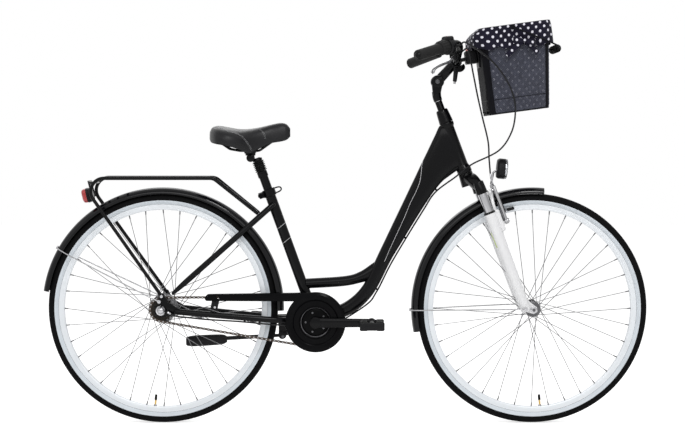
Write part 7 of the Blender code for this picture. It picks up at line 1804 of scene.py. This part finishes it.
def twist_and_shifter():
    along, down, front = grip_axes(-1)
    rings = []
    for place, grow in ((0.0, 0.84), (0.0012, 0.9), (0.0045, 0.97), (TWIST_LENGTH * 0.5, 1.0),
            (TWIST_LENGTH - 0.004, 1.02), (TWIST_LENGTH - 0.0008, 0.99), (TWIST_LENGTH, 0.93)):
        centre = on_grip(-1, GRIP_LENGTH + 0.0003 + place)
        ring = []
        for step in range(96):
            angle = 2 * pi * step / 96
            reach = (0.0212 + 0.0007 * cos(16 * angle)) * grow
            ring.append(centre + (down * cos(angle) + front * sin(angle)) * reach)
        rings.append(ring)
    fitted(skin("twist_grip_rubber", rings, GRIP_RUBBER, crease=60), "twist_grip", "rubber", "twist_grip")

    start = GRIP_LENGTH + TWIST_LENGTH + 0.0006
    profile = [(0.0, -start), (0.0212, -start), (0.024, -start - 0.0008), (0.026, -start - 0.0034),
        (0.0262, -start - 0.006), (0.0262, -start - SHIFTER_LENGTH + 0.006),
        (0.025, -start - SHIFTER_LENGTH + 0.0028), (0.0215, -start - SHIFTER_LENGTH + 0.0006),
        (0.019, -start - SHIFTER_LENGTH), (0.0, -start - SHIFTER_LENGTH)]
    shell = turned("shell", profile, on_grip(-1, 0), PLASTIC, along, 64, closed=False)
    turn = with_axes(front, -along, -down)
    middle = start + SHIFTER_LENGTH / 2
    screen = block("screen", on_grip(-1, middle, -0.0215, 0.002), (0.036, SHIFTER_LENGTH - 0.004, 0.014),
        PLASTIC, turn, 0.0062, 5)
    glass = block("glass", on_grip(-1, middle, -0.0283, 0.002), (0.02, SHIFTER_LENGTH - 0.0135, 0.0008),
        GLOSS_PLASTIC, turn, 0.0003)
    mark = block("mark", on_grip(-1, middle, -0.0286, 0.002), (0.0014, SHIFTER_LENGTH - 0.016, 0.0006),
        RED_PLASTIC, turn, 0.0002)
    outlet = rod("outlet", *shifter_outlet(), 0.0048, PLASTIC, 0.0036, 24)
    fitted(joined("shifter_shell", shell, screen, glass, mark, outlet), "handlebar", "black_plastic",
        "shifter_housing")


def levers():
    along, down, front = grip_axes(-1)
    turn = with_axes(front, -along, -down)
    middle = LEVER_START + LEVER_CLAMP / 2
    collar = turned("collar", [(0.0112, -LEVER_START), (0.0152, -LEVER_START), (0.016, -LEVER_START - 0.001),
        (0.016, -LEVER_START - LEVER_CLAMP + 0.001), (0.0152, -LEVER_START - LEVER_CLAMP),
        (0.0112, -LEVER_START - LEVER_CLAMP)], on_grip(-1, 0), PLASTIC, along, 56)
    pieces = [collar, block("stalk", on_grip(-1, middle, 0.021, 0.0), (0.02, LEVER_CLAMP, 0.019), PLASTIC,
        turn, 0.0025)]
    for side in (-1, 1):
        pieces.append(block("cheek", on_grip(-1, middle, LEVER_DROP - 0.001, side * 0.0074),
            (0.005, LEVER_CLAMP - 0.001, 0.017), PLASTIC, turn, 0.0018))
    pieces.append(rod("pin", on_grip(-1, middle, LEVER_DROP, -0.0098), on_grip(-1, middle, LEVER_DROP,
        0.0098), 0.0022, CHROME, sides=20))
    pieces.append(rod("barrel", on_grip(-1, middle + 0.003, 0.028, 0.006), on_grip(-1, middle + 0.03, 0.025,
        0.014), 0.0045, GLOSS_PLASTIC, 0.0036, 24))
    pieces.append(rod("nut", on_grip(-1, middle + 0.01, 0.0272, 0.0081), on_grip(-1, middle + 0.014, 0.0268,
        0.0093), 0.0056, GLOSS_PLASTIC, sides=12))
    fitted(joined("lever_mount", *pieces), "handlebar", "black_plastic", "brake_lever_mount")
    pivot = on_grip(-1, middle, LEVER_DROP)
    eye = rod("eye", pivot - front * 0.0043, pivot + front * 0.0043, 0.006, SILVER, ease=0.0008)
    path = smooth([pivot, on_grip(-1, 0.146, 0.045), on_grip(-1, 0.115, 0.0475), on_grip(-1, 0.086, 0.049),
        on_grip(-1, 0.066, 0.053), on_grip(-1, 0.056, 0.0615)], 48)
    rings = []
    for index, (point, (way, _, _)) in enumerate(zip(path, frames_along(path))):
        share = index / 47
        flat = (front - way * front.dot(way)).normalized()
        grow = 0.0048 + 0.0012 * sin(pi * min(1, share * 1.6) / 2)
        thick = 0.004 if share < 0.94 else 0.0046
        rings.append(oval(point, flat * grow, way.cross(flat) * thick, 20, 2.5))
    blade = skin("blade", rings, SILVER, crease=60)
    tip = rod("tip", path[-1] - front * 0.0001, path[-1] + front * 0.0001, 0.0045, SILVER)
    fitted(joined("brake_lever_blade", eye, blade, tip), "brake_lever", "silver_alloy", "brake_lever")


def bell():
    place = BAR_CENTRE - LEFT * 0.043
    strap = turned("strap", band_profile(CLAMP_BORE, 0.016, 0.0165, 0.003, 0.0024), place, PLASTIC, steps=48)
    down = Vector((0.55, 0, -0.83)).normalized()
    base = place + down * 0.015 - LEFT * 0.0065
    dome = turned("dome", [(0.0, 0.02), (0.004, 0.0198), (0.009, 0.018), (0.0125, 0.0152), (0.0148, 0.0112),
        (0.0155, 0.006), (0.0155, 0.0032), (0.0148, 0.003), (0.0, 0.003)], base, GLOSS_PLASTIC, down, 48,
        closed=False)
    foot = rod("foot", place + down * 0.015, base + down * 0.006, 0.0045, PLASTIC, sides=24)
    fitted(joined("bell_dome", strap, dome, foot), "handlebar", "frame_paint", "bell")


# Basket

def basket_edge(height, grow, turns=24, round_steps=8, ripple=None):
    """Points round the basket at a height, with the share of the way round for each."""
    share = height / BASKET_HEIGHT
    depth = BASKET_DEPTHS[0] + (BASKET_DEPTHS[1] - BASKET_DEPTHS[0]) * share
    half = BASKET_HALVES[0] + (BASKET_HALVES[1] - BASKET_HALVES[0]) * share
    radius = BASKET_ROUND
    reach = radius + grow
    corners = ((depth - radius, half - radius, 0), (radius, half - radius, pi / 2),
        (radius, radius - half, pi), (depth - radius, radius - half, 1.5 * pi))
    flat = []
    for index, (along, left, start) in enumerate(corners):
        for step in range(round_steps + 1):
            angle = start + pi / 2 * step / round_steps
            flat.append((along + reach * cos(angle), left + reach * sin(angle), angle))
        following = corners[(index + 1) % 4]
        angle = start + pi / 2
        end = (following[0] + reach * cos(angle), following[1] + reach * sin(angle))
        begin = flat[-1]
        for step in range(1, turns):
            share_of_side = step / turns
            flat.append((begin[0] + (end[0] - begin[0]) * share_of_side, begin[1] + (end[1] - begin[1])
                * share_of_side, angle))
    points = []
    for index, (along, left, angle) in enumerate(flat):
        move = ripple(index / len(flat), angle) if ripple else 0.0
        points.append(in_basket(along + move * cos(angle), left + move * sin(angle), height))
    return points


def walk(points, closed=True):
    """Length walked to each point, and the whole length."""
    steps = [0.0]
    for near, far in zip(points, points[1:] + (points[:1] if closed else [])):
        steps.append(steps[-1] + (far - near).length)
    return steps


def basket():
    """Wire mesh walls and floor between stouter hoops, with a back plate and ears."""
    levels = [BASKET_HEIGHT * step / 20 for step in range(21)]
    loops = [basket_edge(height if height else 0.0015, -0.0009 if height else -0.003) for height in levels]
    lengths = [walk(loop) for loop in loops]
    wires = 190
    shape = bmesh.new()

    def spot(level, turn, grow):
        loop, steps = loops[level], lengths[level]
        want = (turn % 1.0) * steps[-1]
        low, high = 0, len(loop) - 1
        while low < high:
            middle = (low + high + 1) // 2
            low, high = (middle, high) if steps[middle] <= want else (low, middle - 1)
        share = (want - steps[low]) / max(1e-9, steps[low + 1] - steps[low])
        point = loop[low].lerp(loop[(low + 1) % len(loop)], share)
        out = (point - in_basket(0.09, 0, levels[level])).normalized()
        return point + out * grow

    drift = BASKET_HEIGHT / lengths[10][-1]
    for family in (-1, 1):
        for wire in range(wires):
            route = [spot(level, wire / wires + family * drift * level / 20, family * 0.00035)
                for level in range(21)]
            thread(shape, route, 0.001)
    for row in range(28):
        left = (row - 13.5) * 0.0098
        thread(shape, [in_basket(0.004, left, 0.0012), in_basket(BASKET_DEPTHS[0] - 0.004, left, 0.0012)],
            0.0008)
    for row in range(18):
        ahead = 0.006 + row * 0.01
        thread(shape, [in_basket(ahead, -BASKET_HALVES[0] + 0.004, 0.0022), in_basket(ahead,
            BASKET_HALVES[0] - 0.004, 0.0022)], 0.0008)
    # Net faces on the basket's rear wall keep the near-black wire finish, not the lighter net finish:
    # painted shade on the rear wall.
    upright = BASKET_TURN.inverted()
    for face in shape.faces:
        if (upright @ (face.calc_center_median() - in_basket(0, 0, 0))).x < 0.01:
            face.material_index = 1
    pieces = [made("net", shape, [NET_SHEEN_COAT, WIRE_COAT], crease=70)]
    for height, grow, radius in ((0.003, -0.0022, 0.0028), (0.044, -0.0004, 0.001),
            (BASKET_HEIGHT - 0.003, 0.0, 0.0029)):
        pieces.append(tube("hoop", basket_edge(height, grow - radius + 0.0012), radius, WIRE_COAT, 14,
            closed=True))
    # Near-black bands up the net's four rounded corners: corner wires, two of them widened into a dark sheet
    # as painted shade where a wall is seen at a slant.
    for first, last in ((2, 6), (35, 37), (66, 70), (99, 101)):
        rings = []
        for level in levels:
            outer, inner = (basket_edge(level, grow)[first:last + 1] for grow in (0.0009, -0.0018))
            rings.append(outer + inner[::-1])
        pieces.append(skin("corner_wire_and_shade_band", rings, WIRE_COAT))
    ear = handle_pivot()
    for side in (-1, 1):
        pieces.append(rod("ear", Vector((ear.x, side * 0.15, ear.z)), Vector((ear.x,
            side * (HANDLE_SIDE + 0.0014), ear.z)), 0.004, WIRE_COAT, sides=24))
    pieces.append(block("back_plate", in_basket(-0.00275, 0, BACK_PLATE_HEIGHT), (0.006, 0.09, 0.07),
        PLASTIC, BASKET_TURN, 0.0024))
    fitted(joined("basket_wires", *pieces), "basket", "basket_metal", "basket")


def thread(shape, route, radius):
    """Add a thin square wire along a route to a bmesh."""
    wire = bmesh.new()
    frames = frames_along(route)
    quarters = [(cos(pi / 2 * step) * radius, sin(pi / 2 * step) * radius) for step in range(4)]
    rings = [[point + side * across + other * up for across, up in quarters] for point,
        (_, side, other) in zip(route, frames)]
    row = [wire.verts.new(corner) for corner in rings[0]]
    edges = [wire.edges.new(pair) for pair in zip(row, row[1:] + row[:1])]
    bmesh.ops.contextual_create(wire, geom=edges)
    for ring in rings[1:]:
        row = next_row(wire, row, edges)
        for vertex, corner in zip(row, ring):
            vertex.co = corner
        edges = [wire.edges.get(pair) for pair in zip(row, row[1:] + row[:1])]
    bmesh.ops.contextual_create(wire, geom=edges)
    mesh = bpy.data.meshes.new("wire")
    wire.to_mesh(mesh)
    wire.free()
    shape.from_mesh(mesh)
    bpy.data.meshes.remove(mesh)


def handle_pivot():
    """Middle of the line between the basket's ears, on which its handle turns."""
    return in_basket(0.098, 0, BASKET_HEIGHT - 0.008)


def liner():
    """Dotted cloth that hangs inside the basket and folds over its rim to a loose hem."""
    around = 42 * CLOTH_DOTS[0]

    def loose(amount):
        def ripple(share, angle):
            wave = sin(2 * pi * 13 * share) + 0.6 * sin(2 * pi * 29 * share + 1.3) + 0.35 * sin(2 * pi * 47
                * share)
            back = max(0.0, -cos(angle))
            return amount * (wave * 0.55 + 0.35) - 0.0022 * back * amount / 0.003
        return ripple

    top = BASKET_HEIGHT
    inner = -0.0034
    levels = [(0.003, inner - 0.002, 0.0), (0.012, inner, 0.0), (0.06, inner, 0.0004), (0.13, inner, 0.0006),
        (0.2, inner, 0.0004), (top - 0.006, inner, 0.0), (top + 0.0006, inner + 0.0004, 0.0),
        (top + 0.0014, 0.0, 0.0), (top + 0.0006, 0.003, 0.0), (top - 0.006, 0.0044, 0.0006),
        (top - 0.015, 0.0054, 0.0014), (top - 0.026, 0.006, 0.0022), (top - 0.036, 0.0066, 0.0028),
        (top - 0.047, 0.0072, 0.0033), (top - 0.057, 0.0078, 0.0038), (top - 0.067, 0.0082, 0.0042)]
    outside = [basket_edge(height, grow, 44, 12, loose(amount)) for height, grow, amount in levels]
    count = len(outside[0])
    upright = BASKET_TURN.inverted()
    for number, ring in enumerate(outside):
        for column, point in enumerate(ring):
            ahead, left, height = upright @ (point - in_basket(0, 0, 0))
            below = top - height
            if number < 8 or ahead > 0.05:
                continue
            share = (0.05 - ahead) / 0.055
            bulge = min(1.0, share) ** 2
            ring[column] = in_basket(ahead - 0.02 * bulge * sin(pi / 2 * min(1.0, max(0.0, below) / 0.036)),
                left, top - below * (1 - 0.28 * bulge))
    for column, point in enumerate(outside[-1]):
        share = column / count
        outside[-1][column] = point + UP * (0.0045 * sin(2 * pi * 9 * share) + 0.003
            * sin(2 * pi * 21 * share + 0.7))
    turns_round = walk(outside[8])
    down = [0.0]
    for near, far in zip(outside, outside[1:]):
        down.append(down[-1] + sum((a - b).length for a, b in zip(near, far)) / count)
    inside = []
    for number, ring in enumerate(outside):
        before, after = outside[max(0, number - 1)], outside[min(len(outside) - 1, number + 1)]
        shifted = []
        for column, point in enumerate(ring):
            way = after[column] - before[column]
            beside = ring[(column + 1) % count] - ring[column - 1]
            shifted.append(point - way.cross(beside).normalized() * 0.001)
        inside.append(shifted)
    rings = outside + inside[::-1]
    rows = down + down[::-1]
    shape = grown(rings, marks=lambda number, column: (turns_round[column] / turns_round[-1] * around,
        rows[number]))
    along, across = (shape.verts.layers.float[key] for key in ("along", "across"))
    layout = shape.loops.layers.uv.new("Cloth")
    for face in shape.faces:
        turns = [loop.vert[along] for loop in face.loops]
        wrapped = max(turns) - min(turns) > around / 2 and len(face.verts) == 4
        flat_floor = len(face.verts) > 4
        for loop in face.loops:
            turn = loop.vert[along] + (around if wrapped and loop.vert[along] < around / 2 else 0.0)
            loop[layout].uv = (loop.vert.co.x, loop.vert.co.y) if flat_floor else (turn, loop.vert[across])
    cloth = made("liner_cloth", shape, CLOTH, crease=75)
    fitted(cloth, "basket", "liner_cloth", "basket_liner")


def ribbon(route, widths, across=UP):
    """Strip of the dotted cloth along a route, as wide at each point as the widths say."""
    walked = walk(route, closed=False)
    shares = smooth_rows(widths, len(route))
    rings, spread = [], []
    for (_, side, other), point, (_, wide) in zip(frames_along(route), route, shares):
        out = (side if abs(side.dot(across)) < abs(other.dot(across)) else other)
        half = across * wide / 2
        rings.append([point + half, point + half * 0.3 + out * 0.0006, point - half * 0.3 + out * 0.0006,
            point - half, point - half * 0.3 - out * 0.0006, point + half * 0.3 - out * 0.0006])
        spread.append([wide / 2, wide * 0.15, -wide * 0.15, -wide / 2, -wide * 0.15, wide * 0.15])
    shape = grown(rings, marks=lambda number, column: (walked[number], spread[number][column]))
    along, across_tag = (shape.verts.layers.float[key] for key in ("along", "across"))
    layout = shape.loops.layers.uv.new("Cloth")
    for face in shape.faces:
        for loop in face.loops:
            loop[layout].uv = (loop.vert[along], loop.vert[across_tag])
    return made("ribbon", shape, CLOTH, crease=75)


def bow():
    """Bow tied in the liner's tape on the near side: two loops, a knot and two tails."""
    height = BASKET_HEIGHT - 0.034
    half = BASKET_HALVES[0] + (BASKET_HALVES[1] - BASKET_HALVES[0]) * height / BASKET_HEIGHT + 0.0145
    knot = Vector((0.5283, -half, 1.159))
    pieces = []
    for ahead, droop in ((-1, 0.002), (1, -0.006)):
        route = [knot + Vector((ahead * along, out, droop * along / 0.03)) for along,
            out in ((0.001, 0.0012), (0.012, 0.0052), (0.025, 0.0064), (0.0325, 0.001), (0.025, -0.0056),
            (0.012, -0.005), (0.001, -0.0012))]
        pieces.append(ribbon(smooth(route, 40), [(0.0, 0.007), (0.25, 0.016), (0.5, 0.024), (0.75, 0.018),
            (1.0, 0.007)]))
    for ahead, fall, wide in ((-0.052, -0.045, 0.015), (0.04, -0.036, 0.014)):
        route = [knot + Vector((ahead * share, 0.001 * sin(7 * share) - 0.0006, fall * share ** 1.2))
            for share in (0.0, 0.25, 0.5, 0.75, 1.0)]
        way = (route[-1] - route[0]).normalized()
        pieces.append(ribbon(smooth(route, 30), [(0.0, 0.006), (0.3, 0.013), (0.7, wide), (1.0, wide)],
            LEFT.cross(way).normalized()))
    shape = bmesh.new()
    bmesh.ops.create_uvsphere(shape, u_segments=20, v_segments=12, radius=1,
        matrix=Matrix.Translation(knot) @ Matrix.Diagonal((0.0065, 0.007, 0.0062, 1)))
    layout = shape.loops.layers.uv.new("Cloth")
    for face in shape.faces:
        for loop in face.loops:
            loop[layout].uv = (loop.vert.co.x, loop.vert.co.z)
    pieces.append(made("knot", shape, CLOTH))
    fitted(joined("liner_bow", *pieces), "basket", "liner_cloth")


def handle_and_mount():
    ear = handle_pivot()
    grip = in_basket(0.233, 0, BASKET_HEIGHT - 0.084)
    start = Vector((ear.x, -HANDLE_SIDE, ear.z))
    elbow = Vector((grip.x, -HANDLE_SIDE, grip.z))
    middle = Vector((grip.x, -0.06, grip.z))
    run = rounded([start, elbow, middle], [0.045])
    pieces = [tube("bail", run + [mirrored(point) for point in reversed(run)], 0.0025, WIRE_COAT, 14)]
    rows = smooth_rows([(0.0, 0.0112), (0.03, 0.0125), (0.25, 0.0121), (0.5, 0.0125), (0.75, 0.0121),
        (0.97, 0.0125), (1.0, 0.0112)], 40)
    rings = [oval(middle.lerp(mirrored(middle), share), UP * radius, FORWARD * radius, 36) for share,
        radius in rows]
    pieces.append(skin("foam", rings, FOAM, crease=60))
    for side in (-1, 1):
        spot = Vector((ear.x, side * HANDLE_SIDE, ear.z))
        pieces.append(turned("eye", band_profile(0.0042, 0.0075, 0.008, 0.0022, 0.0016), spot, WIRE_COAT,
            steps=36))
    fitted(joined("basket_bail", *pieces), "basket_handle", "black_plastic", "basket_handle")

    front = in_basket(-0.0236, 0, BACK_PLATE_HEIGHT)
    pieces = [block("adapter", front, (0.035, 0.072, 0.04), PLASTIC, BASKET_TURN, 0.004, 4)]
    for side in (-1, 1):
        centre = BAR_CENTRE + LEFT * side * 0.033
        pieces.append(turned("ring", band_profile(CLAMP_BORE, 0.0172, 0.018, 0.0048, 0.004), centre, PLASTIC,
            steps=48))
        pieces.append(rod("neck", centre + Vector((0.01, 0, 0.004)), front + LEFT * side * 0.029
            + Vector((-0.01, 0, -0.004)), 0.0045, PLASTIC, 0.006, 20))
        pieces.append(rod("screw", centre + Vector((0.012, side * 0.0048, -0.011)),
            centre + Vector((0.012, side * 0.007, -0.011)), 0.003, CHROME, sides=20))
    top = BAR_CENTRE + Vector((0.002, -0.03, -0.014))
    pieces.append(rod("strut", top, top + Vector((-0.0052, 0, -0.046)), 0.008, PLASTIC, 0.006, 24, 0.0015))
    pieces.append(rod("strut_tip", top + Vector((-0.005, 0, -0.045)), top + Vector((-0.006, 0, -0.053)),
        0.0036, SILVER, 0.0032, 24, 0.001))
    fitted(joined("basket_adapter", *pieces), "handlebar", "black_plastic", "basket_mount")
    up = BASKET_TURN @ UP
    at = in_basket(-0.0311, 0, BACK_PLATE_HEIGHT + 0.02)
    button = block("button_cap", at - up * 0.001, (0.012, 0.03, 0.012), RED_PLASTIC, BASKET_TURN, 0.0028, 4)
    fitted(button, "basket_button", "button_red", "basket_button")


# Cables

def cables():
    rows = down_tube_path(200)
    near, far = shifter_outlet()
    way = (far - near).normalized()
    route = [far + way * 0.0004, far + way * 0.022]
    route += [BAR_CENTRE + Vector(spot) for spot in ((0.09, -0.186, 0.002), (0.134, -0.182, -0.05),
        (0.159, -0.176, -0.1), (0.168, -0.166, -0.152), (0.16, -0.132, -0.213), (0.126, -0.09, -0.268))]
    route += [on_steering(0.48, 0.03, -0.052), on_steering(0.469, -0.008, -0.041),
        on_steering(0.46, -0.034, -0.033)]
    for place in (0.72, 0.62, 0.52, 0.42, 0.32, 0.22):
        route.append(skin_point(rows[int(place * 199)], 0.0, 0.0045) - LEFT * 0.005)
    route += [BRACKET + Vector(spot) for spot in ((0.03, -0.01, -0.0265), (-0.01, -0.016, -0.0285),
        (-0.05, -0.024, -0.019), (-0.085, -0.027, -0.011), (-0.13, -0.0395, -0.008),
        (-0.23, -0.0525, 0.0025), (-0.33, -0.062, 0.01))]
    route += [REAR + Vector(spot) for spot in ((0.075, -0.073, -0.021), (0.045, -0.084, -0.016),
        (0.02, -0.087, -0.004))]
    whole = smooth(route, 300)
    parting = min(range(300), key=lambda number: (whole[number] - route[7]).length)
    upper = tube("gear_cable_upper", whole[:parting + 1], CABLE_RADIUS, CABLE_SKIN, 12)
    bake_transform(upper, "steering", "handlebar", start=tuple(route[7]), end=tuple(route[5]))
    housing = tube("gear_housing", whole[parting:], CABLE_RADIUS, CABLE_SKIN, 12)
    end = rod("ferrule", route[-1] - (route[-1] - route[-2]).normalized() * 0.012, route[-1], 0.0031, CHROME,
        sides=20)
    cable = joined("gear_cable_housing", housing, end)
    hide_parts("gear_cable")
    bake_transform(cable, "frame", "steering", start=tuple(route[10]), end=tuple(route[7]))

    middle = LEVER_START + LEVER_CLAMP / 2
    start = on_grip(-1, middle + 0.03, 0.025, 0.014)
    end = on_steering(BOSS_HEIGHT + 0.113, 0.06425, -BOSS_SPACING - 0.0035) + Vector((-0.01, -0.004, 0.0385))
    way = on_grip(-1, LEVER_START + 0.055, 0.025, 0.022)
    route = [start + (way - start).normalized() * 0.0004, way]
    route += [BAR_CENTRE + Vector(spot) for spot in ((0.048, -0.1, -0.04), (0.062, -0.088, -0.105),
        (0.0775, -0.076, -0.168), (0.096, -0.06, -0.24))]
    route += [end + Vector((-0.0045, -0.003, 0.045)), end + Vector((-0.0006, 0.0, 0.001))]
    cable = tube("brake_cable_housing", smooth(route, 120), CABLE_RADIUS, CABLE_SKIN, 12)
    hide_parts("front_brake_cable")
    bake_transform(cable, "steering", "handlebar", start=tuple(route[6]), end=tuple(route[3]))


wheels()
drive()
chain_case()
frame_tubes()
stays()
seat_clamp()
mudguards()
rack()
tail_light()
axle()
kickstand()
seatpost()
saddle()
fork()
headlight()
stem()
handlebar()
basket()
liner()
bow()
handle_and_mount()
cables()
